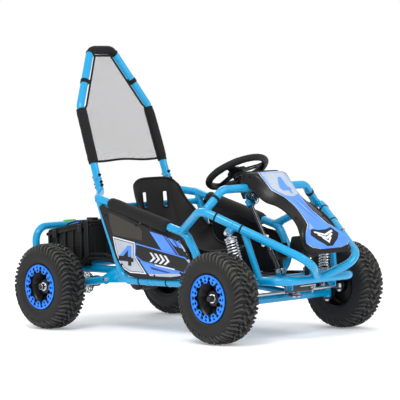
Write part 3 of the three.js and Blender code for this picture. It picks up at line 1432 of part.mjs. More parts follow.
// Pedal, built about its pivot with the lever rising along +Z
function pedal() {
  const sleeve = bar(V(0, -pedalSleeve / 2, 0), V(0, pedalSleeve / 2, 0), 2 * pedalPinD, eyeSides);
  const lever = strap(V(0, 0, 0), V(pedalThick, 0, pedalHeight - pedalPadHeight / 2), pedalThick * 3, pedalThick, axisY);
  const pad = block(pedalThick, pedalPadWidth, pedalPadHeight, V(pedalThick, 0, pedalHeight - pedalPadHeight / 4));
  const bore = bar(V(0, -pedalSleeve, 0), V(0, pedalSleeve, 0), pedalPinD + 2 * pinGap, eyeSides);
  const ribs = [-1, 0, 1].map((k) => block(pedalThick * 1.6, pedalPadWidth * 0.9, pedalRib,
    V(pedalThick * 0.6, 0, pedalHeight - pedalPadHeight / 4 + (k * pedalPadHeight) / 4)));
  return cut(join(sleeve, lever, pad, ...ribs), bore);
}

// The whole kart, by assembly
const kart = new THREE.Group();

function addFrame() {
  for (const [name, side] of sides) {
    kart.add(piece(`side_hoop_${name}`, sideHoop(side), framePaint()));
    kart.add(piece(`upper_rail_${name}`, upperRail(side), framePaint()));
  }
  kart.add(piece('dash_hoop', dashHoop(), framePaint()));
  kart.add(piece('front_loop', frontLoop(), framePaint()));
  kart.add(piece('floor_frame', floorFrame(), framePaint()));
  kart.add(piece('floor_pan', floorPan(), blackPaint()));
  kart.add(piece('rear_frame', rearFrame(), framePaint()));
  kart.add(piece('seat_cross_tube', seatCrossTube(), framePaint()));
  kart.add(piece('roll_bar', rollBar(), framePaint()));
}

function addBodywork() {
  for (const [name, side] of sides) {
    kart.add(piece(`roll_bar_pad_${name}`, rollPad(side), foamBlack()));
    kart.add(piece(`armrest_pad_${name}`, armPad(side), foamBlack()));
    kart.add(piece(`side_panel_${name}`, sidePanel(side), blackPlastic()));
  }
  kart.add(piece('roll_bar_top_sleeve', topSleeve(), foamBlack()));
  kart.add(piece('safety_net', safetyNet(), netGrey()));
  kart.add(piece('seat_shell', seatShell(), blackPlastic()));
  kart.add(piece('battery_box', batteryBox(), blackPlastic()));
  kart.add(piece('nose_fairing', noseFairing(), blackPlastic()));
}

function addSteering() {
  const wheelMesh = piece('steering_wheel', steeringWheel(), blackPlastic());
  const holder = group(wheelMesh);
  holder.position.copy(columnTop);
  holder.quaternion.setFromUnitVectors(axisZ, columnWay);
  kart.add(holder);
  kart.add(piece('steering_column', steeringColumn(), blackPaint()));
  for (const [name, side] of sides) {
    kart.add(piece(`knuckle_${name}`, knuckle(side), steel()));
    kart.add(piece(`tie_rod_${name}`, tieRod(side), steel()));
  }
}

function addPedals() {
  for (const [name, side] of [['accelerator_pedal', -1], ['brake_pedal', 1]]) {
    const holder = group(piece(name, pedal(), blackPaint()));
    holder.position.set(pedalCrossX, side * pedalSide, pedalPivotZ);
    kart.add(holder);
  }
}

function addAxles() {
  kart.add(piece('front_swing_frame', frontSwingFrame(), framePaint()));
  for (const [name, side] of sides) {
    kart.add(shockAssembly(`front_shock_${name}`, shockTop(side), shockFoot(side), frontSpringLength,
      frontSpringCurls));
    kart.add(wheel(`front_${name}`, side, spindleD, frontAxleX));
    kart.add(wheel(`rear_${name}`, side, axleD, rearAxleX));
  }
  kart.add(shockAssembly('rear_shock', rearShockTop, rearShockFoot, rearSpringLength, rearSpringCurls));
  kart.add(piece('rear_swing_arm', rearSwingArm(), framePaint()));
  kart.add(piece('rear_axle', rearAxle(), steel()));
  kart.add(piece('rear_sprocket', sprocket(sprocketTeeth, rearAxleX, axleZ, axleD, 6), steel()));
  kart.add(piece('brake_disc', brakeDisc(), steel()));
  kart.add(piece('brake_caliper', brakeCaliper(), blackPaint()));
  kart.add(piece('drive_motor', driveMotor(), blackPaint()));
  kart.add(piece('motor_sprocket', motorSprocket(), steel()));
  kart.add(piece('drive_chain', driveChain(), steel()));
}

addFrame();
addBodywork();
addSteering();
addPedals();
addAxles();

// The origin is on the ground, under the middle of the kart
kart.updateMatrixWorld(true);
const extent = new THREE.Box3().setFromObject(kart, true);
kart.position.set(-(extent.min.x + extent.max.x) / 2, 0, -extent.min.z);
kart.updateMatrixWorld(true);

export default kart;
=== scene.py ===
import json
from math import acos, atan2, ceil, copysign, cos, dist, exp, pi, radians, sin, sqrt, tan

import bmesh
import bpy
from mathutils import Matrix, Vector, geometry


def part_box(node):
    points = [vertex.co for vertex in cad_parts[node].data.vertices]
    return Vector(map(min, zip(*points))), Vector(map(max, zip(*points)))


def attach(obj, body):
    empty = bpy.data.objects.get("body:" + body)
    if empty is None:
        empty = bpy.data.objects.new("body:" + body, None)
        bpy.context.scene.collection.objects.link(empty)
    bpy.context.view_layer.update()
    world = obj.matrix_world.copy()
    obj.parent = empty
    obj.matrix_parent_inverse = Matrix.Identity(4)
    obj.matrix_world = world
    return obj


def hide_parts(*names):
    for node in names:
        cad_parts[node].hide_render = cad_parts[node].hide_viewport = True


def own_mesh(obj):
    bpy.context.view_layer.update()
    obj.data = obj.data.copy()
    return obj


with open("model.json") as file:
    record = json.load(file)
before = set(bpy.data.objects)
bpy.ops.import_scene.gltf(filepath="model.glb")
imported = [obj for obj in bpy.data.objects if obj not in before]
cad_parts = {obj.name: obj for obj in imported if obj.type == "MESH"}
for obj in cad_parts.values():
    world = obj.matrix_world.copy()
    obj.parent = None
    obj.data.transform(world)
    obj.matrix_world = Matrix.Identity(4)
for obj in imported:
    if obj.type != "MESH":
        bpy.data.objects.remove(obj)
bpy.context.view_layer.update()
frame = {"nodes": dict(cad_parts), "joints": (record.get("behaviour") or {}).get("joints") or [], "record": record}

MM = 0.001
SIDES = (("right", -1), ("left", 1))
BODY_OF = {node: body for body, nodes in frame["record"]["behaviour"]["bodies"].items() for node in nodes}
SLOT_OF = {part["node"]: part["material_slot"] for part in frame["record"]["subparts"]}


def joint(name):
    return next(j for j in frame["joints"] if j["name"] == name)


# Driving sizes, in millimetres, as the frame has them
WHEELBASE = 980
HALF_TRACK = 350
FRONT_X = WHEELBASE / 2
REAR_X = -WHEELBASE / 2
AXLE_Z = joint("front_wheel_right_spin")["pos_m"][2] / MM
SHIFT = joint("front_wheel_right_spin")["pos_m"][0] / MM - FRONT_X
TUBE = 32
LEG_TUBE = 25.4
SHEET = 4
FLOOR_Z = 208
FLOOR_CROSS_X = (-115, 120, 262)
LOOP_Z = 230
REAR_Z = 238
PEDAL_X = 556
PEDAL_Y = 75
PEDAL_Z = 258
GAP = 0.3
PER_METRE = 1000
TURN = 2 * pi
AHEAD, LEFT, UP = (1, 0, 0), (0, 1, 0), (0, 0, 1)


def at(x, y, z):
    """A point given in the kart's own millimetres, from the middle of the wheelbase."""
    return Vector(((x + SHIFT) * MM, y * MM, z * MM))


# Camera, fitted to the photo
EYE_TURN = radians(45.978)
EYE_LIFT = radians(2.663)
EYE_ROLL = radians(-1.389)
EYE_DISTANCE = 8304.17
EYE_AIM = (42.37, 0, 517.181)
FOCAL_PX = 2069.309
FRAME_PX = 400
SENSOR = 36
WHITE = (1, 1, 1, 1)
FLOOR_REACH = 30


def in_scene(name, data):
    """A new object with this data, linked into the scene."""
    made = bpy.data.objects.new(name, data)
    bpy.context.scene.collection.objects.link(made)
    return made


def add_camera():
    back = Vector((sin(EYE_TURN) * cos(EYE_LIFT), -cos(EYE_TURN) * cos(EYE_LIFT),
                   sin(EYE_LIFT)))
    right = Vector((cos(EYE_TURN), sin(EYE_TURN), 0))
    up = back.cross(right)
    tilted = right * cos(EYE_ROLL) + up * sin(EYE_ROLL)
    upright = up * cos(EYE_ROLL) - right * sin(EYE_ROLL)
    data = bpy.data.cameras.new("camera")
    data.sensor_width = SENSOR
    data.lens = FOCAL_PX / FRAME_PX * SENSOR
    data.clip_end = 40
    camera = in_scene("camera", data)
    basis = Matrix((tilted, upright, back)).transposed().to_4x4()
    camera.matrix_world = Matrix.Translation(at(*EYE_AIM) + back * EYE_DISTANCE * MM) @ basis
    bpy.context.scene.camera = camera


def add_lamp(name, place, target, size, power):
    data = bpy.data.lights.new(name, "AREA")
    data.shape = "DISK"
    data.size = size
    data.energy = power
    lamp = in_scene(name, data)
    lamp.location = place
    lamp.rotation_euler = (Vector(target) - Vector(place)).to_track_quat("-Z", "Y").to_euler()


def add_studio():
    """White all round to the eye, a little darker as a light, with a key lamp over the kart's right side."""
    world = bpy.data.worlds.new("studio")
    world.use_nodes = True
    tree = world.node_tree
    sky = tree.nodes["Background"]
    seen = tree.nodes.new("ShaderNodeLightPath").outputs["Is Camera Ray"]
    strength = add_node(tree, "ShaderNodeMapRange", {"Value": seen, "To Min": 0.86, "To Max": 1.0})
    wire(tree, strength.outputs["Result"], sky.inputs["Strength"])
    sky.inputs["Color"].default_value = WHITE
    bpy.context.scene.world = world
    bpy.context.scene.view_settings.view_transform = "Standard"
    add_lamp("key", (1.4, -3.0, 4.4), (0, 0, 0.3), 2.2, 120)
    add_lamp("nose side", (3.8, 0.6, 3.0), (0, 0, 0.4), 2.2, 45)
    add_lamp("rear side", (-3.2, 2.4, 3.6), (0, 0, 0.4), 2.4, 45)
    mesh = bpy.data.meshes.new("floor")
    corners = ((-1, -1), (1, -1), (1, 1), (-1, 1))
    mesh.from_pydata([(x * FLOOR_REACH, y * FLOOR_REACH, 0) for x, y in corners], [], [(0, 1, 2, 3)])
    floor = in_scene("floor", mesh)
    paper = bpy.data.materials.new("floor_paper")
    paper.use_nodes = True
    set_inputs(paper.node_tree, paper.node_tree.nodes["Principled BSDF"],
               {"Base Color": (0.93, 0.93, 0.93, 1), "Roughness": 0.9, "Emission Color": WHITE,
                "Emission Strength": 0.22})
    floor.data.materials.append(paper)


def linear(*rgb):
    """A colour given as 0 to 255 on screen, as the shader wants it."""
    def one(c):
        c /= 255
        return c / 12.92 if c <= 0.04045 else ((c + 0.055) / 1.055) ** 2.4
    return tuple(one(c) for c in rgb) + (1,)


# Node trees: what the finishes and the shape trees are put together with

def new_tree(kind, name, takes, gives):
    """A node tree with named inputs and outputs, with what comes in and what goes out."""
    tree = bpy.data.node_groups.new(name, kind)
    for way, sockets in (("INPUT", takes), ("OUTPUT", gives)):
        for label, sort in sockets:
            tree.interface.new_socket(label, in_out=way, socket_type=f"NodeSocket{sort}")
    return tree, tree.nodes.new("NodeGroupInput").outputs, tree.nodes.new("NodeGroupOutput").inputs


def wire(tree, source, target):
    tree.links.new(source, target)


def set_inputs(tree, made, inputs):
    """Each of these inputs of a node is wired to a socket or set to a value."""
    for label, value in inputs.items():
        if isinstance(value, bpy.types.NodeSocket):
            wire(tree, value, made.inputs[label])
        else:
            made.inputs[label].default_value = value


def add_node(tree, kind, inputs, **settings):
    """A node with its settings and its inputs."""
    made = tree.nodes.new(kind)
    for label, value in settings.items():
        setattr(made, label, value)
    set_inputs(tree, made, inputs)
    return made


def maths(tree, operation, *values, clamp=False):
    """What a Math node makes of its values."""
    return add_node(tree, "ShaderNodeMath", dict(enumerate(values)), operation=operation,
                    use_clamp=clamp).outputs[0]


def noise(tree, place, scale, detail):
    return add_node(tree, "ShaderNodeTexNoise", {"Vector": place, "Scale": scale,
                                                 "Detail": detail}).outputs["Fac"]


# Finishes: node groups that several materials share

def surface_grain():
    """Slow patches in colour and shine, and a fine grain that stands up or in."""
    tree, takes, gives = new_tree(
        "ShaderNodeTree", "surface grain",
        [("Place", "Vector"), ("Colour", "Color"), ("Colour Spread", "Float"), ("Roughness", "Float"),
         ("Roughness Spread", "Float"), ("Patch Scale", "Float"), ("Grain Scale", "Float"),
         ("Grain Depth", "Float")],
        [("Colour", "Color"), ("Roughness", "Float"), ("Normal", "Vector")])
    slow = noise(tree, takes["Place"], takes["Patch Scale"], 4)
    swing = add_node(tree, "ShaderNodeMapRange",
                     {"Value": slow, "From Min": 0.3, "From Max": 0.7, "To Min": -1}).outputs["Result"]
    gain = maths(tree, "MULTIPLY_ADD", swing, takes["Colour Spread"], 1)
    tint = add_node(tree, "ShaderNodeVectorMath", {0: takes["Colour"], "Scale": gain}, operation="SCALE")
    wire(tree, tint.outputs[0], gives["Colour"])
    shine = maths(tree, "MULTIPLY_ADD", swing, takes["Roughness Spread"], takes["Roughness"], clamp=True)
    wire(tree, shine, gives["Roughness"])
    fine = noise(tree, takes["Place"], takes["Grain Scale"], 3)
    relief = add_node(tree, "ShaderNodeBump", {"Distance": 0.0006, "Strength": takes["Grain Depth"],
                                               "Height": fine})
    wire(tree, relief.outputs["Normal"], gives["Normal"])
    return tree


def settled_dust():
    """Dust on what faces up, thicker in patches."""
    tree, takes, gives = new_tree(
        "ShaderNodeTree", "settled dust",
        [("Place", "Vector"), ("Colour", "Color"), ("Roughness", "Float"), ("Dust Colour", "Color"),
         ("Amount", "Float")],
        [("Colour", "Color"), ("Roughness", "Float")])
    shape = tree.nodes.new("ShaderNodeNewGeometry")
    split = add_node(tree, "ShaderNodeSeparateXYZ", {"Vector": shape.outputs["Normal"]})
    lying = add_node(tree, "ShaderNodeMapRange", {"Value": split.outputs["Z"],
                                                  "From Min": 0.2}).outputs["Result"]
    both = maths(tree, "MULTIPLY", lying, noise(tree, takes["Place"], 30, 5))
    cover = maths(tree, "MULTIPLY", both, takes["Amount"])
    tint = add_node(tree, "ShaderNodeMix", {"Factor": cover, "A": takes["Colour"], "B": takes["Dust Colour"]},
                    data_type="RGBA")
    wire(tree, tint.outputs["Result"], gives["Colour"])
    wire(tree, maths(tree, "MULTIPLY_ADD", cover, 0.4, takes["Roughness"], clamp=True), gives["Roughness"])
    return tree


def crossed_threads():
    """The height of a plain weave: two sets of threads, a right angle apart, over and under each other."""
    tree, takes, gives = new_tree("ShaderNodeTree", "crossed threads",
                                  [("Place", "Vector"), ("Threads per Metre", "Float")],
                                  [("Height", "Float")])
    rows = []
    for axis, turn in (("X", 0.0), ("Y", pi / 2)):
        lie = add_node(tree, "ShaderNodeMapping", {"Rotation": (0.6, 0.5 + turn, turn),
                                                   "Vector": takes["Place"]})
        scale = maths(tree, "MULTIPLY", takes["Threads per Metre"], 1 / TURN)
        wave = add_node(tree, "ShaderNodeTexWave", {"Vector": lie.outputs["Vector"], "Scale": scale,
                                                    "Distortion": 0.6},
                        bands_direction=axis)
        rows.append(wave.outputs["Fac"])
    wire(tree, maths(tree, "MAXIMUM", *rows), gives["Height"])
    return tree


GRAIN = surface_grain()
DUST = settled_dust()
THREADS = crossed_threads()


def finish_of(name, colour, rough, grain, bump, metal=0.0, vary=0.1, coat=0.0, sheen=0.0, dust=0.0,
              threads=0.0, shine=0.5):
    """A material from the shared groups: grain in all of them, dust and a weave where they have it."""
    material = bpy.data.materials.new(name)
    material.use_nodes = True
    tree = material.node_tree
    shader = tree.nodes["Principled BSDF"]
    set_inputs(tree, shader, {"Metallic": metal, "Specular IOR Level": shine, "Coat Weight": coat,
                              "Coat Roughness": 0.05, "Sheen Weight": sheen})
    place = tree.nodes.new("ShaderNodeTexCoord").outputs["Object"]
    surface = add_node(tree, "ShaderNodeGroup",
                       {"Colour": colour, "Colour Spread": vary, "Roughness": rough, "Roughness Spread": 0.06,
                        "Patch Scale": 14, "Grain Scale": grain, "Grain Depth": bump, "Place": place},
                       node_tree=GRAIN, name="surface grain").outputs
    last = surface
    if dust:
        last = add_node(tree, "ShaderNodeGroup",
                        {"Dust Colour": linear(150, 143, 132), "Amount": dust, "Place": place,
                         "Colour": surface["Colour"], "Roughness": surface["Roughness"]},
                        node_tree=DUST).outputs
    normal = surface["Normal"]
    if threads:
        weave = add_node(tree, "ShaderNodeGroup", {"Threads per Metre": PER_METRE / threads, "Place": place},
                         node_tree=THREADS)
        relief = add_node(tree, "ShaderNodeBump", {"Strength": 0.35, "Distance": 0.0005,
                                                   "Height": weave.outputs["Height"], "Normal": normal})
        normal = relief.outputs["Normal"]
    set_inputs(tree, shader, {"Base Color": last["Colour"], "Roughness": last["Roughness"], "Normal": normal})
    return material


def netting(name, colour, pitch, cover):
    """An open mesh cloth: threads of a small grid, see-through between them."""
    material = finish_of(name, colour, 0.8, 900, 0.05)
    tree = material.node_tree
    split = add_node(tree, "ShaderNodeSeparateXYZ",
                     {"Vector": tree.nodes["Texture Coordinate"].outputs["Object"]})
    threads = []
    for axis in ("Y", "Z"):
        part = maths(tree, "FRACT", maths(tree, "DIVIDE", split.outputs[axis], pitch * MM))
        threads.append(maths(tree, "LESS_THAN", part, cover))
    wire(tree, maths(tree, "MAXIMUM", *threads), tree.nodes["Principled BSDF"].inputs["Alpha"])
    return material


def vinyl(name, *rgb, rough=0.34, coat=0.15, shine=0.3):
    return finish_of(f"vinyl_{name}", linear(*rgb), rough, 900, 0.04, coat=coat, shine=shine)


PAINT = finish_of("frame_paint", linear(0, 150, 203), 0.22, 260, 0.05, vary=0.04, coat=0.4, shine=0.3)
BLACK_PAINT = finish_of("black_paint", linear(15, 15, 17), 0.36, 500, 0.15, coat=0.12, shine=0.25)
PLASTIC = finish_of("black_plastic", linear(14, 14, 16), 0.46, 1500, 0.3, dust=0.04, shine=0.25)
SEAT_BLACK = finish_of("seat_plastic", linear(13, 12, 14), 0.48, 1100, 0.45, dust=0.03, shine=0.28)
PANEL_BLACK = finish_of("panel_plastic", linear(12, 12, 14), 0.36, 1300, 0.15, coat=0.06, shine=0.25)
GRIP = finish_of("grip_rubber", linear(13, 13, 14), 0.55, 1800, 0.6, shine=0.25)
FOAM = finish_of("foam_cover", linear(17, 17, 19), 0.75, 900, 0.2, sheen=0.05, threads=1.6, shine=0.25)
WEBBING = finish_of("webbing", linear(14, 14, 16), 0.75, 900, 0.2, sheen=0.05, threads=1.2, shine=0.25)
NET = netting("net_cloth", linear(92, 92, 98), 3.2, 0.19)
RUBBER = finish_of("tyre_rubber", linear(26, 26, 27), 0.6, 420, 0.5, vary=0.25, dust=0.28, shine=0.3)
# The lug rubber is the carcass rubber in a lighter tone: a painted highlight on the raised lugs. Its dust is real
# dust, as on the carcass.
PAINTED_HIGHLIGHT_LUG_RUBBER = finish_of("painted_highlight_lug_rubber", linear(46, 47, 47), 0.62, 300, 0.6, vary=0.4, dust=0.3, shine=0.45)
RING = finish_of("ring_blue", linear(8, 126, 244), 0.3, 900, 0.08, metal=0.15, coat=0.3, shine=0.35)
STEEL = finish_of("zinc_steel", linear(188, 190, 194), 0.28, 900, 0.2, metal=1)
DARK_STEEL = finish_of("dark_steel", linear(62, 64, 68), 0.38, 900, 0.25, metal=1)
BLACK_STEEL = finish_of("black_steel", linear(20, 20, 22), 0.4, 900, 0.25, metal=0.6)
CHROME = finish_of("spring_chrome", linear(236, 237, 240), 0.26, 900, 0.05, metal=1)
COLUMN_BLACK = finish_of("column_black", linear(18, 18, 20), 0.2, 700, 0.05, coat=0.6)
VINYL_BLUE = vinyl("blue", 78, 138, 236)
VINYL_PALE = vinyl("pale_blue", 126, 168, 240)
VINYL_SILVER = vinyl("silver", 172, 180, 192, rough=0.36)
VINYL_WHITE = vinyl("white", 216, 220, 230)
VINYL_DEEP = vinyl("deep_blue", 30, 58, 128)
VINYL_OLIVE = vinyl("olive", 52, 48, 42, rough=0.36, coat=0.1, shine=0.25)
VINYL_BLACK = vinyl("black", 13, 13, 16, coat=0.1, shine=0.25)
LABEL_GREEN = finish_of("cell_tape_green", linear(120, 190, 60), 0.4, 900, 0.04)


class Shape:
    """Points and faces being put together, in the kart's millimetres."""

    def __init__(self, points=(), faces=()):
        self.points = [Vector(p) for p in points]
        self.faces = [tuple(f) for f in faces]

    def join(self, *others):
        for other in others:
            start = len(self.points)
            self.points += [p.copy() for p in other.points]
            self.faces += [tuple(k + start for k in face) for face in other.faces]
        return self

    def moved(self, matrix):
        return Shape([matrix @ p for p in self.points], self.faces)

    def shifted(self, x, y, z):
        return self.moved(Matrix.Translation((x, y, z)))


def mixed(a, b, share):
    return a + (b - a) * share


def hermite(start, out, end, into, t):
    """A point between two ends whose curve leaves and arrives along given ways."""
    return (start * (2 * t ** 3 - 3 * t * t + 1) + out * (t ** 3 - 2 * t * t + t)
            + end * (3 * t * t - 2 * t ** 3) + into * (t ** 3 - t * t))


def bent(corners, steps=10):
    """The middle line of a bent tube: each inner corner is (x, y, z, bend radius)."""
    line = [Vector(corners[0][:3])]
    for before, here, after in zip(corners, corners[1:], corners[2:]):
        point = Vector(here[:3])
        into = (point - Vector(before[:3])).normalized()
        onward = (Vector(after[:3]) - point).normalized()
        angle = into.angle(onward)
        if angle < 0.001:
            continue
        radius = here[3]
        aside = (onward - into * into.dot(onward)).normalized()
        centre = point - into * radius * tan(angle / 2) + aside * radius
        for k in range(steps + 1):
            turn = angle * k / steps
            line.append(centre - aside * radius * cos(turn) + into * radius * sin(turn))
    line.append(Vector(corners[-1][:3]))
    return line


def directions(line, looped=False):
    """Which way the line runs at each of its points."""
    ways = []
    for k, point in enumerate(line):
        ahead = line[(k + 1) % len(line)] if looped or k + 1 < len(line) else point
        behind = line[k - 1] if looped or k > 0 else point
        ways.append((ahead - behind).normalized())
    return ways


def ring_faces(rings, sides, looped):
    """The faces between rings of points. They end in two flat faces, or close on themselves."""
    faces = []
    for p in range(rings if looped else rings - 1):
        here, there = p * sides, (p + 1) % rings * sides
        for k in range(sides):
            j = (k + 1) % sides
            faces.append((here + k, here + j, there + j, there + k))
    if not looped:
        faces += [tuple(range(sides)), tuple(reversed(range((rings - 1) * sides, rings * sides)))]
    return faces


def grid_faces(rows, columns):
    """The faces of a sheet whose points run row by row."""
    width = columns + 1
    corners = [i * width + k for i in range(rows) for k in range(columns)]
    return [(a, a + 1, a + width + 1, a + width) for a in corners]


def swept(line, section, looped=False, aside=None):
    """A closed section, in (across, up), carried along a line. aside is its first across."""
    ways = directions(line, looped)
    across = Vector(aside) if aside else ways[0].orthogonal()
    across = (across - ways[0] * across.dot(ways[0])).normalized()
    shape = Shape()
    for k, (point, way) in enumerate(zip(line, ways)):
        if k:
            across = ways[k - 1].rotation_difference(way) @ across
            across = (across - way * across.dot(way)).normalized()
        up = way.cross(across)
        size = section(k / (len(line) - 1)) if callable(section) else section
        shape.points += [point + across * a + up * b for a, b in size]
    shape.faces = ring_faces(len(line), len(size), looped)
    return shape


def ring_of(radius, sides):
    return [(radius * cos(TURN * k / sides), radius * sin(TURN * k / sides))
            for k in range(sides)]


def tube(line, diameter, sides=20):
    return swept(line, ring_of(diameter / 2, sides))


def rod(start, end, diameter, sides=20):
    return tube([Vector(start), Vector(end)], diameter, sides)


def turned(profile, centre=(0, 0, 0), way=UP, sides=32, looped=False):
    """A profile of (along, radius) points turned about an axis, with flat ends or closed on itself."""
    basis = Vector(UP).rotation_difference(Vector(way)).to_matrix()
    shape = Shape()
    for along, radius in profile:
        for k in range(sides):
            angle = TURN * k / sides
            place = basis @ Vector((radius * cos(angle), radius * sin(angle), along))
            shape.points.append(Vector(centre) + place)
    shape.faces = ring_faces(len(profile), sides, looped)
    return shape


def collar(half, bore, radius, centre, way, sides, chamfer):
    """A bush round an axis, with chamfers on its two outer edges."""
    return turned([(-half, bore), (-half, radius - chamfer), (chamfer - half, radius),
                   (half - chamfer, radius), (half, radius - chamfer), (half, bore)], centre, way, sides,
                  looped=True)


def evaluated(made):
    return made.evaluated_get(bpy.context.evaluated_depsgraph_get())


def plate(outline, thick, matrix=None, holes=(), edge=0.0):
    """A flat plate about its own middle plane, with its holes and a small round on its edges."""
    flat = bpy.data.curves.new("outline", "CURVE")
    flat.dimensions = "2D"
    flat.fill_mode = "BOTH"
    flat.extrude = thick / 2 - edge
    flat.bevel_depth = edge
    flat.offset = -edge
    flat.bevel_resolution = 1
    for ring in (outline, *holes):
        spline = flat.splines.new("POLY")
        spline.points.add(len(ring) - 1)
        for point, (a, b) in zip(spline.points, ring):
            point.co = (a, b, 0, 1)
        spline.use_cyclic_u = True
    holder = in_scene("outline", flat)
    bpy.context.view_layer.update()
    mesh = bpy.data.meshes.new_from_object(evaluated(holder))
    shape = Shape([v.co for v in mesh.vertices], [tuple(p.vertices) for p in mesh.polygons])
    bpy.data.objects.remove(holder)
    bpy.data.curves.remove(flat)
    bpy.data.meshes.remove(mesh)
    return shape.moved(matrix) if matrix else shape


def facing(origin, across, up):
    """A matrix that lays a flat plate with its X along across and its Y along up."""
    across, up = Vector(across).normalized(), Vector(up)
    out = across.cross(up).normalized()
    up = out.cross(across)
    matrix = Matrix((across, up, out)).transposed().to_4x4()
    matrix.translation = Vector(origin)
    return matrix


def box_of(low, high):
    corners = [(x, y, z) for x in (low[0], high[0]) for y in (low[1], high[1]) for z in (low[2], high[2])]
    return Shape(corners, [(0, 1, 3, 2), (4, 6, 7, 5), (0, 4, 5, 1), (2, 3, 7, 6), (0, 2, 6, 4),
                           (1, 5, 7, 3)])


def rounded(width, height, radius, steps=5):
    """A rectangle about the origin with round corners."""
    ring = []
    for k, (x, y) in enumerate(((1, 1), (-1, 1), (-1, -1), (1, -1))):
        for s in range(steps + 1):
            angle = pi / 2 * (k + s / steps)
            ring.append((x * (width / 2 - radius) + radius * cos(angle),
                         y * (height / 2 - radius) + radius * sin(angle)))
    return ring


def circle(radius, sides, x=0.0, y=0.0):
    return [(x + a, y + b) for a, b in ring_of(radius, sides)]


def link_outline(length, width, steps=10):
    """The outline of an eared link from the origin to (length, 0): straight sides and round ends."""
    ring = []
    for k in range(steps + 1):
        angle = pi / 2 + pi * k / steps
        ring.append((width / 2 * cos(angle), width / 2 * sin(angle)))
    for k in range(steps + 1):
        angle = -pi / 2 + pi * k / steps
        ring.append((length + width / 2 * cos(angle), width / 2 * sin(angle)))
    return ring


def mesh_of(name, points, faces=()):
    mesh = bpy.data.meshes.new(name)
    mesh.from_pydata([at(*p) for p in points], [], faces)
    return mesh


def loose(name, shape, material, angle=35):
    """The shape as a mesh object of its own, its doubles merged and its faces pointing out."""
    mesh = mesh_of(name, shape.points, shape.faces)
    tool = bmesh.new()
    tool.from_mesh(mesh)
    bmesh.ops.remove_doubles(tool, verts=tool.verts, dist=0.00001)
    bmesh.ops.recalc_face_normals(tool, faces=tool.faces)
    tool.to_mesh(mesh)
    tool.free()
    mesh.materials.append(material)
    made = in_scene(name, mesh)
    shade(mesh, angle)
    return made


def shade(mesh, angle):
    mesh.shade_smooth()
    mesh.set_sharp_from_angle(angle=radians(angle))


def settle(made, angle=35):
    """The object's modifiers become part of its mesh."""
    done = bpy.data.meshes.new_from_object(evaluated(made))
    materials = [m for m in made.data.materials if m]
    made.modifiers.clear()
    made.data = done
    if not done.materials:
        for material in materials:
            done.materials.append(material)
    shade(done, angle)
    return made


def walled(made, thick, angle, offset=-1):
    """A sheet gets its thickness, inwards from its outer face."""
    wall = made.modifiers.new("wall", "SOLIDIFY")
    wall.thickness = thick * MM
    wall.offset = offset
    return settle(made, angle)


def soften(made, width, angle):
    """The sharp edges get a small round."""
    bevel = made.modifiers.new("edge round", "BEVEL")
    bevel.width = width * MM
    bevel.segments = 2
    bevel.limit_method = "ANGLE"
    bevel.angle_limit = radians(30)
    bevel.harden_normals = False
    return settle(made, angle)


def place(made, like, stands_for=True, slot=None):
    """The piece rides where the CAD node rides, and stands for it."""
    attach(made, BODY_OF[like])
    if stands_for:
        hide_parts(like)
    return made


def piece(name, shape, material, like, stands_for=True, edge=0.0, angle=35, slot=None):
    made = loose(name, shape, material, angle)
    if edge:
        soften(made, edge, angle)
    return place(made, like, stands_for, slot)


def extra(name, shape, material, like, edge=0.0, angle=35, slot=None):
    """A piece beside the one that stands for the CAD node."""
    return piece(name, shape, material, like, False, edge, angle, slot)


# Geometry Nodes: fasteners, copies about an axle, and shapes set out on points

def shape_tree(name, takes):
    return new_tree("GeometryNodeTree", name, [("Geometry", "Geometry"), *takes, ("Material", "Material")],
                    [("Geometry", "Geometry")])


def ending(tree, takes, gives, instances):
    """The instances become a mesh with the material that comes in, and go out."""
    real = add_node(tree, "GeometryNodeRealizeInstances", {"Geometry": instances}).outputs["Geometry"]
    paint = add_node(tree, "GeometryNodeSetMaterial", {"Geometry": real, "Material": takes["Material"]})
    wire(tree, paint.outputs["Geometry"], gives["Geometry"])
    return tree


def marked_turn(tree):
    """The turn that each point carries, as a rotation."""
    mark = add_node(tree, "GeometryNodeInputNamedAttribute", {"Name": "turn"}, data_type="FLOAT_VECTOR")
    return add_node(tree, "FunctionNodeEulerToRotation",
                    {"Euler": mark.outputs["Attribute"]}).outputs["Rotation"]


def fastener_tree():
    """A hexagon head with a chamfered crown on a round washer, on every marked point."""
    tree, takes, gives = shape_tree("hex head and washer", [
        ("Head Width", "Float"), ("Head Height", "Float"), ("Washer Width", "Float"),
        ("Washer Thickness", "Float")])

    def share(label, factor):
        return maths(tree, "MULTIPLY", takes[label], factor)

    gather = tree.nodes.new("GeometryNodeJoinGeometry")
    radius = share("Head Width", 0.5 / cos(pi / 6))
    washer = takes["Washer Thickness"]
    parts = [
        (6, radius, radius, share("Head Height", 0.75), washer),
        (6, radius, share("Head Width", 0.48), share("Head Height", 0.25),
         maths(tree, "ADD", washer, share("Head Height", 0.75))),
        (18, share("Washer Width", 0.5), share("Washer Width", 0.47), washer, 0),
    ]
    for count, low, high, depth, lift in parts:
        form = add_node(tree, "GeometryNodeMeshCone",
                        {"Vertices": count, "Radius Top": high, "Radius Bottom": low, "Depth": depth})
        raised = add_node(tree, "ShaderNodeCombineXYZ", {"Z": lift})
        move = add_node(tree, "GeometryNodeTransform",
                        {"Geometry": form.outputs["Mesh"], "Translation": raised.outputs["Vector"]})
        wire(tree, move.outputs["Geometry"], gather.inputs["Geometry"])
    put = add_node(tree, "GeometryNodeInstanceOnPoints",
                   {"Points": takes["Geometry"], "Instance": gather.outputs["Geometry"],
                    "Rotation": marked_turn(tree)})
    return ending(tree, takes, gives, put.outputs["Instances"])


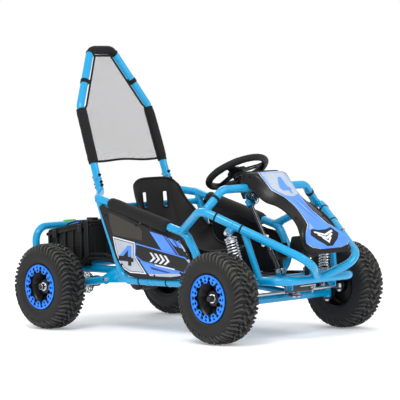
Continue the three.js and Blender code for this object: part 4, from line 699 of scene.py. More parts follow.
def copies_tree():
    """Copies of the shape, each turned a step further about an axle."""
    tree, takes, gives = shape_tree("copies about an axle", [
        ("Copies", "Int"), ("Turn Step", "Float"), ("Axle Centre", "Vector"), ("Axle Way", "Vector")])
    whole = add_node(tree, "GeometryNodeGeometryToInstance",
                     {"Geometry": takes["Geometry"]}).outputs["Instances"]
    many = add_node(tree, "GeometryNodeDuplicateElements", {"Geometry": whole, "Amount": takes["Copies"]},
                    domain="INSTANCE").outputs
    angle = maths(tree, "MULTIPLY", many["Duplicate Index"], takes["Turn Step"])
    turn = add_node(tree, "FunctionNodeAxisAngleToRotation", {"Angle": angle, "Axis": takes["Axle Way"]})
    move = add_node(tree, "GeometryNodeRotateInstances",
                    {"Instances": many["Geometry"], "Rotation": turn.outputs["Rotation"],
                     "Pivot Point": takes["Axle Centre"], "Local Space": False})
    return ending(tree, takes, gives, move.outputs["Instances"])


def set_out_tree():
    """One shape, set out on every marked point."""
    tree, takes, gives = shape_tree("shape on points", [("Shape", "Object"), ("Size", "Float")])
    source = add_node(tree, "GeometryNodeObjectInfo", {"Object": takes["Shape"]})
    put = add_node(tree, "GeometryNodeInstanceOnPoints",
                   {"Points": takes["Geometry"], "Instance": source.outputs["Geometry"],
                    "Rotation": marked_turn(tree), "Scale": takes["Size"]})
    return ending(tree, takes, gives, put.outputs["Instances"])


FASTENERS = fastener_tree()
COPIES = copies_tree()
SET_OUT = set_out_tree()


def run_tree(made, tree, material, **sizes):
    """The tree is run on the object with these inputs, and its result becomes the mesh."""
    step = made.modifiers.new(tree.name, "NODES")
    step.node_group = tree
    sockets = {item.name: item.identifier for item in tree.interface.items_tree if item.in_out == "INPUT"}
    step[sockets["Material"]] = material
    for label, value in sizes.items():
        step[sockets[label.replace("_", " ")]] = value
    return settle(made)


def marked_points(name, spots):
    """A mesh of bare points, each with the turn that brings Z onto its way, or its own rotation."""
    mesh = mesh_of(name, [spot[0] for spot in spots])
    mark = mesh.attributes.new("turn", "FLOAT_VECTOR", "POINT")
    for entry, (_, way) in zip(mark.data, spots):
        basis = way if isinstance(way, Matrix) else Vector(UP).rotation_difference(Vector(way)).to_matrix()
        entry.vector = basis.to_euler()
    made = in_scene(name, mesh)
    return made


def bolts(name, spots, like, material=STEEL, head=13, height=6, washer=18, washer_thick=1.6):
    """Hexagon heads with washers, from (place, way out) pairs, on the body of a CAD node."""
    made = marked_points(name, spots)
    run_tree(made, FASTENERS, material, Head_Width=head * MM, Head_Height=height * MM,
             Washer_Width=washer * MM, Washer_Thickness=washer_thick * MM)
    return place(made, like, stands_for=False, slot="steel")


def copied(made, count, centre, way, material):
    """The object's shape, repeated about an axle."""
    return run_tree(made, COPIES, material, Copies=count, Turn_Step=TURN / count,
                    Axle_Centre=tuple(at(*centre)), Axle_Way=tuple(way))


def set_out(name, item, spots, material):
    """The item, which lies about the scene's own origin, set out on the spots."""
    made = marked_points(name, spots)
    run_tree(made, SET_OUT, material, Shape=item, Size=1.0)
    bpy.data.objects.remove(item)
    return made


# The kart's main lines, which the tubes, the covers and the panels share

def hoop_plane(x, z):
    return 256 + 0.045 * (z - 208) - 0.022 * x


def hoop(x, z, side, out=0.0):
    return (x, side * (hoop_plane(x, z) + out), z)


def arm_z(x):
    return mixed(533, 402, (x + 262) / 492)


def post_x(z):
    return mixed(-137, -262, (z - FLOOR_Z) / 325)


def leg(z, side):
    share = (z - LEG_FOOT[2]) / (ROLL_KINK[2] - LEG_FOOT[2])
    return (mixed(LEG_FOOT[0], ROLL_KINK[0], share), side * mixed(LEG_FOOT[1], ROLL_KINK[1], share), z)


CROWN = (386, 331, 502)
NOSE_END = (775, 133, 300)
LEG_FOOT = (-338, 195, 552)
ROLL_KINK = (-459, 188, 905)
ROLL_TOP = (-532, 61, 1137)
JOINT_Z = 600
COLUMN_TOP = Vector((256, 0, 631))
COLUMN_END = Vector((500, 0, 200))
COLUMN_WAY = (COLUMN_TOP - COLUMN_END).normalized()


def sided(point, side, *more):
    return (point[0], side * point[1], point[2], *more)


def rail_ends(side):
    return Vector(sided(CROWN, side)), Vector(sided(NOSE_END, side))


def roll_line():
    return bent([leg(JOINT_Z + GAP, -1), sided(ROLL_KINK, -1, 48), sided(ROLL_TOP, -1, 48),
                 sided(ROLL_TOP, 1, 48), sided(ROLL_KINK, 1, 48), leg(JOINT_Z + GAP, 1)], 14)


def hoop_front_line(side):
    return bent([leg(JOINT_Z, side), (*leg(552, side), 27.5), (*hoop(-262, 533, side), 27.5),
                 (*hoop(230, 402, side), 70), (*hoop(352, FLOOR_Z, side), 85), hoop(6, FLOOR_Z, side)], 14)


def hoop_rear_line(side):
    return bent([hoop(5.7, FLOOR_Z, side), (*hoop(-137, FLOOR_Z, side), 55), hoop(-254, 525, side)], 14)


def rail_line(side):
    return bent([hoop(204, arm_z(204), side), sided(CROWN, side, 60), sided(NOSE_END, side, 70),
                 (686, side * 20, 237)], 14)


def dash_line():
    return bent([(390, -305, 500.4), (404, -230, 574, 50), (404, LOOP_Z, 574, 50), (390, 305, 500.4)], 14)


def mirrored_line(half):
    """A bent tube across the kart, from the corners of its left half."""
    return bent([sided(p, 1, *p[3:]) for p in half] + [sided(p, -1, *p[3:]) for p in reversed(half)], 14)


def loop_line():
    return mirrored_line([(262, 160, 212.4), (505, 158, LOOP_Z, 60), (572, 207, LOOP_Z, 60),
                          (684, 203, LOOP_Z, 62)])


def rear_line():
    return mirrored_line([(-115, 190, REAR_Z), (-590, 190, REAR_Z, 60), (-692, 250, REAR_Z, 36),
                          (-692, 250, 406, 60)])


def weld(branch_at, branch_way, branch_d, main_at, main_way, main_d, bead=4.4):
    """A rippled bead where a branch tube meets a main tube. The branch's way points off the main tube."""
    way, run = Vector(branch_way).normalized(), Vector(main_way).normalized()
    across = way.orthogonal().normalized()
    up = way.cross(across)
    line = []
    for k in range(64):
        angle = TURN * k / 64
        start = Vector(branch_at) + (across * cos(angle) + up * sin(angle)) * branch_d / 2
        offset = start - Vector(main_at)
        flat = offset - run * offset.dot(run)
        slope = way - run * way.dot(run)
        a, b = slope.dot(slope), 2 * flat.dot(slope)
        inside = max(0.0, b * b - 4 * a * (flat.dot(flat) - (main_d / 2) ** 2))
        line.append(start + way * (-b + sqrt(inside)) / (2 * a))
    shape = swept(line, ring_of(bead / 2, 6), looped=True)
    for k in range(64):
        swell = 1.0 + 0.16 * cos(pi * k)
        for i in range(6):
            shape.points[k * 6 + i] = line[k] + (shape.points[k * 6 + i] - line[k]) * swell
    return shape


def ears(eye, carrier, pin_way, width):
    """Two eared plates from a pin's ends to the tube that carries them, with the pin between."""
    eye, carrier, pin_way = Vector(eye), Vector(carrier), Vector(pin_way).normalized()
    sideways = (carrier - eye).dot(pin_way)
    foot = carrier - pin_way * sideways
    rise = (foot - eye).normalized()
    half = 8 + GAP + SHEET / 2
    shape = Shape()
    for shift in (-half, half):
        lie = facing(eye + pin_way * shift, rise, pin_way.cross(rise))
        shape.join(plate(link_outline((foot - eye).length, width), SHEET, lie, edge=0.6))
    shape.join(rod(eye - pin_way * (half + 2), eye + pin_way * (half + 2), 10))
    if abs(sideways) > SHEET:
        start = foot - pin_way * copysign(half + 2, sideways)
        run = carrier - start
        lie = facing(start + run / 2, run, rise.cross(run.normalized()))
        shape.join(plate(rounded(run.length, width, 1.0), SHEET, lie, edge=0.6))
    return shape


def shock_turn(top, foot):
    return Vector((0, 0, -1)).rotation_difference((Vector(foot) - Vector(top)).normalized())


def shock_ends(side):
    return Vector((472, side * 268, 416)), Vector((505, side * 222, 182))


REAR_SHOCK_TOP = Vector((-286, 0, 452))
REAR_SHOCK_FOOT = Vector((-336, 0, 224))


def make_side_hoops():
    for name, side in SIDES:
        front = hoop_front_line(side)
        rear = hoop_rear_line(side)
        shape = tube(front, TUBE, 24).join(tube(rear, TUBE, 24))
        shape.join(turned([(0, 16.2), (0, 17.2), (0.6, 17.6), (13.4, 17.6), (14, 17.2), (14, 16.2)],
                          hoop(-1, FLOOR_Z, side),
                          Vector(hoop(13, FLOOR_Z, side)) - Vector(hoop(-1, FLOOR_Z, side)), 28))
        arm_way = Vector(hoop(230, 402, side)) - Vector(hoop(-262, 533, side))
        shape.join(weld(rear[-1], rear[-2] - rear[-1], TUBE, hoop(-240, arm_z(-240), side), arm_way, TUBE))
        for x in FLOOR_CROSS_X:
            shape.join(weld(hoop(x, FLOOR_Z, side), (0, -side, 0), TUBE, hoop(x, FLOOR_Z, side),
                            (1, -0.022 * side, 0), TUBE))
        shape.join(weld(hoop(204, arm_z(204), side),
                        Vector(sided(CROWN, side)) - Vector(hoop(204, arm_z(204), side)), TUBE,
                        hoop(204, arm_z(204), side), arm_way, TUBE))
        piece(f"side_hoop_tube_{name}", shape, PAINT, f"side_hoop_{name}")


def make_upper_rails():
    for name, side in SIDES:
        line = rail_line(side)
        shape = tube(line, TUBE, 24)
        top, foot = shock_ends(side)
        pin_way = shock_turn(top, foot) @ Vector(LEFT)
        crown, nose = rail_ends(side)
        carrier = crown.lerp(nose, 118 / 389)
        carrier.y += side * SHEET
        shape.join(ears(top, carrier, pin_way, 26))
        piece(f"upper_rail_tube_{name}", shape, PAINT, f"upper_rail_{name}")
        spots = [(top + pin_way * 12.3 * end, pin_way * end) for end in (-1, 1)]
        bolts(f"shock_top_bolts_{name}", spots, f"upper_rail_{name}", head=13, height=7, washer=17)


def make_dash_hoop():
    line = dash_line()
    shape = tube(line, TUBE, 24)
    for _, side in SIDES:
        crown, nose = rail_ends(side)
        foot = Vector((388, side * 316, 490))
        shape.join(weld(foot, Vector((404, side * 230, 574)) - foot, TUBE, crown, nose - crown, TUBE))
    arm_start, arm_end = Vector((404, 0, 574)), column_at(510)
    run = arm_end - arm_start
    shape.join(plate(rounded(run.length, TUBE, 3), SHEET * 2, facing(arm_start + run / 2, run, LEFT),
                     edge=1.0))
    shape.join(column_collar(510))
    piece("dash_hoop_tube", shape, PAINT, "dash_hoop")


def column_at(z):
    return COLUMN_END.lerp(COLUMN_TOP, (z - COLUMN_END.z) / (COLUMN_TOP.z - COLUMN_END.z))


def column_collar(z):
    """A bush round the steering column, with a lip at each end."""
    profile = [(-12.8, 9.6), (-12.8, 17.2), (-11.8, 18), (-9.6, 18), (-8.8, 17), (8.8, 17), (9.6, 18),
               (11.8, 18), (12.8, 17.2), (12.8, 9.6)]
    return turned(profile, column_at(z), COLUMN_WAY, 28, looped=True)


def make_front_loop():
    line = loop_line()
    shape = tube(line, TUBE, 24)
    for x, reach in ((PEDAL_X, 190), (640, 207)):
        shape.join(rod((x, -reach, LOOP_Z), (x, reach, LOOP_Z), LEG_TUBE, 20))
        for side in (-1, 1):
            shape.join(weld((x, side * (reach - 30), LOOP_Z), (0, -side, 0), LEG_TUBE,
                            (x, side * reach, LOOP_Z), AHEAD, TUBE))
    for _, side in SIDES:
        foot, head = Vector((572, side * 207, LOOP_Z)), Vector((527, side * 243, 417))
        shape.join(rod(foot, head + (head - foot).normalized() * 14, LEG_TUBE, 20))
        shape.join(weld(foot, head - foot, LEG_TUBE, foot, AHEAD, TUBE, bead=5))
        crown, nose = rail_ends(side)
        shape.join(weld(head, foot - head, LEG_TUBE, crown, nose - crown, TUBE))
        lie = facing((640, side * 120, 210), AHEAD, UP)
        shape.join(plate(rounded(36, 40, 5), SHEET, lie, [circle(4.2, 14, 8, -10)], edge=0.6))
        for edge in (-14.3, 14.3):
            lie = facing((PEDAL_X, side * PEDAL_Y + edge, LOOP_Z), UP, AHEAD)
            shape.join(plate(link_outline(28, 20), SHEET, lie, edge=0.5))
        shape.join(rod((PEDAL_X, side * PEDAL_Y - 16.3, PEDAL_Z), (PEDAL_X, side * PEDAL_Y + 16.3, PEDAL_Z),
                       10))
    start, end = Vector((PEDAL_X, 0, LOOP_Z)), column_at(230)
    run = end - start
    shape.join(plate(rounded(run.length, TUBE, 3), SHEET * 2, facing(start + run / 2, run, LEFT), edge=1.0))
    shape.join(column_collar(230))
    piece("front_loop_tube", shape, PAINT, "front_loop")
    spots = [((PEDAL_X, side * (PEDAL_Y + edge), PEDAL_Z), (0, side * copysign(1, edge), 0))
             for _, side in SIDES for edge in (-16.3, 16.3)]
    bolts("pedal_pivot_bolts", spots, "front_loop", head=13, height=6, washer=17)


def make_rear_frame():
    shape = tube(rear_line(), TUBE, 24)
    for x in (-425, -612):
        shape.join(rod((x, -190, 256), (x, 190, 256), LEG_TUBE, 20))
        for side in (-1, 1):
            shape.join(weld((x, side * 160, 256), (0, -side, 0), LEG_TUBE, (x, side * 190, REAR_Z), AHEAD,
                            TUBE))
    for _, side in SIDES:
        shape.join(rod((-115, side * 190, REAR_Z), (-115, side * 190, 223), LEG_TUBE, 20))
    piece("rear_rail_tube", shape, PAINT, "rear_frame")


def make_roll_bar():
    shape = tube(roll_line(), TUBE, 24)
    for _, side in SIDES:
        way = Vector(leg(640, side)) - Vector(leg(600, side))
        low, high = Vector(leg(552, side)), Vector(leg(599, side))
        shape.join(rod(low.lerp(high, 0.1), high, 25.2, 20))
        shape.join(turned([(0, 16.2), (0, 17.4), (0.8, 18), (7.2, 18), (8, 17.4), (8, 16.2)], leg(602, side),
                          way, 28))
    piece("roll_bar_tube", shape, PAINT, "roll_bar")
    spots = []
    for _, side in SIDES:
        for z in (577, 590, 618):
            for end in (-1, 1):
                point = Vector(leg(z, side))
                spots.append((point + Vector((16.2 * end, 0, 4.7 * end)), Vector((end, 0, 0.3 * end))))
    bolts("roll_bar_joint_bolts", spots, "side_hoop_right", BLACK_STEEL, head=10, height=6, washer=13)


def smooth_tree():
    """Loose triangles are joined and shaded round, with the sharp edges kept."""
    tree, takes, gives = new_tree("GeometryNodeTree", "round shading",
                                  [("Geometry", "Geometry"), ("Sharp Above", "Float")],
                                  [("Geometry", "Geometry")])
    merge = add_node(tree, "GeometryNodeMergeByDistance", {"Geometry": takes["Geometry"],
                                                           "Distance": 0.00001})
    every = add_node(tree, "GeometryNodeSetShadeSmooth", {"Geometry": merge.outputs["Geometry"]})
    angle = tree.nodes.new("GeometryNodeInputMeshEdgeAngle").outputs["Unsigned Angle"]
    below = add_node(tree, "FunctionNodeCompare", {"A": angle, "B": takes["Sharp Above"]},
                     operation="LESS_THAN")
    edges = add_node(tree, "GeometryNodeSetShadeSmooth",
                     {"Geometry": every.outputs["Geometry"], "Shade Smooth": below.outputs["Result"]},
                     domain="EDGE")
    wire(tree, edges.outputs["Geometry"], gives["Geometry"])
    return tree


def dress_cad():
    """Every CAD solid that stays in view gets its finish and round shading."""
    finishes = {"frame_paint": PAINT, "black_paint": BLACK_PAINT, "black_plastic": PLASTIC,
                "foam_cover": FOAM, "net_cord": WEBBING, "tyre_rubber": RUBBER, "blue_ring": RING,
                "steel": STEEL, "spring_steel": CHROME}
    tree = smooth_tree()
    sharp = next(item.identifier for item in tree.interface.items_tree if item.name == "Sharp Above")
    for name in frame["nodes"]:
        node = bpy.data.objects[name]
        node.data.materials.clear()
        node.data.materials.append(finishes[SLOT_OF[name]])
        if not node.hide_render:
            step = node.modifiers.new("round shading", "NODES")
            step.node_group = tree
            step[sharp] = radians(40)


# Wheels: tyre with moulded lugs, dished rim, scalloped bead ring

CARCASS = ((0, 163.6), (15, 163.4), (30, 162.2), (43, 158.6), (53, 151), (59, 140), (61, 125), (60, 112),
           (58.4, 104), (58, 99.6), (55, 97.4), (52, 94.6), (50.4, 92.7))
LINER = ((47, 92.7), (47, 99), (52, 112), (52.5, 126), (49, 142), (38, 151), (20, 155), (0, 156))


def smooth_line(points):
    """A smooth line through flat points."""
    line = []
    for k in range(len(points) - 1):
        a, b = points[max(k - 1, 0)], points[k]
        c, d = points[k + 1], points[min(k + 2, len(points) - 1)]
        for t in (0, 1 / 3, 2 / 3):
            line.append(tuple(0.5 * (2 * b[i] + (c[i] - a[i]) * t
                                     + (2 * a[i] - 5 * b[i] + 4 * c[i] - d[i]) * t * t
                                     + (3 * b[i] - a[i] - 3 * c[i] + d[i]) * t ** 3) for i in (0, 1)))
    line.append(tuple(points[-1]))
    return line


HALF_SECTION = smooth_line(CARCASS)


def on_carcass(u):
    """The section's point, and the way out of it, at u millimetres from the crown."""
    sign = copysign(1, u)
    left = abs(u)
    for a, b in zip(HALF_SECTION, HALF_SECTION[1:]):
        step = dist(a, b)
        if left <= step or b is HALF_SECTION[-1]:
            share = left / step
            out = Vector((b[1] - a[1], a[0] - b[0])).normalized() * -1
            return sign * mixed(a[0], b[0], share), mixed(a[1], b[1], share), sign * out.x, out.y
        left -= step


def lug(stations, pitch_turn):
    """A raised bar on the carcass: each station is (u, millimetres round the tyre, half width, height)."""
    shape = Shape()
    for u, along, half, height in stations:
        y, r, out_y, out_r = on_carcass(u)
        for edge, lift, share in ((-1, -1.5, 1.15), (1, -1.5, 1.15), (1, height, 0.82), (-1, height, 0.82)):
            angle = pitch_turn + (along + edge * half * share) / 170
            reach = r + out_r * lift
            shape.points.append(Vector((reach * cos(angle), y + out_y * lift, reach * sin(angle))))
    shape.faces = ring_faces(len(stations), 4, False)
    return shape


PITCHES = 26
CENTRE_BAR = ((3, -10, 3.2, 10.6), (11, -4, 4.4, 11.2), (19, 4, 4.4, 11.2), (26, 12, 2.8, 10.8))
SHOULDER_BAR = ((26, 3, 2.6, 10.4), (34, 9, 4.4, 10.8), (44, 9, 4.8, 10), (55, 1, 4.4, 8.4),
                (63, -6, 3.4, 5.4), (68, -10, 2.2, 1.6))
SHORT_BAR = ((37, 27, 2.6, 10.4), (46, 26, 3.8, 9.8), (55, 19, 3.6, 7.6), (62, 12, 2.4, 3.0))
CENTRE_KNOB = ((-9, 13, 3.4, 10.8), (0, 18.5, 4.6, 11.2), (9, 24, 3.4, 10.8))
HOOK = ((15, 19, 2.6, 10.4), (23, 24, 3.4, 10.8), (30, 27, 2.4, 10.2))


def one_pitch():
    step = TURN / PITCHES
    shape = Shape()
    for side, shift in ((1, 0.0), (-1, 0.5)):
        for bar in (CENTRE_BAR, SHOULDER_BAR, SHORT_BAR, HOOK):
            shape.join(lug([(side * u, s, half, high) for u, s, half, high in bar], shift * step))
    shape.join(lug(CENTRE_KNOB, 0.0))
    return shape


def merged(name, first, second):
    """Two mesh objects as one, with the finish of each."""
    finishes = list(dict.fromkeys([first.data.materials[0], second.data.materials[0]]))
    tool = bmesh.new()
    tool.from_mesh(first.data)
    count = len(tool.faces)
    tool.from_mesh(second.data)
    tool.faces.ensure_lookup_table()
    for face in tool.faces:
        face.material_index = len(finishes) - 1 if face.index >= count else 0
    mesh = bpy.data.meshes.new(name)
    tool.to_mesh(mesh)
    tool.free()
    for material in finishes:
        mesh.materials.append(material)
    made = in_scene(name, mesh)
    bpy.data.objects.remove(first)
    bpy.data.objects.remove(second)
    return made


def wheel_frame(x, side):
    """From the wheel's own frame, outer face towards +Y, to the kart's."""
    turn = Matrix.Diagonal((1, side, 1, 1))
    return Matrix.Translation((x, side * HALF_TRACK, AXLE_Z)) @ turn


def make_tyre(node, x, side):
    section = [(-y, r) for y, r in reversed(HALF_SECTION[1:])] + HALF_SECTION
    liner = smooth_line(LINER)
    inside = liner[:-1] + [(-y, r) for y, r in reversed(liner)]
    carcass = turned(section + inside, way=LEFT, sides=104, looped=True)
    skin = loose(f"{node}_skin", carcass.moved(wheel_frame(x, side)), RUBBER, angle=50)
    # The lugs take the lighter rubber, a painted highlight on the raised bars.
    bars = loose(f"{node}_bars", one_pitch().moved(wheel_frame(x, side)), PAINTED_HIGHLIGHT_LUG_RUBBER, angle=30)
    copied(bars, PITCHES, (x, side * HALF_TRACK, AXLE_Z), LEFT, PAINTED_HIGHLIGHT_LUG_RUBBER)
    made = merged(f"{node}_with_lugs", skin, bars)
    place(made, node)


def make_rim(node, x, side):
    outer = 92.0
    section = [(-52, outer - 1), (-52, outer), (-49, outer), (-46, 89), (-40, 87.4), (40, 87.4), (46, 89),
               (49, outer), (52, outer), (52, outer - 2), (46, 84), (30, 82), (24, 79), (17, 70), (14, 58),
               (13, 44), (16, 36), (22, 31), (29, 29), (30, 27), (30, 14), (-30, 14), (-30, 27), (-28, 29),
               (-8, 32), (-2, 44), (0, 60), (3, 74), (-4, 82), (-46, 84), (-50, 88)]
    shape = turned(section, way=LEFT, sides=72, looped=True)
    made = loose(f"{node}_dish", shape.moved(wheel_frame(x, side)), BLACK_PAINT, angle=32)
    rib = Shape()
    for run, half, low, high in ((29, 5.5, 12, 27), (44, 4.6, 11, 19.5), (60, 4.2, 12, 18), (74, 5.0, 15, 22),
                                 (83.5, 6.5, 20, 30)):
        rib.points += [Vector((run, low, -half)), Vector((run, low, half)), Vector((run, high, half * 0.55)),
                       Vector((run, high, -half * 0.55))]
    rib.faces = ring_faces(5, 4, False)
    spokes = loose(f"{node}_spokes", rib.moved(wheel_frame(x, side)), BLACK_PAINT, angle=30)
    copied(spokes, 6, (x, side * HALF_TRACK, AXLE_Z), LEFT, BLACK_PAINT)
    place(merged(f"{node}_dished", made, spokes), node)
    valve_way = Vector((0.55, 0.5 * side, 0.62)).normalized()
    base = Vector((x, side * (HALF_TRACK + 36), AXLE_Z)) + Vector((0.66, 0, 0.75)).normalized() * 81
    stem = turned([(0, 4.6), (3, 4.4), (4, 3.2), (22, 3.0), (22.2, 3.8), (33, 3.8), (34, 3.0)], base,
                  valve_way, 16)
    extra(f"{node}_valve", stem, DARK_STEEL, node, slot="steel")


LOBES = 11


def make_bead_ring(node, x, side):
    step = TURN / LOBES
    inner = []
    for k in range(LOBES):
        for degrees, radius in ((-16.3, 70.4), (-11.6, 70), (-9.4, 66), (-8.4, 61.8), (-6.6, 60),
                                (-2.5, 59.4), (2.5, 59.4), (6.6, 60), (8.4, 61.8), (9.4, 66), (11.6, 70)):
            angle = k * step + radians(degrees)
            inner.append((radius * cos(angle), radius * sin(angle)))
    holes = [inner]
    for k in range(LOBES):
        angle = k * step
        holes.append(circle(5.7, 14, 67.6 * cos(angle), 67.6 * sin(angle)))
        for shift, size in ((-0.5, (12.8, 8.6)), (0.0, (9.4, 7.4))):
            turn = angle + shift * step
            middle = 78.8 if shift else 80.2
            holes.append([(middle * cos(turn) + b * cos(turn) - a * sin(turn),
                           middle * sin(turn) + b * sin(turn) + a * cos(turn))
                          for a, b in rounded(size[0], size[1], 1.8, 3)])
    lie = Matrix.Translation((0, 55.4, 0)) @ Matrix.Rotation(-pi / 2, 4, "X")
    shape = plate(circle(89, 88), 3.6, lie, holes, edge=0.6)
    shape.join(turned([(52.4, 85.6), (52.4, 90.2), (55.6, 91), (57, 90.4), (58.2, 88), (58.2, 86.4),
                       (56, 85.6)],
                      way=LEFT, sides=88, looped=True))
    piece(f"{node}_scalloped", shape.moved(wheel_frame(x, side)), RING, node, angle=32)
    spots = []
    for k in range(LOBES):
        angle = (k + 0.5) * step
        spots.append((Vector((x + 65.8 * 1.12 * cos(angle), side * (HALF_TRACK + 58.2), AXLE_Z
                              + 65.8 * 1.12 * sin(angle))), Vector((0, side, 0))))
    bolts(f"{node}_bolts", spots, node, BLACK_STEEL, head=5, height=2.6, washer=6.4, washer_thick=0.6)


def make_axle_nut(name, x, side, like):
    """The bright washer, the dark nut and the thread end on a spindle."""
    start = (x, side * (HALF_TRACK + 30.2), AXLE_Z)
    way = (0, side, 0)
    washer = turned([(0, 11), (0, 17.6), (3.4, 17.6), (4.2, 16.8), (4.2, 11)], start, way, 40, looped=True)
    extra(name, washer, CHROME, like, angle=28, slot="steel")
    nut = turned([(4.2, 11.6), (4.2, 12.6), (5.4, 13.8), (15, 13.8), (16.6, 12.2), (16.6, 8)], start, way, 6)
    dome = turned([(16.4, 10.4), (20.4, 10.4), (21.2, 9.6), (21.2, 1)], start, way, 28)
    extra(f"{name}_hexagon", nut.join(dome), DARK_STEEL, like, angle=28, slot="steel")


def make_wheels():
    for end, x in (("front", FRONT_X), ("rear", REAR_X)):
        for name, side in SIDES:
            make_tyre(f"{end}_{name}_tyre", x, side)
            make_rim(f"{end}_{name}_rim", x, side)
            make_bead_ring(f"{end}_{name}_bead_ring", x, side)
            like = f"knuckle_{name}" if end == "front" else "rear_axle"
            make_axle_nut(f"{end}_{name}_axle_nut", x, side, like)


# Foam pads, the top sleeve and the net

def spread_over(line, spacing):
    """Points at even steps along a line, ends kept."""
    lengths = [0.0]
    for a, b in zip(line, line[1:]):
        lengths.append(lengths[-1] + (b - a).length)
    count = max(2, round(lengths[-1] / spacing))
    points = []
    k = 0
    for i in range(count + 1):
        want = lengths[-1] * i / count
        while k < len(line) - 2 and lengths[k + 1] < want:
            k += 1
        points.append(line[k].lerp(line[k + 1], (want - lengths[k]) / (lengths[k + 1] - lengths[k])))
    return points


SLEEVE_SIDES = 36
AIR_PRESSURE = 3.0
STITCH_PITCH = 5.0


def sleeve_shape(line, bore, outer):
    """A padded sleeve round a tube: full in the middle, drawn in at its two hems and along its seam."""
    points = spread_over(line, 5.5)
    ways = directions(points)
    across = ways[0].cross(Vector(LEFT)).normalized()
    shape = Shape()
    rings = []
    total = (len(points) - 1) * 5.5
    for k, (point, way) in enumerate(zip(points, ways)):
        if k:
            across = ways[k - 1].rotation_difference(way) @ across
        up = way.cross(across)
        from_end = min(k, len(points) - 1 - k) * total / (len(points) - 1)
        full = min(1.0, from_end / 14) ** 0.5
        hem = 1.2 if 8 < from_end < 14 else 0.0
        ring = []
        for i in range(SLEEVE_SIDES):
            angle = TURN * i / SLEEVE_SIDES
            nick = 2.2 * exp(-((angle - pi) / 0.09) ** 2)
            radius = mixed(bore + 2.4, outer, full) - hem - nick
            ring.append(point + (across * cos(angle) + up * sin(angle)) * radius)
        rings.append(ring)
    inner = []
    for point, way, ring in zip(points, ways, rings):
        inner.append([point + (p - point).normalized() * bore for p in ring])
    for ring in rings + list(reversed(inner)):
        shape.points += ring
    shape.faces = ring_faces(len(rings) * 2, SLEEVE_SIDES, True)
    return shape, len(rings) * SLEEVE_SIDES


def fill_with_air(made, held, cap):
    """The cover is blown up a little as cloth, with its bore held, and no point moves past the cap."""
    before = [v.co.copy() for v in made.data.vertices]
    group = made.vertex_groups.new(name="held")
    group.add(list(held), 1.0, "REPLACE")
    step = made.modifiers.new("cloth", "CLOTH")
    settings = step.settings
    for label, value in {"vertex_group_mass": "held", "quality": 6, "mass": 0.25, "tension_stiffness": 12,
                         "compression_stiffness": 12, "bending_stiffness": 0.4, "use_pressure": True,
                         "uniform_pressure_force": AIR_PRESSURE, "shrink_min": -0.035}.items():
        setattr(settings, label, value)
    settings.effector_weights.gravity = 0
    step.collision_settings.use_collision = False
    scene = bpy.context.scene
    for number in range(1, 19):
        scene.frame_set(number)
    moved = evaluated(made).to_mesh()
    places = [v.co.copy() for v in moved.vertices]
    made.modifiers.remove(step)
    made.vertex_groups.clear()
    scene.frame_set(1)
    for vertex, old, new in zip(made.data.vertices, before, places):
        shift = new - old
        if shift.length > cap * MM:
            shift *= cap * MM / shift.length
        vertex.co = old + shift


def make_sleeve(name, line, bore, outer, like, cap=1.6):
    shape, outer_count = sleeve_shape(line, bore, outer)
    made = loose(name, shape, FOAM, angle=70)
    fill_with_air(made, range(outer_count, len(shape.points)), cap)
    finer = made.modifiers.new("finer", "SUBSURF")
    finer.levels = 1
    finer.render_levels = 1
    settle(made, 70)
    place(made, like)


def stitch_item():
    """One stitch, about the scene's own origin, lying along Z."""
    shape = turned([(-1.5, 0.15), (-1.2, 0.42), (1.2, 0.42), (1.5, 0.15)], sides=6)
    return loose("stitch", shape.shifted(-SHIFT, 0, 0), WEBBING)


def stitched(name, line, like):
    """A row of stitches along a line."""
    points = spread_over(line, STITCH_PITCH)
    spots = [((a + b) / 2, (b - a).normalized()) for a, b in zip(points, points[1:])]
    made = set_out(name, stitch_item(), spots, WEBBING)
    return place(made, like, stands_for=False, slot="net_cord")


def leg_side_line(side, low, high, out_y, out_x):
    """A line beside a roll bar leg, moved out from its middle."""
    return [Vector(leg(mixed(low, high, k / 20), side)) + Vector((out_x, side * out_y, 0)) for k in range(21)]


def make_pads():
    for name, side in SIDES:
        low, high = Vector(leg(669, side)), Vector(leg(894, side))
        make_sleeve(f"roll_bar_pad_cover_{name}", [low, high], 16.4, 20.6, f"roll_bar_pad_{name}")
        stitched(f"roll_bar_pad_stitches_{name}", leg_side_line(side, 676, 888, -8, 19.6),
                 f"roll_bar_pad_{name}")
        rear, front = Vector(hoop(-190, arm_z(-190), side)), Vector(hoop(140, arm_z(140), side))
        make_sleeve(f"armrest_pad_cover_{name}", [rear, front], 16.4, 25.4, f"armrest_pad_{name}", cap=1.2)


def make_top_sleeve():
    """The sleeve over the top of the roll bar, wrapped round both bends."""
    line = roll_line()
    start = next(k for k, p in enumerate(line) if p.z > mixed(905, 1137, 0.925) and p.y < 0)
    ends = [sided(ROLL_KINK, -1), sided(ROLL_TOP, -1)]
    first = Vector(ends[0]).lerp(Vector(ends[1]), 0.925)
    inner = [p for p in line[start:] if p.z > first.z]
    whole = [first] + inner + [Vector((first.x, -first.y, first.z))]
    make_sleeve("roll_bar_top_cover", whole, 16.3, 18.6, "roll_bar_top_sleeve")


NET_LOW = 676
NET_HIGH = 1117
NET_THICK = 0.6


def net_edge(z):
    if z < ROLL_KINK[2]:
        return leg(z, 1)[1] - 21.6
    return mixed(ROLL_KINK[1], ROLL_TOP[1], (z - ROLL_KINK[2]) / (ROLL_TOP[2] - ROLL_KINK[2])) - 31


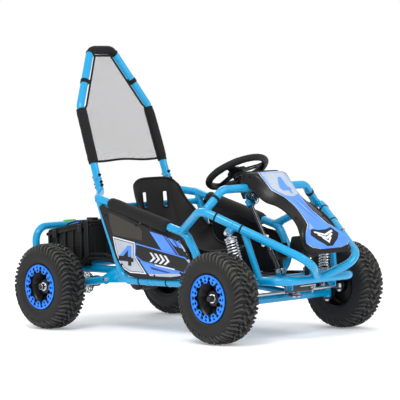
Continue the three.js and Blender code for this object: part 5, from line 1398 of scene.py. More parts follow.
def net_point(share, z, out=0.0):
    """A point of the hung net: share runs from its right edge to its left. It bellies back."""
    run = (z - NET_LOW) / (NET_HIGH - NET_LOW)
    low_x = leg(NET_LOW, 1)[0]
    high_x = mixed(ROLL_KINK[0], ROLL_TOP[0], (NET_HIGH - ROLL_KINK[2]) / (ROLL_TOP[2] - ROLL_KINK[2]))
    belly = 7 * (1 - share * share) * sin(pi * min(1, 0.15 + run))
    if run < 0.12:
        wave = 3.0 * cos(4.2 * share + 0.6) * (1 - run / 0.12)
    else:
        wave = 0.0
    return Vector((mixed(low_x, high_x, run) - belly + out, share * (net_edge(z) + 1.2), z + wave))


def net_line(share, out=0.0):
    return [net_point(share, mixed(NET_LOW, NET_HIGH, k / 40), out) for k in range(41)]


def make_net():
    rows, columns = 60, 40
    shape = Shape()
    for i in range(rows + 1):
        z = mixed(NET_LOW, NET_HIGH, i / rows)
        shape.points += [net_point(-1 + 2 * k / columns, z) for k in range(columns + 1)]
    shape.faces = grid_faces(rows, columns)
    mesh = loose("back_net_cloth", shape, NET, angle=180)
    walled(mesh, NET_THICK, 180, offset=0)
    place(mesh, "safety_net")
    flat = [(-1.5, -4.0), (1.5, -4.0), (1.9, -3.4), (1.9, 3.4), (1.5, 4.0), (-1.5, 4.0), (-1.9, 3.4),
            (-1.9, -3.4)]
    border = Shape()
    for side in (-1, 1):
        border.join(swept(net_line(side * 0.985), flat, aside=AHEAD))
    hem = [net_point(-0.985 + 1.97 * k / 60, NET_LOW + 3) for k in range(61)]
    border.join(swept(hem, [(a * 0.9, b * 1.15) for a, b in flat], aside=AHEAD))
    head = [net_point(-0.985 + 1.97 * k / 20, NET_HIGH - 3) for k in range(21)]
    border.join(swept(head, [(a * 0.9, b * 1.1) for a, b in flat], aside=AHEAD))
    hemming = extra("back_net_piping", border, WEBBING, "safety_net", angle=50)
    straps = Shape()
    for side in (-1, 1):
        share = 100 / 232
        middle = Vector(sided(ROLL_KINK, side)).lerp(Vector(sided(ROLL_TOP, side)), share)
        way = (Vector(sided(ROLL_TOP, side)) - Vector(sided(ROLL_KINK, side))).normalized()
        straps.join(turned([(-9, 16.3), (-9, 17.6), (-8.2, 18.1), (8.2, 18.1), (9, 17.6), (9, 16.3)], middle,
                           way, 30, looped=True))
        edge = net_point(side * 0.97, middle.z)
        tongue = edge - middle
        lie = facing(middle + tongue * 0.56, tongue, way)
        straps.join(plate(rounded(max(8.0, tongue.length * 0.9), 18, 2), 2.4, lie, edge=0.4))
    bands = extra("back_net_straps", straps, WEBBING, "safety_net", angle=50)
    for side in (-1, 1):
        stitched(f"back_net_stitches_{'right' if side < 0 else 'left'}", net_line(side * 0.985, out=2.4),
                 "safety_net")


# Bucket seat

SEAT_SPINE = ((172, 318), (125.8, 290), (40, 262), (-68, 262), (-140, 292), (-185.5, 342.4), (-205, 400),
              (-223, 502), (-228, 604))
SEAT_SHARES = ((0, .1, .9), (.08, .26, .96), (.19, .44, .99), (.3, .56, 1), (.4, .74, 1), (.48, .92, .99),
               (.56, 1, .98), (.64, .9, .96), (.71, .74, .93), (.78, .54, .88), (.86, .3, .81),
               (.94, .13, .75), (1, .06, .7))
SEAT_HALF = 168
SEAT_WING = 140
SEAT_THICK = 5
SEAT_ROWS = 84
SEAT_COLUMNS = 60
SPINE_STEPS = 24


def curve_through(xs, ys, x):
    """A smooth curve through points, x rising."""
    k = min(max(sum(1 for v in xs if v <= x) - 1, 0), len(xs) - 2)

    def slope(i):
        if i in (0, len(xs) - 1):
            a, b = (0, 1) if i == 0 else (len(xs) - 2, len(xs) - 1)
            return (ys[b] - ys[a]) / (xs[b] - xs[a])
        return (ys[i + 1] - ys[i - 1]) / (xs[i + 1] - xs[i - 1])
    span = xs[k + 1] - xs[k]
    t = (x - xs[k]) / span
    return hermite(ys[k], slope(k) * span, ys[k + 1], slope(k + 1) * span, t)


def spine_line():
    """The seat's side profile, as a centripetal curve through its points."""
    points = [Vector((x, 0, z)) for x, z in SEAT_SPINE]
    line = []
    for k in range(len(points) - 1):
        b, c = points[k], points[k + 1]
        a = points[k - 1] if k else b * 2 - c
        d = points[k + 2] if k + 2 < len(points) else c * 2 - b
        gaps = [sqrt((q - p).length) for p, q in ((a, b), (b, c), (c, d))]
        out = ((b - a) / gaps[0] - (c - a) / (gaps[0] + gaps[1]) + (c - b) / gaps[1]) * gaps[1]
        into = ((c - b) / gaps[1] - (d - b) / (gaps[1] + gaps[2]) + (d - c) / gaps[2]) * gaps[1]
        for s in range(SPINE_STEPS):
            t = s / SPINE_STEPS
            line.append(hermite(b, out, c, into, t))
    line.append(points[-1])
    return line


def seat_grid():
    """The seat's face as rows of points, from its front edge up to its top."""
    line = spread_over(spine_line(), 5)
    ways = directions(line)
    runs = [s[0] for s in SEAT_SHARES]
    grid = []
    for i in range(SEAT_ROWS + 1):
        run = i / SEAT_ROWS
        place_on = run * (len(line) - 1)
        k = min(int(place_on), len(line) - 2)
        middle = line[k].lerp(line[k + 1], place_on - k)
        way = ways[k].lerp(ways[k + 1], place_on - k).normalized()
        up = Vector((way.z, 0, -way.x))
        wing = max(0.0, curve_through(runs, [s[1] for s in SEAT_SHARES], run))
        half = curve_through(runs, [s[2] for s in SEAT_SHARES], run)
        row = []
        for c in range(SEAT_COLUMNS + 1):
            share = -1 + 2 * c / SEAT_COLUMNS
            corner = max(0.0, (run - 0.93) / 0.07)
            drop = 26 * corner ** 1.5 * abs(share) ** 5
            drop += 14 * max(0.0, (0.05 - run) / 0.05) * abs(share) ** 5 * -1
            lift = SEAT_WING * wing * abs(share) ** 4
            dish = -5.0 * exp(-((share / 0.55) ** 2)) * exp(-(((run - 0.4) / 0.2) ** 2))
            ridge = 2.2 * exp(-(((abs(share) - 0.62) / 0.05) ** 2)) * min(1, max(0, (run - 0.35) / 0.1))
            point = middle + Vector((0, share * SEAT_HALF * half, -drop)) + up * (lift + dish - ridge)
            row.append(point)
        grid.append(row)
    return grid


def grid_shape(grid):
    shape = Shape()
    for row in grid:
        shape.points += row
    shape.faces = grid_faces(len(grid) - 1, len(grid[0]) - 1)
    return shape


def cut_from(made, tools):
    """The tools' shapes are cut out of the object."""
    for tool in tools:
        step = made.modifiers.new("cut", "BOOLEAN")
        step.operation = "DIFFERENCE"
        step.solver = "EXACT"
        step.object = tool
    settle(made)
    for tool in tools:
        bpy.data.objects.remove(tool)


def make_seat():
    grid = seat_grid()
    made = loose("seat_moulding", grid_shape(grid), SEAT_BLACK, angle=60)
    centre = at(0, 0, 520)
    middle = made.data.polygons[len(made.data.polygons) // 2]
    inward = (centre - middle.center).dot(middle.normal) > 0
    walled(made, SEAT_THICK, 60, -1 if inward else 1)
    slots = []
    for side in (-1, 1):
        ring = rounded(26, 68, 8, 6)
        slot_body = plate(ring, 140, facing((-228, side * 57, 515.5), LEFT, UP))
        slots.append(loose(f"slot_{side}", slot_body, SEAT_BLACK))
    cut_from(made, slots)
    shade(made.data, 45)
    place(made, "seat_shell")
    rim_line = [grid[0][k] for k in range(len(grid[0]))]
    rim_line += [grid[i][-1] for i in range(1, len(grid))]
    rim_line += [grid[-1][k] for k in range(len(grid[0]) - 2, -1, -1)]
    rim_line += [grid[i][0] for i in range(len(grid) - 2, 0, -1)]
    rim = swept(rim_line, ring_of(4.6, 10), looped=True)
    lips = Shape()
    lips.join(rim)
    for side in (-1, 1):
        slot_line = []
        for a, b in rounded(27, 69, 8.5, 6):
            z = 515.5 + b
            slot_line.append(back_point(side * 57 + a, z, grid))
        lips.join(swept(slot_line, ring_of(3.4, 8), looped=True))
    extra("seat_edge_beads", lips, SEAT_BLACK, "seat_shell", angle=60)
    spots = []
    for x in (-115, 120):
        for side in (-1, 1):
            k = min(range(len(grid)), key=lambda i: abs(grid[i][15].x - x) + (i > 50) * 999)
            row = grid[k]
            point = min(row, key=lambda p: abs(p.y - side * 86))
            spots.append((point + Vector(UP), Vector(UP)))
    bolts("seat_bolts", spots, "seat_shell", head=12, height=5, washer=20)


def back_point(y, z, grid):
    """The seat back's face at a height and a distance from the middle."""
    best = min((p for row in grid[52:] for p in row), key=lambda p: (p.y - y) ** 2 + (p.z - z) ** 2)
    return Vector((best.x, y, z))


# Bodywork: nose, side panels, their livery, and the battery box

NOSE_X = 385
NOSE_LENGTH = 367
NOSE_TOP = 633
NOSE_TIP = 324
NOSE_HALF = 118
NOSE_SHARES = ((0, 0, .8, .1, .88), (.16, .015, .7, .225, .85), (.31, .16, .52, .35, .8),
               (.47, .31, .38, .405, .76), (.62, .455, .36, .495, .76), (.76, .59, .53, .63, .8),
               (.87, .715, .75, .835, .92), (.955, .845, .95, .94, 1), (1, .97, .72, 1, .76))


def nose_section(run):
    """The half section of the nose, from the crown line to the foot of the left flank."""
    runs = [s[0] for s in NOSE_SHARES]
    drop, half, low_drop, skirt = (curve_through(runs, [s[i] for s in NOSE_SHARES], run) for i in range(1, 5))
    x = NOSE_X + NOSE_LENGTH * run
    top, low = mixed(NOSE_TOP, NOSE_TIP, drop), mixed(NOSE_TOP, NOSE_TIP, low_drop)
    half, skirt = NOSE_HALF * half, NOSE_HALF * skirt
    shoulder = top - 0.06 * (top - low)
    middle = mixed(half, skirt, 0.55)
    return [Vector(p) for p in ((x, 0, top), (x, half / 2, top), (x, half, shoulder),
                                (x, middle, (shoulder + low) / 2), (x, skirt, low))]


def nose_point(run, turn):
    """A point of the nose. turn is 0 on the crown line, 2 on the shoulder and 4 at the foot of the flank."""
    section = nose_section(run)
    side = -1 if turn < 0 else 1
    turn = abs(turn)
    k = min(int(turn), 3)
    t = turn - k
    a, b, c = section[max(k - 1, 0)], section[k], section[k + 1]
    if k == 0:
        a = Vector((b.x, -c.y, c.z))
    d = section[min(k + 2, 4)]
    out, into = (c - a) * 0.5, (d - b) * 0.5
    if k == 1:
        into *= 0.75
    if k == 2:
        out *= 0.75
    point = hermite(b, out, c, into, t)
    return Vector((point.x, point.y * side, point.z))


def nose_out(run, turn):
    """Which way the nose faces at a point."""
    step = 0.004
    along = nose_point(min(run + step, 1), turn) - nose_point(max(run - step, 0), turn)
    across = nose_point(run, min(turn + 0.05, 4)) - nose_point(run, max(turn - 0.05, -4))
    return along.cross(across).normalized()


def on_nose(lift):
    return lambda run, turn: nose_point(run, turn) + nose_out(run, turn) * lift


def inside(point, ring):
    """Whether a flat point lies in a ring."""
    x, y = point
    found = False
    for (ax, ay), (bx, by) in zip(ring, ring[1:] + ring[:1]):
        if (ay > y) != (by > y) and x < (bx - ax) * (y - ay) / (by - ay) + ax:
            found = not found
    return found


def laid_on(surface, outline, steps, holes=()):
    """A thin patch that follows a surface: an outline on it is filled with small triangles."""
    points, edges = [], []
    for ring in (outline, *holes):
        start = len(points)
        fine = []
        for a, b in zip(ring, list(ring[1:]) + [ring[0]]):
            count = max(1, ceil(max(abs(b[0] - a[0]) / steps[0], abs(b[1] - a[1]) / steps[1])))
            fine += [(mixed(a[0], b[0], k / count), mixed(a[1], b[1], k / count)) for k in range(count)]
        points += fine
        edges += [(start + k, start + (k + 1) % len(fine)) for k in range(len(fine))]
    low = [min(p[i] for p in outline) for i in (0, 1)]
    high = [max(p[i] for p in outline) for i in (0, 1)]
    ring = list(outline)
    for i in range(1, int((high[0] - low[0]) / steps[0]) + 1):
        for k in range(1, int((high[1] - low[1]) / steps[1]) + 1):
            spot = (low[0] + i * steps[0], low[1] + k * steps[1])
            if inside(spot, ring) and not any(inside(spot, list(hole)) for hole in holes):
                points.append(spot)
    scaled = [Vector((a / steps[0], b / steps[1])) for a, b in points]
    flat, _, faces, *_ = geometry.delaunay_2d_cdt(scaled, edges, [], 2, 0.0001)
    return Shape([surface(p.x * steps[0], p.y * steps[1]) for p in flat], faces)


FILM = 0.25


def decal(name, surface, outlines, steps, material, like, holes=()):
    """A printed film on a surface, from one or more outlines."""
    shape = Shape()
    for outline in outlines:
        shape.join(laid_on(surface, list(outline), steps, holes))
    mesh = mesh_of(name, shape.points, shape.faces)
    made = in_scene(name, mesh)
    mesh.materials.append(material)
    if surface_out(made, like) < 0:
        mesh.flip_normals()
    shade(mesh, 30)
    walled(made, FILM, 30)
    return place(made, like, stands_for=False)


def surface_out(made, like):
    """Above 0 where the patch faces away from the middle of the piece it is laid on."""
    low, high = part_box(like)
    middle = (Vector(low) + Vector(high)) / 2
    middle.y *= 0 if like == "nose_fairing" else 0.5
    middle.z -= 0.2 if like == "nose_fairing" else 0
    return sum((p.center - middle).dot(p.normal) * p.area for p in made.data.polygons)


# The numeral, drawn in a box 1 wide and 1 high: a slanted stroke, a bar across and a post
FOUR = ((.62, 1), (.86, 1), (.86, .4), (1, .4), (1, .2), (.86, .2), (.86, 0), (.64, 0), (.64, .2), (0, .2),
        (0, .4))
FOUR_EYE = ((.27, .4), (.64, .4), (.64, .78))
FOUR_UPPER = ((.62, 1), (.86, 1), (.86, .45), (.64, .45), (.64, .78), (.31, .45), (.05, .45))


def four(corner, across, up, outline=FOUR):
    """The numeral's outline and its eye, laid out from a corner along two directions of a surface."""
    def lay(ring):
        return [(corner[0] + across[0] * a + up[0] * b, corner[1] + across[1] * a + up[1] * b)
                for a, b in ring]
    return lay(outline), lay(FOUR_EYE)


NOSE_FIELD = ((.1, -1.1), (.2, -1.72), (.26, -2.02), (.33, -2.3), (.4, -2.15), (.46, -1.9), (.56, -1.64),
              (.68, -1.52), (.76, -1.38), (.8, -1.36), (.84, -1.65), (.875, -2.1), (.9, -2.55), (.94, -2.35),
              (.975, -1.7), (.985, -1.0))
NOSE_STEPS = (0.016, 0.16)


def both_ways(half):
    """A half outline in (run, turn) with its mirror image."""
    return list(half) + [(a, -b) for a, b in reversed(half)]


def widened(half, by):
    return [(a, b - by) for a, b in half]


def make_nose():
    rows, columns = 72, 48
    shape = Shape()
    for i in range(rows + 1):
        shape.points += [nose_point(i / rows, -4 + 8 * k / columns) for k in range(columns + 1)]
    shape.faces = grid_faces(rows, columns)
    made = loose("nose_moulding", shape, PANEL_BLACK, angle=50)
    if surface_out(made, "nose_fairing") < 0:
        made.data.flip_normals()
    walled(made, 3, 50)
    cut = loose("dash_cut", tube(dash_line(), TUBE + 1.2, 24), PANEL_BLACK)
    cut_from(made, [cut])
    shade(made.data, 50)
    place(made, "nose_fairing")
    edge_line = [nose_point(k / 60, -4) for k in range(61)]
    edge_line += [nose_point(1, -4 + 8 * k / 40) for k in range(1, 41)]
    edge_line += [nose_point(1 - k / 60, 4) for k in range(1, 61)]
    edge_line += [nose_point(0, 4 - 8 * k / 40) for k in range(1, 40)]
    piping = swept(edge_line, ring_of(4.4, 10), looped=True)
    extra("nose_edge_trim", piping, GRIP, "nose_fairing", angle=60)

    def add(label, lift, outlines, material, steps=NOSE_STEPS, holes=()):
        decal(f"nose_{label}", on_nose(lift), outlines, steps, material, "nose_fairing", holes)

    add("white_border", 0.35, [both_ways(widened(NOSE_FIELD, 0.11))], VINYL_WHITE)
    add("black_line", 0.6, [both_ways(widened(NOSE_FIELD, 0.03))], VINYL_BLACK)
    add("blue_field", 0.85, [both_ways(NOSE_FIELD)], VINYL_BLUE)
    plate_half = ((.12, -1.1), (.2, -1.6), (.26, -1.88), (.33, -2.14), (.39, -2.0), (.44, -1.5), (.46, -.5),
                  (.462, 0))
    add("number_plate", 1.1, [both_ways(plate_half)], VINYL_SILVER)
    shades = [((.142, -1.05), (.142, 1.1), (.165, 1.25), (.165, -1.15)),
              ((.2, 1.5), (.26, 1.76), (.33, 1.98), (.38, 1.86), (.38, 1.6), (.32, 1.72), (.26, 1.56),
               (.2, 1.3)),
              ((.2, -1.5), (.26, -1.76), (.3, -1.9), (.3, -1.72), (.26, -1.6), (.2, -1.36))]
    add("number_shade", 1.3, shades, VINYL_PALE)
    numeral, eye = four((.425, -.95), (0, 1.9), (-.2, 0))
    add("numeral", 1.4, [numeral], VINYL_BLUE, (0.012, 0.12), [eye])
    streaks = [((.47, -1.6), (.57, -1.3), (.76, -.7), (.68, -1.1), (.57, -1.5)),
               ((.49, -.2), (.6, .15), (.79, .95), (.7, .55), (.58, .45)),
               ((.78, -1.1), (.84, -.9), (.86, -1.5), (.83, -1.4))]
    add("pale_streaks", 1.1, streaks, VINYL_PALE)
    lines = [((.48, -.5), (.6, -.1), (.78, .55), (.6, .02)), ((.5, 1.0), (.62, 1.3), (.76, 1.2), (.62, 1.16))]
    add("dark_lines", 1.1, lines, VINYL_DEEP)
    chin = ((.845, -1.35), (.862, -.5), (.862, .5), (.845, 1.35), (.9, 1.5), (.945, .95), (.976, .3),
            (.976, -.3), (.945, -.95), (.9, -1.5))
    add("chin_patch", 1.1, [chin], VINYL_BLACK)
    arrows = [((tip, 0), (tip - .03, -spread), (tip - .016, -spread), (tip + .016, 0), (tip - .016, spread),
               (tip - .03, spread)) for tip, spread in ((.9, 1.1), (.924, .8), (.948, .45))]
    add("chin_arrows", 1.3, arrows, VINYL_WHITE, (0.01, 0.1))
    spots = [(nose_point(run, turn) + nose_out(run, turn) * 0.6, nose_out(run, turn))
             for run, turn in ((.08, -2.6), (.08, 2.6), (.7, -3.1), (.7, 3.1))]
    bolts("nose_screws", spots, "nose_fairing", BLACK_STEEL, head=7, height=2.4, washer=10, washer_thick=0.8)


PANEL_OUT = 16.3
PANEL_THICK = 2.5


def on_panel(side, lift):
    return lambda x, z: Vector(hoop(x, z, side, PANEL_OUT + PANEL_THICK + lift))


def panel_outline():
    """It lies inside the hoop's tubes, which stay in full view round it."""
    def front_x(z):
        return mixed(352, 230, (z - 208) / 194)
    return [(post_x(292) + 17, 292), (-137, 275), (-103, 240), (-78, 227), (-10, 221), (131.95, 221),
            (208, 228), (front_x(275.9) - 28.8, 275.9), (front_x(343.8) - 25, 343.8), (202, 380),
            (140, arm_z(140) - 36), (-40, arm_z(-40) - 28), (-90, arm_z(-90) - 22), (-190, arm_z(-190) - 22),
            (-214, arm_z(-214) - 14), (post_x(525) + 21, 503)]


def round_ring(ring, radius, steps=4):
    """A flat ring with its corners rounded."""
    done = []
    for before, here, after in zip(ring[-1:] + ring[:-1], ring, ring[1:] + ring[:1]):
        here = Vector(here)
        into, onward = (Vector(before) - here), (Vector(after) - here)
        cut = min(radius, into.length * 0.45, onward.length * 0.45)
        a, b = here + into.normalized() * cut, here + onward.normalized() * cut
        for k in range(steps + 1):
            t = k / steps
            done.append(tuple(a * (1 - t) ** 2 + here * 2 * t * (1 - t) + b * t * t))
    return done


def make_side_panels():
    for name, side in SIDES:
        node = f"side_panel_{name}"
        ring = round_ring(panel_outline(), 12)
        patch = laid_on(on_panel(side, 0), ring, (16, 16))
        made = loose(f"side_panel_moulding_{name}", patch, PANEL_BLACK, angle=40)
        if side * sum(p.normal.y * p.area for p in made.data.polygons) < 0:
            made.data.flip_normals()
        walled(made, PANEL_THICK, 40)
        place(made, node)
        border = [on_panel(side, -PANEL_THICK / 2)(x, z) for x, z in ring]
        edge = swept(border, ring_of(2.3, 8), looped=True)
        low_ring = [p for p in ring[-4:] + ring if p[1] < 380]
        lip = swept([on_panel(side, -PANEL_THICK / 2)(x, z) for x, z in low_ring],
                    [(-10, -1.1), (1.2, -1.1), (1.2, 1.1), (-10, 1.1)], aside=(0, side, 0))
        extra(f"side_panel_edge_{name}", edge.join(lip), PANEL_BLACK, node, angle=60)
        dress_panel(name, side, node)


def dress_panel(name, side, node):
    """The livery: a plain field, a number plate, a dark band with bars, and slanted flashes."""
    steps = (18, 18)

    def add(label, lift, outlines, material, holes=()):
        decal(f"side_panel_{label}_{name}", on_panel(side, lift), outlines, steps, material, node, holes)

    add("plain_field", 0.35, [OLIVE_FIELD], VINYL_OLIVE)
    add("plate_border", 0.35, [PLATE_RING], VINYL_WHITE)
    add("plate_line", 0.6, [PLATE_LINE], VINYL_BLACK)
    add("plate", 0.85, [PLATE_FACE], VINYL_SILVER)
    corner, across, up = PANEL_NUMERAL
    if side > 0:
        corner, across = (corner[0] + across[0], corner[1] + across[1]), (-across[0], -across[1])
    numeral, eye = four(corner, across, up)
    add("numeral", 1.1, [numeral], VINYL_BLACK, [eye])
    upper, _ = four(corner, across, up, FOUR_UPPER)
    add("numeral_top", 1.35, [upper], VINYL_BLUE)
    add("band_edge", 0.35, [BAND_EDGE], VINYL_BLUE)
    add("band", 0.6, [BAND], VINYL_BLACK)
    add("band_bars", 0.85, BAND_BARS, VINYL_WHITE)
    add("flashes", 0.35, FLASHES, VINYL_BLUE)
    add("flash_edges", 0.6, FLASH_EDGES, VINYL_DEEP)
    add("sill_stripes", 0.6, SILL_STRIPES, VINYL_SILVER)
    add("front_flash", 0.4, FRONT_FLASH, VINYL_SILVER)
    spots = [(on_panel(side, 0.2)(x, z), Vector((0, side, 0))) for x, z in
             ((-205, 466), (-124, 272), (60, 234), (206, 250), (240, 330), (192, 378),
              (-30, arm_z(-30) - 42))]
    bolts(f"side_panel_screws_{name}", spots, node, BLACK_STEEL, head=7, height=2.2, washer=9.5,
          washer_thick=0.8)


OLIVE_FIELD = ((-184, 478), (-130, 463), (-10, 422), (4, 408), (0, 371), (-164, 388), (-179, 428))
PLATE_RING = ((-167, 382), (-42, 362), (-46, 309), (14, 238), (-78, 240), (-112, 254), (-136, 281),
              (-154, 322))
BAND = ((-34, 354), (234, 308), (256, 290), (224, 254), (-2, 290), (-42, 311))
PANEL_NUMERAL = ((-142, 271), (86, -4), (6, 80))
BAND_BARS = [((40 + 26 * k, 325 - 3 * k), (52 + 26 * k, 324 - 3 * k), (72 + 26 * k, 302 - 3 * k),
              (48 + 26 * k, 287 - 3 * k), (36 + 26 * k, 288 - 3 * k), (58 + 26 * k, 304 - 3 * k))
             for k in range(4)]
BAND_BARS.append(((66, 279), (176, 265), (174, 260), (66, 274)))
FLASHES = [((46, 408), (136, 391), (204, 319), (108, 336)), ((144, 386), (204, 374), (228, 345), (180, 355)),
           ((-20, 290), (202, 254), (206, 248), (22, 242))]
FLASH_EDGES = [((120, 394), (129, 392), (200, 320), (186, 322)),
               ((170, 381), (180, 379), (207, 350), (197, 352)),
               ((34, 270), (150, 250), (132, 247), (48, 258))]
SILL_STRIPES = [((26, 241), (204, 247), (208, 240), (150, 232), (34, 232))]
FRONT_FLASH = [((205, 379), (213, 373), (237, 342), (250, 320), (231, 338)),
               ((228, 296), (257, 306), (264, 292), (246, 284))]


def inset(ring, by):
    """A flat ring moved in from its edges."""
    area = sum(a[0] * b[1] - b[0] * a[1] for a, b in zip(ring, ring[1:] + ring[:1]))
    turn = 1 if area > 0 else -1
    lines = []
    for a, b in zip(ring, ring[1:] + ring[:1]):
        way = (Vector(b) - Vector(a)).normalized()
        lines.append((Vector(a) + Vector((-way.y, way.x)) * turn * by, way))
    done = []
    for (p, d), (q, e) in zip(lines[-1:] + lines[:-1], lines):
        share = (q - p).cross(e) / d.cross(e)
        done.append(tuple(p + d * share))
    return tuple(done)


PLATE_LINE = inset(PLATE_RING, 5)
PLATE_FACE = inset(PLATE_RING, 7.5)
BAND_EDGE = inset(BAND, -5)

BOX_LOW = 269
BOX_REAR = -655
BOX_FRONT = -377
BOX_REAR_TOP = 392
BOX_FRONT_TOP = 440
BOX_HALF = 217
STRAP_X = -402


def box_top(x, down=0.0):
    return mixed(BOX_REAR_TOP, BOX_FRONT_TOP, (x - BOX_REAR) / (BOX_FRONT - BOX_REAR)) - down


def along_y(outline, half):
    """A slab between two planes of Y, from its outline in (x, z)."""
    return plate(outline, 2 * half, facing((0, 0, 0), AHEAD, UP))


def make_battery_box():
    body = along_y(round_ring([(BOX_REAR + 6, BOX_LOW), (BOX_FRONT - 4, BOX_LOW),
                               (BOX_FRONT, box_top(BOX_FRONT, 26)), (BOX_REAR, box_top(BOX_REAR, 26))], 9),
                   BOX_HALF - 2)
    rim = along_y(round_ring([(BOX_REAR - 3, box_top(BOX_REAR, 26)), (BOX_FRONT, box_top(BOX_FRONT, 26)),
                              (BOX_FRONT, box_top(BOX_FRONT, 13)), (BOX_REAR - 3, box_top(BOX_REAR, 13))], 3),
                  BOX_HALF + 5)
    lid = along_y(round_ring([(BOX_REAR + 1, box_top(BOX_REAR, 12)), (BOX_FRONT - 2, box_top(BOX_FRONT, 12)),
                              (BOX_FRONT - 8, box_top(BOX_FRONT)), (BOX_REAR + 8, box_top(BOX_REAR))], 5),
                  BOX_HALF)
    piece("battery_box_body", Shape().join(body, rim, lid), PLASTIC, "battery_box", edge=2.2, angle=50)
    ribs = Shape()
    for k in range(6):
        x = mixed(BOX_REAR + 12, BOX_FRONT - 12, k / 5)
        wide = 7 if k % 2 else 12
        ribs.join(along_y([(x - wide / 2, BOX_LOW + 10), (x + wide / 2, BOX_LOW + 10),
                           (x + wide / 2, box_top(x + wide / 2, 26)),
                           (x - wide / 2, box_top(x - wide / 2, 26))],
                          BOX_HALF + 4))
    for k in range(7):
        y = mixed(-BOX_HALF + 16, BOX_HALF - 16, k / 6)
        ribs.join(box_of((BOX_REAR - 3.4, y - 4, BOX_LOW + 10), (BOX_REAR + 9, y + 4, box_top(BOX_REAR, 26))))
        ribs.join(box_of((BOX_FRONT - 9, y - 4, BOX_LOW + 10),
                         (BOX_FRONT + 2.6, y + 4, box_top(BOX_FRONT, 26))))
    for side in (-1, 1):
        y = side * (BOX_HALF + 1)
        ribs.join(box_of((BOX_REAR + 10, min(y, y - side * 8), 328),
                         (BOX_FRONT - 8, max(y, y - side * 8), 333)))
        ribs.join(box_of((BOX_REAR + 6, min(y, y - side * 8), BOX_LOW + 4),
                         (BOX_FRONT - 6, max(y, y - side * 8), BOX_LOW + 14)))
    extra("battery_box_ribs", ribs, PLASTIC, "battery_box", edge=1.2, angle=50)
    tops = Shape()
    for k in range(5):
        y = mixed(-150, 150, k / 4)
        tops.join(along_y([(BOX_REAR + 20, box_top(BOX_REAR + 20, 1)),
                           (BOX_FRONT - 20, box_top(BOX_FRONT - 20, 1)),
                           (BOX_FRONT - 24, box_top(BOX_FRONT - 24, -3.4)),
                           (BOX_REAR + 24, box_top(BOX_REAR + 24, -3.4))], 9).shifted(0, y, 0))
    latch = Shape()
    for side in (-1, 1):
        for x in (-600, -440):
            y = side * (BOX_HALF + 7)
            latch.join(box_of((x - 13, min(y - 3, y + 3), box_top(x, 40)),
                              (x + 13, max(y - 3, y + 3), box_top(x, 9))))
            latch.join(rod((x - 15, y + side * 2, box_top(x, 12)), (x + 15, y + side * 2, box_top(x, 12)), 6,
                           10))
    for y in (-120, 0, 120):
        x = BOX_REAR + 3
        latch.join(box_of((BOX_REAR - 9, y - 16, box_top(x, 38)), (BOX_REAR - 2, y + 16, box_top(x, 8))))
        latch.join(rod((BOX_REAR - 7, y - 18, box_top(x, 11)), (BOX_REAR - 7, y + 18, box_top(x, 11)), 6, 10))
    extra("battery_box_latches", latch.join(tops), PLASTIC, "battery_box", edge=1.0, angle=50)
    side_y, top_y = BOX_HALF + 6.6, BOX_HALF - 2
    strap_line = [(-side_y, BOX_LOW + 8), (-side_y, box_top(STRAP_X, 6)), (-top_y, box_top(STRAP_X, -2.4)),
                  (top_y, box_top(STRAP_X, -2.4)), (side_y, box_top(STRAP_X, 6)), (side_y, BOX_LOW + 8)]
    band = [(-12, -0.9), (12, -0.9), (12.4, 0), (12, 0.9), (-12, 0.9), (-12.4, 0)]
    extra("battery_strap", swept(bent([(STRAP_X, y, z, 6) for y, z in strap_line], 6), band, aside=AHEAD),
          WEBBING, "battery_box", angle=50)
    leads = Shape()
    for k, (rise, reach) in enumerate(((0, 0), (-18, -6))):
        y = -BOX_HALF - 9 - 5 * k
        leads.join(tube(bent([(-520, y + 8, 262 + rise / 2), (-430, y, 268 + rise, 40),
                              (-372 + reach, y, 301 + rise, 40), (-290, y, 304 + rise, 50),
                              (-236, y + 6, 290 + rise, 30), (-214, -196, 268)], 8), 8.4, 12))
    leads.join(box_of((-228, -205, 254.6), (-200, -187, 276)))
    extra("battery_leads", leads, GRIP, "battery_box", angle=50)
    extra("battery_clamp_rod", rod((-389, -BOX_HALF - 9, BOX_LOW - 6),
                                   (-389, -BOX_HALF - 9, box_top(-389, 10)), 3.6, 12), DARK_STEEL,
          "battery_box", slot="steel")
    buckles = box_of((-470, -206, box_top(-470, 2)), (-446, -178, box_top(-446) + 8))
    buckles.join(box_of((-424, -200, box_top(-424, 2)), (-384, -172, box_top(-384) + 9)))
    buckles.join(tube(bent([(-560, -190, box_top(-560, 3)), (-556, -190, box_top(-556) + 9, 8),
                            (-486, -190, box_top(-486) + 12, 8), (-480, -190, box_top(-480, 3))], 6), 7, 10))
    for side in (-1, 1):
        y = side * (BOX_HALF - 2)
        buckles.join(box_of((BOX_REAR + 12, y - 1.5, 251), (BOX_FRONT - 8, y + 1.5, BOX_LOW + 3)))
    extra("battery_box_fittings", buckles, PLASTIC, "battery_box", edge=1.2, angle=50)


# Steering wheel, its column, and the pedals

WHEEL_GRIP = 28
WHEEL_RING = 119
COLUMN_D = 18
PITMAN_Z = 161
PITMAN_X = 560
KNEE_X = 534
SPOKE_ANGLES = (pi / 3, pi, 5 * pi / 3)


def wheel_place(angle=0.0):
    """The steering wheel's own frame: Z along the column, X forward along the wheel's plane."""
    way = COLUMN_WAY
    return facing(COLUMN_TOP, (way.z, 0, -way.x), LEFT) @ Matrix.Rotation(angle, 4, "Z")


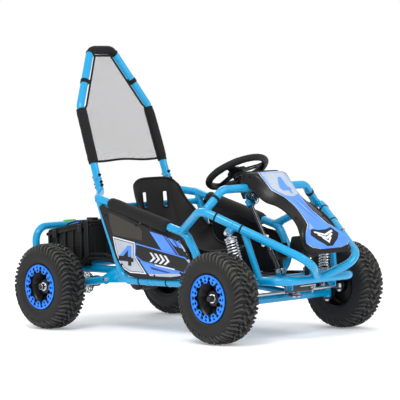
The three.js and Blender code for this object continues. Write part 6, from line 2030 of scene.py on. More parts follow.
def make_steering_wheel():
    rings = []
    for k in range(120):
        angle = TURN * k / 120
        rings.append(Vector((WHEEL_RING * cos(angle), WHEEL_RING * sin(angle), 0)))
    sides = 22
    shape = Shape()
    for k, point in enumerate(rings):
        angle = TURN * k / 120
        out = point.normalized()
        near = min(abs((angle - spoke + pi) % TURN - pi) for spoke in SPOKE_ANGLES)
        swell = 1.0 + 0.05 * exp(-((near - 0.34) / 0.12) ** 2)
        for i in range(sides):
            turn = TURN * i / sides
            under = max(0.0, -sin(turn))
            grips = 0.55 * under * cos(angle * 40) if near > 0.42 else 0.0
            radius = WHEEL_GRIP / 2 * swell + grips
            shape.points.append(point + out * cos(turn) * radius * 0.97 + Vector((0, 0, sin(turn) * radius)))
    shape.faces = ring_faces(len(rings), sides, True)
    piece("steering_wheel_grip", shape.moved(wheel_place()), GRIP, "steering_wheel", angle=60)
    spokes = Shape()
    for angle in SPOKE_ANGLES:
        ring = [(22, -24), (40, -19), (WHEEL_RING - 30, -16), (WHEEL_RING - 8, -25), (WHEEL_RING, -25),
                (WHEEL_RING, 25), (WHEEL_RING - 8, 25), (WHEEL_RING - 30, 16), (40, 19), (22, 24)]
        hole = round_ring([(50, -7), (84, -6), (84, 6), (50, 7)], 5)
        spokes.join(plate(round_ring(ring, 12), 5, None, [hole] if angle < pi else (), edge=0.9)
                    .moved(wheel_place(angle)))
    extra("steering_wheel_spokes", spokes, BLACK_STEEL, "steering_wheel", angle=40)
    hub = turned([(-22.4, 9.6), (-22.4, 22), (-20, 24), (-8, 25), (-5, 39), (3, 39.6), (5.2, 38), (6.2, 34),
                  (6.2, 25), (8.4, 23), (8.4, 0.5)], sides=48)
    extra("steering_wheel_hub", hub.moved(wheel_place()), PLASTIC, "steering_wheel")
    top = wheel_place()
    way = top.to_3x3() @ Vector(UP)
    spots = [(top @ Vector((31 * cos(a), 31 * sin(a), 6.2)), way)
             for a in [pi / 6 + pi / 3 * k for k in range(6)]]
    bolts("steering_wheel_screws", spots, "steering_wheel", DARK_STEEL, head=7, height=3, washer=10)


def make_steering_column():
    run = (COLUMN_TOP - COLUMN_WAY * 22.7 - COLUMN_END).length
    shape = turned([(0, 1), (0, COLUMN_D / 2), (run - 4.2, COLUMN_D / 2), (run - 4.2, 23), (run - 3.6, 23.4),
                    (run - 0.6, 23.4), (run, 22.6), (run, 1)], COLUMN_END, COLUMN_WAY, 28)
    for z in (579, 240):
        for shift in (-18, 18):
            middle = column_at(z) + COLUMN_WAY * shift
            shape.join(collar(3, 9, 14, middle, COLUMN_WAY, 24, 0.6))
    knee, eye = Vector((KNEE_X, 0, PITMAN_Z)), Vector((PITMAN_X, 0, PITMAN_Z))
    shape.join(turned([(-8, 8), (-8, 12.4), (-7, 13.2), (9, 13.2), (10, 12.4), (10, 8)], COLUMN_END,
                      COLUMN_WAY, 24))
    slope = knee - COLUMN_END
    shape.join(plate(link_outline(slope.length, 21), 5.6, facing(COLUMN_END, slope, LEFT), edge=0.8))
    shape.join(plate(link_outline(PITMAN_X - KNEE_X, 21.4), 6, facing(knee, AHEAD, LEFT), edge=0.8))
    shape.join(turned([(-3, 0.5), (-3, 20.6), (-2.2, 21.6), (2.2, 21.6), (3, 20.6), (3, 0.5)], eye, UP, 36))
    piece("steering_column_shaft", shape, COLUMN_BLACK, "steering_column")
    spots = [(eye + Vector((0, side * 13, -3)), Vector((0, 0, -1))) for side in (-1, 1)]
    bolts("steering_arm_nuts", spots, "steering_column", head=12, height=6, washer=15)
    # A thin white strip along the column: a painted highlight that stands for the shine on the glossy black
    # column.
    line = [column_at(z) + Vector((9.4, -4.5, 0)) for z in (330, 560)]
    extra("steering_column_wire", tube(line, 2.2, 8), VINYL_WHITE, "steering_column", slot="steel")


def make_pedals():
    for name, side in (("accelerator", -1), ("brake", 1)):
        like = f"{name}_pedal"
        pivot = Vector((PEDAL_X, side * PEDAL_Y, PEDAL_Z))
        shape = collar(12, 5.8, 10, pivot, LEFT, 24, 1)
        lever = [(-8, 0), (-7, 40), (-5.5, 62), (5.5, 62), (7, 40), (8, 0)]
        lie = facing(pivot + Vector((1, 0, 4)), LEFT, (0.07, 0, 1))
        shape.join(plate(lever, 5, lie, edge=0.8))
        pad_middle = pivot + Vector((5, 0, 75.5))
        lie = facing(pad_middle, LEFT, UP)
        holes = [circle(3, 12, -20 + 20 * a, -18 + 18 * b) for a in range(3) for b in range(3) if (a + b) % 2]
        shape.join(plate(rounded(62, 66, 9), 4.6, lie, holes, edge=0.9))
        for k in range(5):
            z = -24 + 12 * k
            shape.join(plate(rounded(52, 3.2, 1.2), 3.6, facing(pad_middle + Vector((-3, 0, z)), LEFT, UP),
                             edge=0.7))
        piece(f"{name}_pedal_forging", shape, BLACK_PAINT, like)
        coil = []
        for k in range(73):
            angle = TURN * k / 12
            coil.append(pivot + Vector((11.6 * cos(angle), (k / 72 - 0.5) * 11, 11.6 * sin(angle))))
        extra(f"{name}_return_spring", tube(coil, 1.8, 6), STEEL, like, slot="steel")


def make_dash_parts():
    """The clamp on the dash hoop that carries the column's upper bush, with its bolts and a coiled lead."""
    spots = []
    block = Shape()
    for side in (-1, 1):
        ring = round_ring([(-24, -34), (20, -34), (26, -8), (18, 16), (-20, 16)], 7)
        lie = facing((376, side * 22, 588), AHEAD, UP)
        block.join(plate(ring, 5, lie, edge=0.8))
        spots += [(Vector((376 + a, side * 24.6, 588 + b)), Vector((0, side, 0)))
                  for a, b in ((-10, 4), (12, -20))]
    extra("dash_clamp_plates", block, BLACK_PAINT, "dash_hoop", slot="black_paint")
    bolts("dash_clamp_bolts", spots, "dash_hoop", head=12, height=6, washer=17)
    coil = []
    for k in range(85):
        angle = TURN * k / 14
        coil.append(Vector((352 + k * 0.55, -40 - 17 * cos(angle), 548 + 17 * sin(angle) - k * 0.24)))
    ends = [Vector((340, -20, 575)), *coil, Vector((404, -24, 560))]
    extra("dash_lead_coil", tube(ends, 3.6, 8), GRIP, "dash_hoop", slot="black_plastic", angle=60)


# Suspension, axles and drive

COIL_DROP = 28.3


def shock_place(top, foot):
    return Matrix.Translation(Vector(top)) @ shock_turn(top, foot).to_matrix().to_4x4()


def eye_bush(at_z):
    return collar(8, 6, 11, (0, 0, at_z), LEFT, 28, 0.8)


def pin_ends(middle, pin_way):
    """Where the two ends of a shock's pin come out, with their ways."""
    return [(middle + pin_way * shift * 12.6, pin_way * shift) for shift in (-1, 1)]


def coil_line(length, curls, radius, wire):
    """A spring's wire: closed at both ends and open between, inside its length."""
    steps = 20
    count = int(curls * steps)
    line = []
    ends = 1.0
    flat = wire * 1.04
    low, high = -COIL_DROP - length + wire / 2 + 0.2, -COIL_DROP - wire / 2 - 0.2
    free = (high - low - 2 * ends * flat) / (curls - 2 * ends)
    for k in range(count + 1):
        turn = k / steps
        rise = min(turn, ends) * flat + max(0.0, min(turn, curls - ends) - ends) * free
        rise += max(0.0, turn - curls + ends) * flat
        angle = TURN * turn
        line.append(Vector((radius * cos(angle), radius * sin(angle), low + rise)))
    return line


def make_shock(prefix, top, foot, spring_length, curls):
    """One shock: its body with a collar and a perch, its rod with a bump stop, and the coil over both."""
    length = (Vector(foot) - Vector(top)).length
    lie = shock_place(top, foot)
    low = -length * 0.56
    body = eye_bush(0)
    body.join(turned([(-24, 7), (-13, 7.4), (-9, 9.4), (-6, 9.6)], (0, 0, 0), UP, 24))
    body.join(turned([(-28, 13), (-28, 23.6), (-27.4, 24.6), (-24.2, 25), (-23.4, 24.2), (-22.6, 18),
                      (-19.6, 15.4), (-19.6, 6)], (0, 0, 0), UP, 36, looped=True))
    wall = [(low, 6.9), (low, 12.2), (low + 1, 13), (low + 9, 13), (low + 9.6, 12.4), (low + 12, 12.4),
            (-46, 12.4)]
    for k in range(6):
        z = -45.4 + 2.8 * k
        wall += [(z, 12.4), (z + 0.8, 13), (z + 1.6, 13), (z + 2.2, 12.4)]
    wall += [(-28, 12.4), (-28, 6.9)]
    body.join(turned(wall, (0, 0, 0), UP, 28, looped=True))
    piece(f"{prefix}_damper", body.moved(lie), STEEL, f"{prefix}_body")
    sleeve = turned([(low + 11, 12.5), (low + 11, 15.2), (low + 12, 15.8), (-31, 15.8), (-30, 15.2),
                     (-30, 12.5)],
                    (0, 0, 0), UP, 28, looped=True)
    extra(f"{prefix}_dust_sleeve", sleeve.moved(lie), GRIP, f"{prefix}_body", slot="black_plastic")
    seat = -28.6 - spring_length
    rod_shape = turned([(seat - 4, 1), (seat - 4, 6), (-length * 0.42, 6), (-length * 0.42, 1)], (0, 0, 0),
                       UP, 20)
    piece(f"{prefix}_piston_rod", rod_shape.moved(lie), CHROME, f"{prefix}_rod")
    foot_shape = turned([(seat, 6.2), (seat, 24), (seat - 0.7, 25), (seat - 4, 25), (seat - 4.8, 24.2),
                         (seat - 5.4, 15), (seat - 9, 10.4), (seat - 12, 8.2), (-length + 9, 7.8),
                         (-length + 6, 8.8), (-length + 6, 0.5)], (0, 0, 0), UP, 32)
    foot_shape.join(eye_bush(-length))
    extra(f"{prefix}_foot", foot_shape.moved(lie), STEEL, f"{prefix}_rod")
    stop = turned([(seat, 6.2), (seat, 11.5), (seat + 4, 12), (seat + 6, 10), (seat + 9, 11.6),
                   (seat + 13, 11), (seat + 15, 8), (seat + 15, 6.2)], (0, 0, 0), UP, 24, looped=True)
    extra(f"{prefix}_bump_stop", stop.moved(lie), GRIP, f"{prefix}_rod", slot="black_plastic")
    coil = tube(coil_line(spring_length, curls, 20, 6), 6, 10).moved(lie)
    made = piece(f"{prefix}_coil", coil, CHROME, f"{prefix}_spring", angle=60)
    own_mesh(made)
    return pin_ends(Vector(top), lie.to_3x3() @ Vector(LEFT))


def make_shocks():
    for name, side in SIDES:
        top, foot = shock_ends(side)
        spots = make_shock(f"front_shock_{name}", top, foot, 148, 14)
        bolts(f"front_shock_top_bolts_{name}", spots, f"upper_rail_{name}", head=15, height=7, washer=20)
        pin_way = shock_place(top, foot).to_3x3() @ Vector(LEFT)
        feet = pin_ends(Vector(foot), pin_way)
        bolts(f"front_shock_foot_bolts_{name}", feet, "front_swing_frame", head=15, height=7, washer=20)
    spots = make_shock("rear_shock", REAR_SHOCK_TOP, REAR_SHOCK_FOOT, 128, 12)
    bolts("rear_shock_top_bolts", spots, "seat_cross_tube", head=15, height=7, washer=20)
    bolts("rear_shock_foot_bolts", pin_ends(REAR_SHOCK_FOOT, Vector(LEFT)), "rear_swing_arm", head=15,
          height=7, washer=20)


BEAM_Z = 148
KING_Y = 255
ARM_Y = 112
PIVOT_X = 230
PIVOT_Z = 172


def make_front_swing():
    ends = (Vector((FRONT_X, -KING_Y, BEAM_Z)), Vector((FRONT_X, KING_Y, BEAM_Z)))
    shape = rod(ends[0], ends[1], TUBE, 24)
    for side in (-1, 1):
        start, end = Vector((PIVOT_X, side * ARM_Y, PIVOT_Z)), Vector((FRONT_X, side * ARM_Y, BEAM_Z))
        shape.join(rod(start, end, LEG_TUBE, 22))
        shape.join(weld(end, start - end, LEG_TUBE, end, LEFT, TUBE))
        shape.join(weld(start, end - start, LEG_TUBE, start, LEFT, 30))
        boss = (FRONT_X, side * KING_Y, AXLE_Z - 14)
        shape.join(collar(32, 7.2, 15, boss, UP, 28, 1))
        shape.join(weld((FRONT_X, side * KING_Y, BEAM_Z), (0, -side, 0), TUBE * 0.8, boss, UP, 30))
        top, foot = shock_ends(side)
        pin_way = shock_place(top, foot).to_3x3() @ Vector(LEFT)
        shape.join(ears(foot, (FRONT_X, foot.y, BEAM_Z), pin_way, 18))
        gusset = round_ring([(0, 0), (46, 0), (0, 46)], 6)
        lie = facing((FRONT_X - 14, side * (ARM_Y + 12), BEAM_Z + 2), (-1, 0, 0.09), (0, side, 0))
        shape.join(plate(gusset, SHEET, lie, edge=0.6))
    shape.join(collar(150, 7.8, 15, (PIVOT_X, 0, PIVOT_Z), LEFT, 28, 1))
    piece("front_swing_frame_tubes", shape, PAINT, "front_swing_frame")
    spots = [(Vector((PIVOT_X, side * 156.4, PIVOT_Z)), Vector((0, side, 0))) for side in (-1, 1)]
    bolts("front_pivot_bolts", spots, "floor_frame", head=19, height=9, washer=26)


def make_knuckles():
    for name, side in SIDES:
        mid = AXLE_Z - 14
        face = side * (KING_Y + 19)
        lie = facing((FRONT_X, face + side * 3.5, mid), AHEAD, UP)
        ring = round_ring([(-14, -40), (14, -40), (19, -12), (19, 26), (13, 40), (-13, 40), (-19, 26),
                           (-19, -12)], 6)
        shape = plate(ring, 7, lie, edge=1.0)
        for z in (mid - 35.8, mid + 35.8):
            flat = [(side * a, b) for a, b in ((0, -15), (0, 15), (22, 16), (22, -16))]
            lie = facing((FRONT_X, side * KING_Y, z), LEFT, (-1, 0, 0))
            shape.join(plate(circle(15, 28), 7, lie, edge=0.8))
            shape.join(plate(round_ring(flat, 1.5), 7, lie, edge=0.8))
        shape.join(rod((FRONT_X, side * KING_Y, mid - 39.3), (FRONT_X, side * KING_Y, mid + 39.3), 12, 16))
        shape.join(turned([(0, 17), (5, 16), (8, 12.5), (11, 10), (91, 10), (125, 9.6), (125, 1)],
                          (FRONT_X, face + side * 2, AXLE_Z), (0, side, 0), 26))
        elbow, eye = Vector((519, side * 277.5, 166)), Vector((555, side * KING_Y, 166))
        start = Vector((FRONT_X, side * 277.5, 166))
        shape.join(plate(link_outline((elbow - start).length, 13), 6,
                         facing(start, elbow - start, (0, side, 0)), edge=0.8))
        way = eye - elbow
        shape.join(plate(link_outline(way.length, 13), 6, facing(elbow, way, Vector(UP).cross(way)),
                         edge=0.8))
        shape.join(turned([(-3, 0.5), (-3, 9.4), (-2.3, 10), (2.3, 10), (3, 9.4), (3, 0.5)], eye, UP, 24))
        piece(f"knuckle_forging_{name}", shape, DARK_STEEL, f"knuckle_{name}")
        caps = [(Vector((FRONT_X, side * KING_Y, mid + 39.5)), Vector(UP)),
                (Vector((FRONT_X, side * KING_Y, mid - 39.5)), Vector((0, 0, -1))),
                (Vector((555, side * KING_Y, 162.8)), Vector((0, 0, -1)))]
        bolts(f"kingpin_nuts_{name}", caps, f"knuckle_{name}", head=17, height=7, washer=22)
        outer, inner = Vector((555, side * KING_Y, 175.8)), Vector((555, side * 13, 175.8))
        way = (inner - outer).normalized()
        line = turned([(9, 4), (9, 6), (30, 6), (31, 4.6), (37, 4.6), (38, 6), (200, 6), (201, 4.6),
                       (207, 4.6), (208, 6), (234, 6), (234, 4)], outer, way, 14)
        for end in (outer, inner):
            line.join(turned([(-6.5, 4.4), (-6.5, 9), (-5.4, 10), (5.4, 10), (6.5, 9), (6.5, 4.4)], end, UP,
                             22, looped=True))
            line.join(turned([(-7, 3), (-6, 6), (0, 7.4), (6, 6), (7, 3)], end, UP, 18))
        for end, way_in in ((outer, way), (inner, -way)):
            line.join(turned([(31, 7.6), (36, 7.6)], end, way_in, 6))
        piece(f"tie_rod_bar_{name}", line, STEEL, f"tie_rod_{name}", angle=32)
        nuts = [(end + Vector((0, 0, 6.8)), Vector(UP)) for end in (outer, inner)]
        bolts(f"tie_rod_nuts_{name}", nuts, f"tie_rod_{name}", head=12, height=2.8, washer=14,
              washer_thick=0.8)


REAR_PIVOT = (-256, 204)
REAR_ARM_Y = 232
CROSS = (-318, 196)
MOTOR = (-392, 180)
CHAIN_Y = 168
DISC_Y = -150


def make_rear_arm():
    shape = Shape()
    for side in (-1, 1):
        start = Vector((REAR_PIVOT[0], side * REAR_ARM_Y, REAR_PIVOT[1]))
        end = Vector((REAR_X, side * REAR_ARM_Y, AXLE_Z))
        shape.join(rod(start + (end - start).normalized() * 10, end, TUBE, 24))
        shape.join(collar(15, 7.8, 15, start, LEFT, 28, 1))
        shape.join(turned([(-17, 13.3), (-17, 27.4), (-15.6, 29), (15.6, 29), (17, 27.4), (17, 13.3)], end,
                          LEFT, 40, looped=True))
        for shift in (-11, 11):
            shape.join(turned([(-1.4, 28), (-1.4, 30), (1.4, 30), (1.4, 28)], end + Vector((0, shift, 0)),
                              LEFT, 40, looped=True))
        shape.join(weld(end, start - end, TUBE, end, LEFT, 58))
        mid = Vector((CROSS[0], side * REAR_ARM_Y, CROSS[1]))
        shape.join(weld(mid, (0, -side, 0), LEG_TUBE, start, end - start, TUBE))
        gusset = round_ring([(0, 0), (44, 0), (0, 44)], 6)
        lie = facing((CROSS[0] - 9, side * (REAR_ARM_Y - 12), CROSS[1]), (-1, 0, 0), (0, -side, 0))
        shape.join(plate(gusset, SHEET, lie, edge=0.6))
    shape.join(rod((CROSS[0], -REAR_ARM_Y, CROSS[1]), (CROSS[0], REAR_ARM_Y, CROSS[1]), LEG_TUBE, 22))
    shape.join(ears(REAR_SHOCK_FOOT, (CROSS[0], 0, CROSS[1]), LEFT, 18))
    lie = facing(((CROSS[0] - 412) / 2, 32.7, 186.4), AHEAD, UP)
    shape.join(plate(rounded(94, 50, 8), 6, lie, edge=0.8))
    hanger_run = Vector((-419.3, DISC_Y, 182.2)) - Vector((CROSS[0], DISC_Y, CROSS[1]))
    lie = facing((CROSS[0], DISC_Y, CROSS[1]), hanger_run, hanger_run.cross(Vector(LEFT)))
    shape.join(plate([(0, -11), (hanger_run.length, -11), (hanger_run.length, 11), (0, 11)], 6, lie,
                     edge=0.6))
    piece("rear_swing_arm_tubes", shape, PAINT, "rear_swing_arm")
    spots = []
    for side in (-1, 1):
        for edge in (-1, 1):
            spots.append((Vector((REAR_PIVOT[0], side * REAR_ARM_Y + edge * 21.4, REAR_PIVOT[1])),
                          Vector((0, edge, 0))))
    bolts("rear_pivot_bolts", spots, "floor_frame", head=14, height=7, washer=19)
    spots = [(Vector((-335 - 44 * a, 29.4, 170 + 32 * b)), Vector((0, -1, 0))) for a in (0, 1)
             for b in (0, 1)]
    bolts("motor_mount_bolts", spots, "rear_swing_arm", head=11, height=6, washer=16)


def make_motor():
    way = LEFT
    start = (MOTOR[0], 36, MOTOR[1])
    profile = [(0, 1), (0, 44), (1.5, 48), (4, 50), (17, 50), (18, 48.6), (21, 48.6), (22, 49)]
    profile += [(82, 49), (83, 48.6), (86, 48.6), (87, 50), (100, 50), (102.4, 49), (104, 46), (104, 40),
                (112, 39), (114, 36), (114, 8)]
    shape = turned(profile, start, way, 48)
    fins = Shape()
    for k in range(24):
        angle = TURN * k / 24
        out = Vector((cos(angle), 0, sin(angle)))
        lie = facing(Vector(start) + Vector((0, 52, 0)) + out * 48.8, LEFT, out)
        fins.join(plate(rounded(58, 2.6, 0.8), 3, lie, edge=0.5))
    box = box_of((MOTOR[0] - 20, 60, MOTOR[1] + 47), (MOTOR[0] + 20, 104, MOTOR[1] + 62))
    piece("drive_motor_housing", shape.join(fins, box), BLACK_PAINT, "drive_motor")
    spots = [(Vector((MOTOR[0] + 34 * cos(a), 140.5, MOTOR[1] + 34 * sin(a))), Vector(way))
             for a in [pi / 4 + pi / 2 * k for k in range(4)]]
    bolts("drive_motor_screws", spots, "drive_motor", head=8, height=4, washer=10)


CHAIN_PITCH = 12.7
TOOTH_TIP = -1.6
TOOTH_ROOT = 6.4


def toothed(teeth):
    """A chain sprocket's outline: round seats, and teeth that end just inside the chain's pins."""
    pitch = CHAIN_PITCH * teeth / TURN
    ring = []
    for k in range(teeth * 8):
        share = k / 8 % 1
        lift = 0.5 - 0.5 * cos(TURN * share)
        radius = mixed(pitch - TOOTH_ROOT, pitch + TOOTH_TIP, lift ** 1.3)
        angle = TURN * k / (teeth * 8)
        ring.append((radius * cos(angle), radius * sin(angle)))
    return ring


def chain_path():
    big, small = Vector((REAR_X, AXLE_Z)), Vector((MOTOR[0], MOTOR[1]))
    big_r, small_r = (CHAIN_PITCH * teeth / TURN + 1.2 for teeth in (26, 9))
    heading = atan2(small.y - big.y, small.x - big.x)
    spread = acos((big_r - small_r) / (small - big).length)
    line = []
    for k in range(25):
        angle = mixed(heading + spread, heading + TURN - spread, k / 24)
        line.append(Vector((big.x + big_r * cos(angle), CHAIN_Y, big.y + big_r * sin(angle))))
    for k in range(13):
        angle = mixed(heading - spread, heading + spread, k / 12)
        line.append(Vector((small.x + small_r * cos(angle), CHAIN_Y, small.y + small_r * sin(angle))))
    return line


def make_drive():
    for name, centre, teeth, like in (("rear", (REAR_X, AXLE_Z), 26, "rear_sprocket"),
                                      ("motor", MOTOR, 9, "motor_sprocket")):
        ring = toothed(teeth)
        lie = facing((centre[0], CHAIN_Y, centre[1]), AHEAD, UP)
        if teeth > 20:
            holes = [circle(12.9, 28)]
            for k in range(6):
                angle = TURN * k / 6
                holes.append(circle(8.4, 16, 34.5 * cos(angle), 34.5 * sin(angle)))
            shape = plate(ring, 3, lie, holes, edge=0.4)
        else:
            shape = plate(ring, 3, lie, edge=0.4)
            shape.join(turned([(0, 1), (0, 7), (21, 7), (22, 6), (22, 1)], (centre[0], 150.3, centre[1]),
                              LEFT, 20))
        piece(f"{name}_sprocket_plate", shape, STEEL, like, angle=32)
    line = chain_path()
    line.append(line[0].copy())
    even = spread_over(line, CHAIN_PITCH)
    if len(even) % 2 == 0:
        even = spread_over(line, CHAIN_PITCH * (len(even) - 1) / len(even))
    outer, inner, pins = Shape(), Shape(), Shape()
    for k, (a, b) in enumerate(zip(even, even[1:])):
        way = b - a
        for side in (-1, 1):
            y = side * (2.6 if k % 2 else 3.6)
            lie = facing(a + Vector((0, y, 0)), way, Vector(LEFT).cross(way))
            flat = [(p, q * (1 - 0.2 * exp(-((p - way.length / 2) / 2.4) ** 2)))
                    for p, q in link_outline(way.length, 9.6, 5)]
            (inner if k % 2 else outer).join(plate(flat, 0.9, lie))
        pins.join(rod(a + Vector((0, -4.6, 0)), a + Vector((0, 4.6, 0)), 4.6, 8))
    piece("drive_chain_links", outer.join(inner, pins), DARK_STEEL, "drive_chain", angle=32)
    nuts_end = HALF_TRACK + 30
    axle = turned([(-nuts_end - 20, 1), (-nuts_end - 20, 11.6), (-nuts_end - 19, 12.5), (nuts_end + 19, 12.5),
                   (nuts_end + 20, 11.6), (nuts_end + 20, 1)], (REAR_X, 0, AXLE_Z), LEFT, 28)
    for y, inward in ((CHAIN_Y, 1), (DISC_Y, -1)):
        middle = (REAR_X, y - inward * 3.4, AXLE_Z)
        axle.join(turned([(0, 12), (0, 25), (1, 25), (5, 25), (6, 22), (7, 18), (14, 18), (15, 17), (15, 12)],
                         middle, (0, -inward, 0), 32, looped=True))
    for y in (-197, 197):
        axle.join(turned([(-4, 12), (-4, 17.6), (-3, 18.4), (3, 18.4), (4, 17.6), (4, 12)],
                         (REAR_X, y, AXLE_Z), LEFT, 28, looped=True))
    piece("rear_axle_shaft", axle, STEEL, "rear_axle")
    spots = []
    for y, inward in ((CHAIN_Y, 1), (DISC_Y, -1)):
        for k in range(4):
            angle = pi / 4 + pi / 2 * k
            spots.append((Vector((REAR_X + 20.5 * cos(angle), y + inward * 1.6, AXLE_Z + 20.5 * sin(angle))),
                          Vector((0, inward, 0))))
    bolts("rear_carrier_bolts", spots, "rear_axle", head=8, height=4, washer=10)
    holes = [circle(12.9, 28)]
    for row, (radius, size) in enumerate(((30, 3.6), (39, 3.0))):
        for k in range(12):
            angle = TURN * (k + row / 2) / 12
            holes.append(circle(size, 10, radius * cos(angle), radius * sin(angle)))
    wavy = [(p * (1 - 0.022 * cos(12 * atan2(q, p))), q * (1 - 0.022 * cos(12 * atan2(q, p))))
            for p, q in circle(46.8, 96)]
    lie = facing((REAR_X, DISC_Y, AXLE_Z), AHEAD, UP)
    piece("brake_disc_plate", plate(wavy, 3, lie, holes, edge=0.4), STEEL, "brake_disc", angle=32)
    made = Shape()
    for side in (-1, 1):
        ring = round_ring([(-17, -22), (9, -22), (17, -12), (17, 14), (9, 22), (-17, 22)], 7)
        lie = facing((-436, DISC_Y + side * 9.8, 182.2), AHEAD, UP)
        made.join(plate(ring, 14.2, lie, edge=1.6))
        made.join(turned([(0, 12), (3, 12), (4.6, 10.6), (4.6, 1)], (-438, DISC_Y + side * 16.6, 182),
                         (0, side, 0), 24))
    made.join(box_of((-426, DISC_Y - 6, 165), (-420.5, DISC_Y + 6, 199)))
    piece("brake_caliper_body", made, BLACK_PAINT, "brake_caliper")


def make_floor():
    shape = Shape()
    for x in FLOOR_CROSS_X:
        reach = hoop_plane(x, FLOOR_Z) - TUBE / 2 - 0.4
        shape.join(rod((x, -reach, FLOOR_Z), (x, reach, FLOOR_Z), TUBE, 24))
        for side in (-1, 1):
            shape.join(weld((x, side * (reach - 20), FLOOR_Z), (0, -side, 0), TUBE,
                            (x, side * hoop_plane(x, FLOOR_Z), FLOOR_Z), AHEAD, TUBE))
    for side in (-1, 1):
        shape.join(rod((-115, side * 160, FLOOR_Z), (262, side * 160, FLOOR_Z), LEG_TUBE, 22))
        for x, way in ((-115, 1), (262, -1)):
            shape.join(weld((x, side * 160, FLOOR_Z), (way, 0, 0), LEG_TUBE, (x, 0, FLOOR_Z), LEFT, TUBE))
        ring = [(PIVOT_X + 9 * cos(a) * 1.4, PIVOT_Z + 12 * sin(a)) for a in
                [pi + pi * k / 8 for k in range(9)]] + [(276, 204), (248, FLOOR_Z)]
        lie = facing((0, side * 152.3, 0), AHEAD, UP)
        shape.join(plate(ring, SHEET, lie, edge=0.5))
        for edge in (-1, 1):
            y = side * REAR_ARM_Y + edge * 17.3
            ring = [(REAR_PIVOT[0] + 14 * cos(a), REAR_PIVOT[1] + 14 * sin(a)) for a in
                    [pi / 2 + pi * k / 10 for k in range(11)]] + [(-117, 197), (-117, 219)]
            shape.join(plate(ring, SHEET, facing((0, y, 0), AHEAD, UP), edge=0.5))
        shape.join(rod((REAR_PIVOT[0], side * REAR_ARM_Y - 19.2, REAR_PIVOT[1]),
                       (REAR_PIVOT[0], side * REAR_ARM_Y + 19.2, REAR_PIVOT[1]), 14, 16))
        for x in (-115, 120):
            lie = facing((x, side * 86, 234), LEFT, UP)
            shape.join(plate(rounded(TUBE, 40, 4), SHEET, lie, edge=0.6))
    shape.join(rod((PIVOT_X, -154, PIVOT_Z), (PIVOT_X, 154, PIVOT_Z), 14, 16))
    piece("floor_frame_tubes", shape, PAINT, "floor_frame")
    pan = Shape()
    lie = facing((332, 0, 225.3), AHEAD, LEFT)
    ring = [(-204, -134), (204, -134), (204, -27), (124, -27), (124, 27), (204, 27), (204, 134), (-204, 134)]
    pan.join(plate(ring, 2, lie, edge=0.3))
    for k in (-1, 1):
        for y in (67, 98):
            pan.join(plate(rounded(380 if y > 70 else 300, 9, 4), 4.4,
                           facing((318 if y > 70 else 292, k * y, 228), AHEAD, LEFT), edge=1.2))
    pan.join(plate(rounded(300, 9, 4), 4.4, facing((292, 0, 228), AHEAD, LEFT), edge=1.2))
    for side in (-1, 1):
        pan.join(box_of((130, min(side * 134, side * 131.6), 225), (534, max(side * 134, side * 131.6), 239)))
    piece("floor_pan_sheet", pan, BLACK_PAINT, "floor_pan")
    spots = [(Vector((x, side * 118, 226.4)), Vector(UP)) for x in (150, 262, 380, 500) for side in (-1, 1)]
    bolts("floor_pan_screws", spots, "floor_pan", head=9, height=4, washer=15)


def make_seat_cross():
    x, z = -250, 495
    reach = hoop_plane(x, z) - TUBE / 2 - 0.4
    shape = rod((x, -reach, z), (x, reach, z), LEG_TUBE, 22)
    for side in (-1, 1):
        shape.join(weld((x, side * (reach - 20), z), (0, -side, 0), LEG_TUBE, (x, side * hoop_plane(x, z), z),
                        (-0.36, 0, 0.93), TUBE))
    shape.join(ears(REAR_SHOCK_TOP, (x, 0, z), LEFT, 22))
    piece("seat_cross_tube_weldment", shape, PAINT, "seat_cross_tube")


# Small parts on the frame

def band_on(middle, way, across, wide=5.0):
    """A tie band round a tube, with its lock."""
    shape = turned([(-wide / 2, across / 2), (-wide / 2, across / 2 + 1.5), (wide / 2, across / 2 + 1.5),
                    (wide / 2, across / 2)], middle, way, 28, looped=True)
    inward = Vector(way).normalized().cross(Vector(UP)).normalized()
    inward *= -copysign(1, inward.y * Vector(middle).y)
    lie = facing(Vector(middle) + inward * (across / 2 + 2.6), way, UP)
    return shape.join(plate(rounded(wide + 2.4, 7, 1.2), 5, lie, edge=0.6))


def make_bands():
    for name, side in SIDES:
        shape = Shape()
        for x in (-40, 115):
            shape.join(band_on(hoop(x, 208, side), (1, -0.022 * side, 0), TUBE))
        crown, nose = rail_ends(side)
        for share in (0.138, 0.365):
            shape.join(band_on(crown.lerp(nose, share), nose - crown, TUBE, 6.5))
        foot, knee = Vector((388, side * 316, 490)), Vector((404, side * 230, 574))
        shape.join(band_on(foot.lerp(knee, 0.62), knee - foot, TUBE, 11))
        extra(f"tie_bands_{name}", shape, GRIP, f"upper_rail_{name}", slot="black_plastic")
        middle = crown.lerp(nose, 0.58)
        run = (nose - crown).normalized()
        up = (Vector(UP) - run * run.z).normalized()
        bolts(f"rail_bolts_{name}", [(middle + up * end * 16, up * end) for end in (-1, 1)],
              f"upper_rail_{name}", head=13, height=6, washer=16)


def make_gussets():
    for name, side in SIDES:
        pivot = Vector((REAR_PIVOT[0], side * (REAR_ARM_Y + 19.4), REAR_PIVOT[1]))
        run = Vector((-160, pivot.y, 246)) - pivot
        lie = facing(pivot, run, (-run.z, 0, run.x))
        outline = link_outline(run.length, 40)
        extra(f"pivot_gusset_{name}", plate(outline, SHEET, lie, [circle(7.8, 20)], edge=0.6), PAINT,
              "floor_frame", slot="frame_paint")


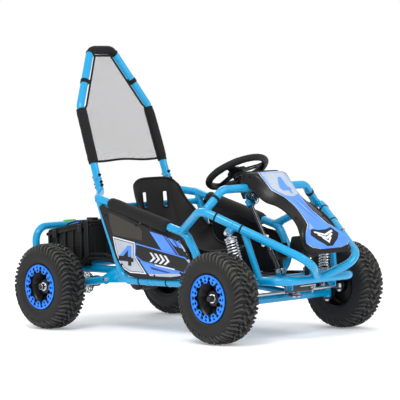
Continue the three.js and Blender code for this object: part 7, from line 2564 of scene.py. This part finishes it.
def make_column_clamp():
    """A bush on the column with a blue bracket before it, below the dash."""
    z = 545
    bush = collar(13, 9.8, 20, column_at(z), COLUMN_WAY, 28, 1)
    arm = Vector((404, 0, 574)) - column_at(z)
    lie = facing(column_at(z) + arm * 0.6, arm, LEFT)
    bush.join(plate(rounded(arm.length * 0.6, 26, 4), 7, lie, edge=0.8))
    extra("column_clamp", bush, BLACK_PAINT, "dash_hoop", slot="black_paint")
    out = Vector((0.8, -0.6, 0))
    middle = Vector((330, -14, 541))
    shape = plate(rounded(27, 34, 8), SHEET, facing(middle, (0.6, 0.8, 0), UP), edge=0.6)
    shape.join(rod(middle - out * 16, middle, 14, 16))
    extra("column_bracket", shape, PAINT, "dash_hoop", slot="frame_paint")
    spots = [(middle + out * 2.2, out), (Vector((350, -13.5, 561)), Vector((0, -1, 0)))]
    bolts("column_bracket_bolts", spots, "dash_hoop", head=11, height=5, washer=15)


def make_guard():
    """A black plate hung from the front cross tube, with a bent wire along its top."""
    top, foot = Vector((638, -40, 216)), Vector((609, -40, 179))
    run = foot - top
    shape = plate(rounded(run.length, 150, 7), 3, facing(top + run / 2, run, LEFT), edge=0.5)
    extra("front_guard_plate", shape, BLACK_PAINT, "front_loop", slot="black_paint")
    wire = bent([(640, -62, 203), (640, 26, 203, 8), (616, 30, 172)], 8)
    extra("front_guard_wire", tube(wire, 6, 10), STEEL, "front_loop", slot="steel")
    spots = [(Vector((625.5, y, 196)), Vector((0.79, 0, -0.61))) for y in (-98, 18)]
    bolts("front_guard_bolts", spots, "front_loop", head=10, height=5, washer=14)
    block = Shape()
    ring = round_ring([(-50, -52), (-8, -56), (44, -12), (46, 20), (30, 31), (-30, 27)], 9)
    block.join(plate(ring, 42, facing((608, -18, 362), AHEAD, UP), edge=3))
    block.join(plate(rounded(24, 106, 4), 4, facing((638, -18, 293), LEFT, UP), edge=0.6))
    extra("horn_box", block, PLASTIC, "front_loop", slot="black_plastic")
    tape = along_y([(-8, 14), (8, 14), (6, 20), (-6, 20)], 30).shifted(-692, -64, 406)
    extra("rear_bar_tape", tape, LABEL_GREEN, "rear_frame", edge=1.0, slot="black_plastic")


add_camera()
add_studio()
make_side_hoops()
make_upper_rails()
make_dash_hoop()
make_front_loop()
make_rear_frame()
make_roll_bar()
make_wheels()
make_pads()
make_top_sleeve()
make_net()
make_seat()
make_nose()
make_side_panels()
make_battery_box()
make_steering_wheel()
make_steering_column()
make_pedals()
make_dash_parts()
make_shocks()
make_front_swing()
make_knuckles()
make_rear_arm()
make_motor()
make_drive()
make_floor()
make_seat_cross()
make_bands()
make_gussets()
make_column_clamp()
make_guard()
dress_cad()
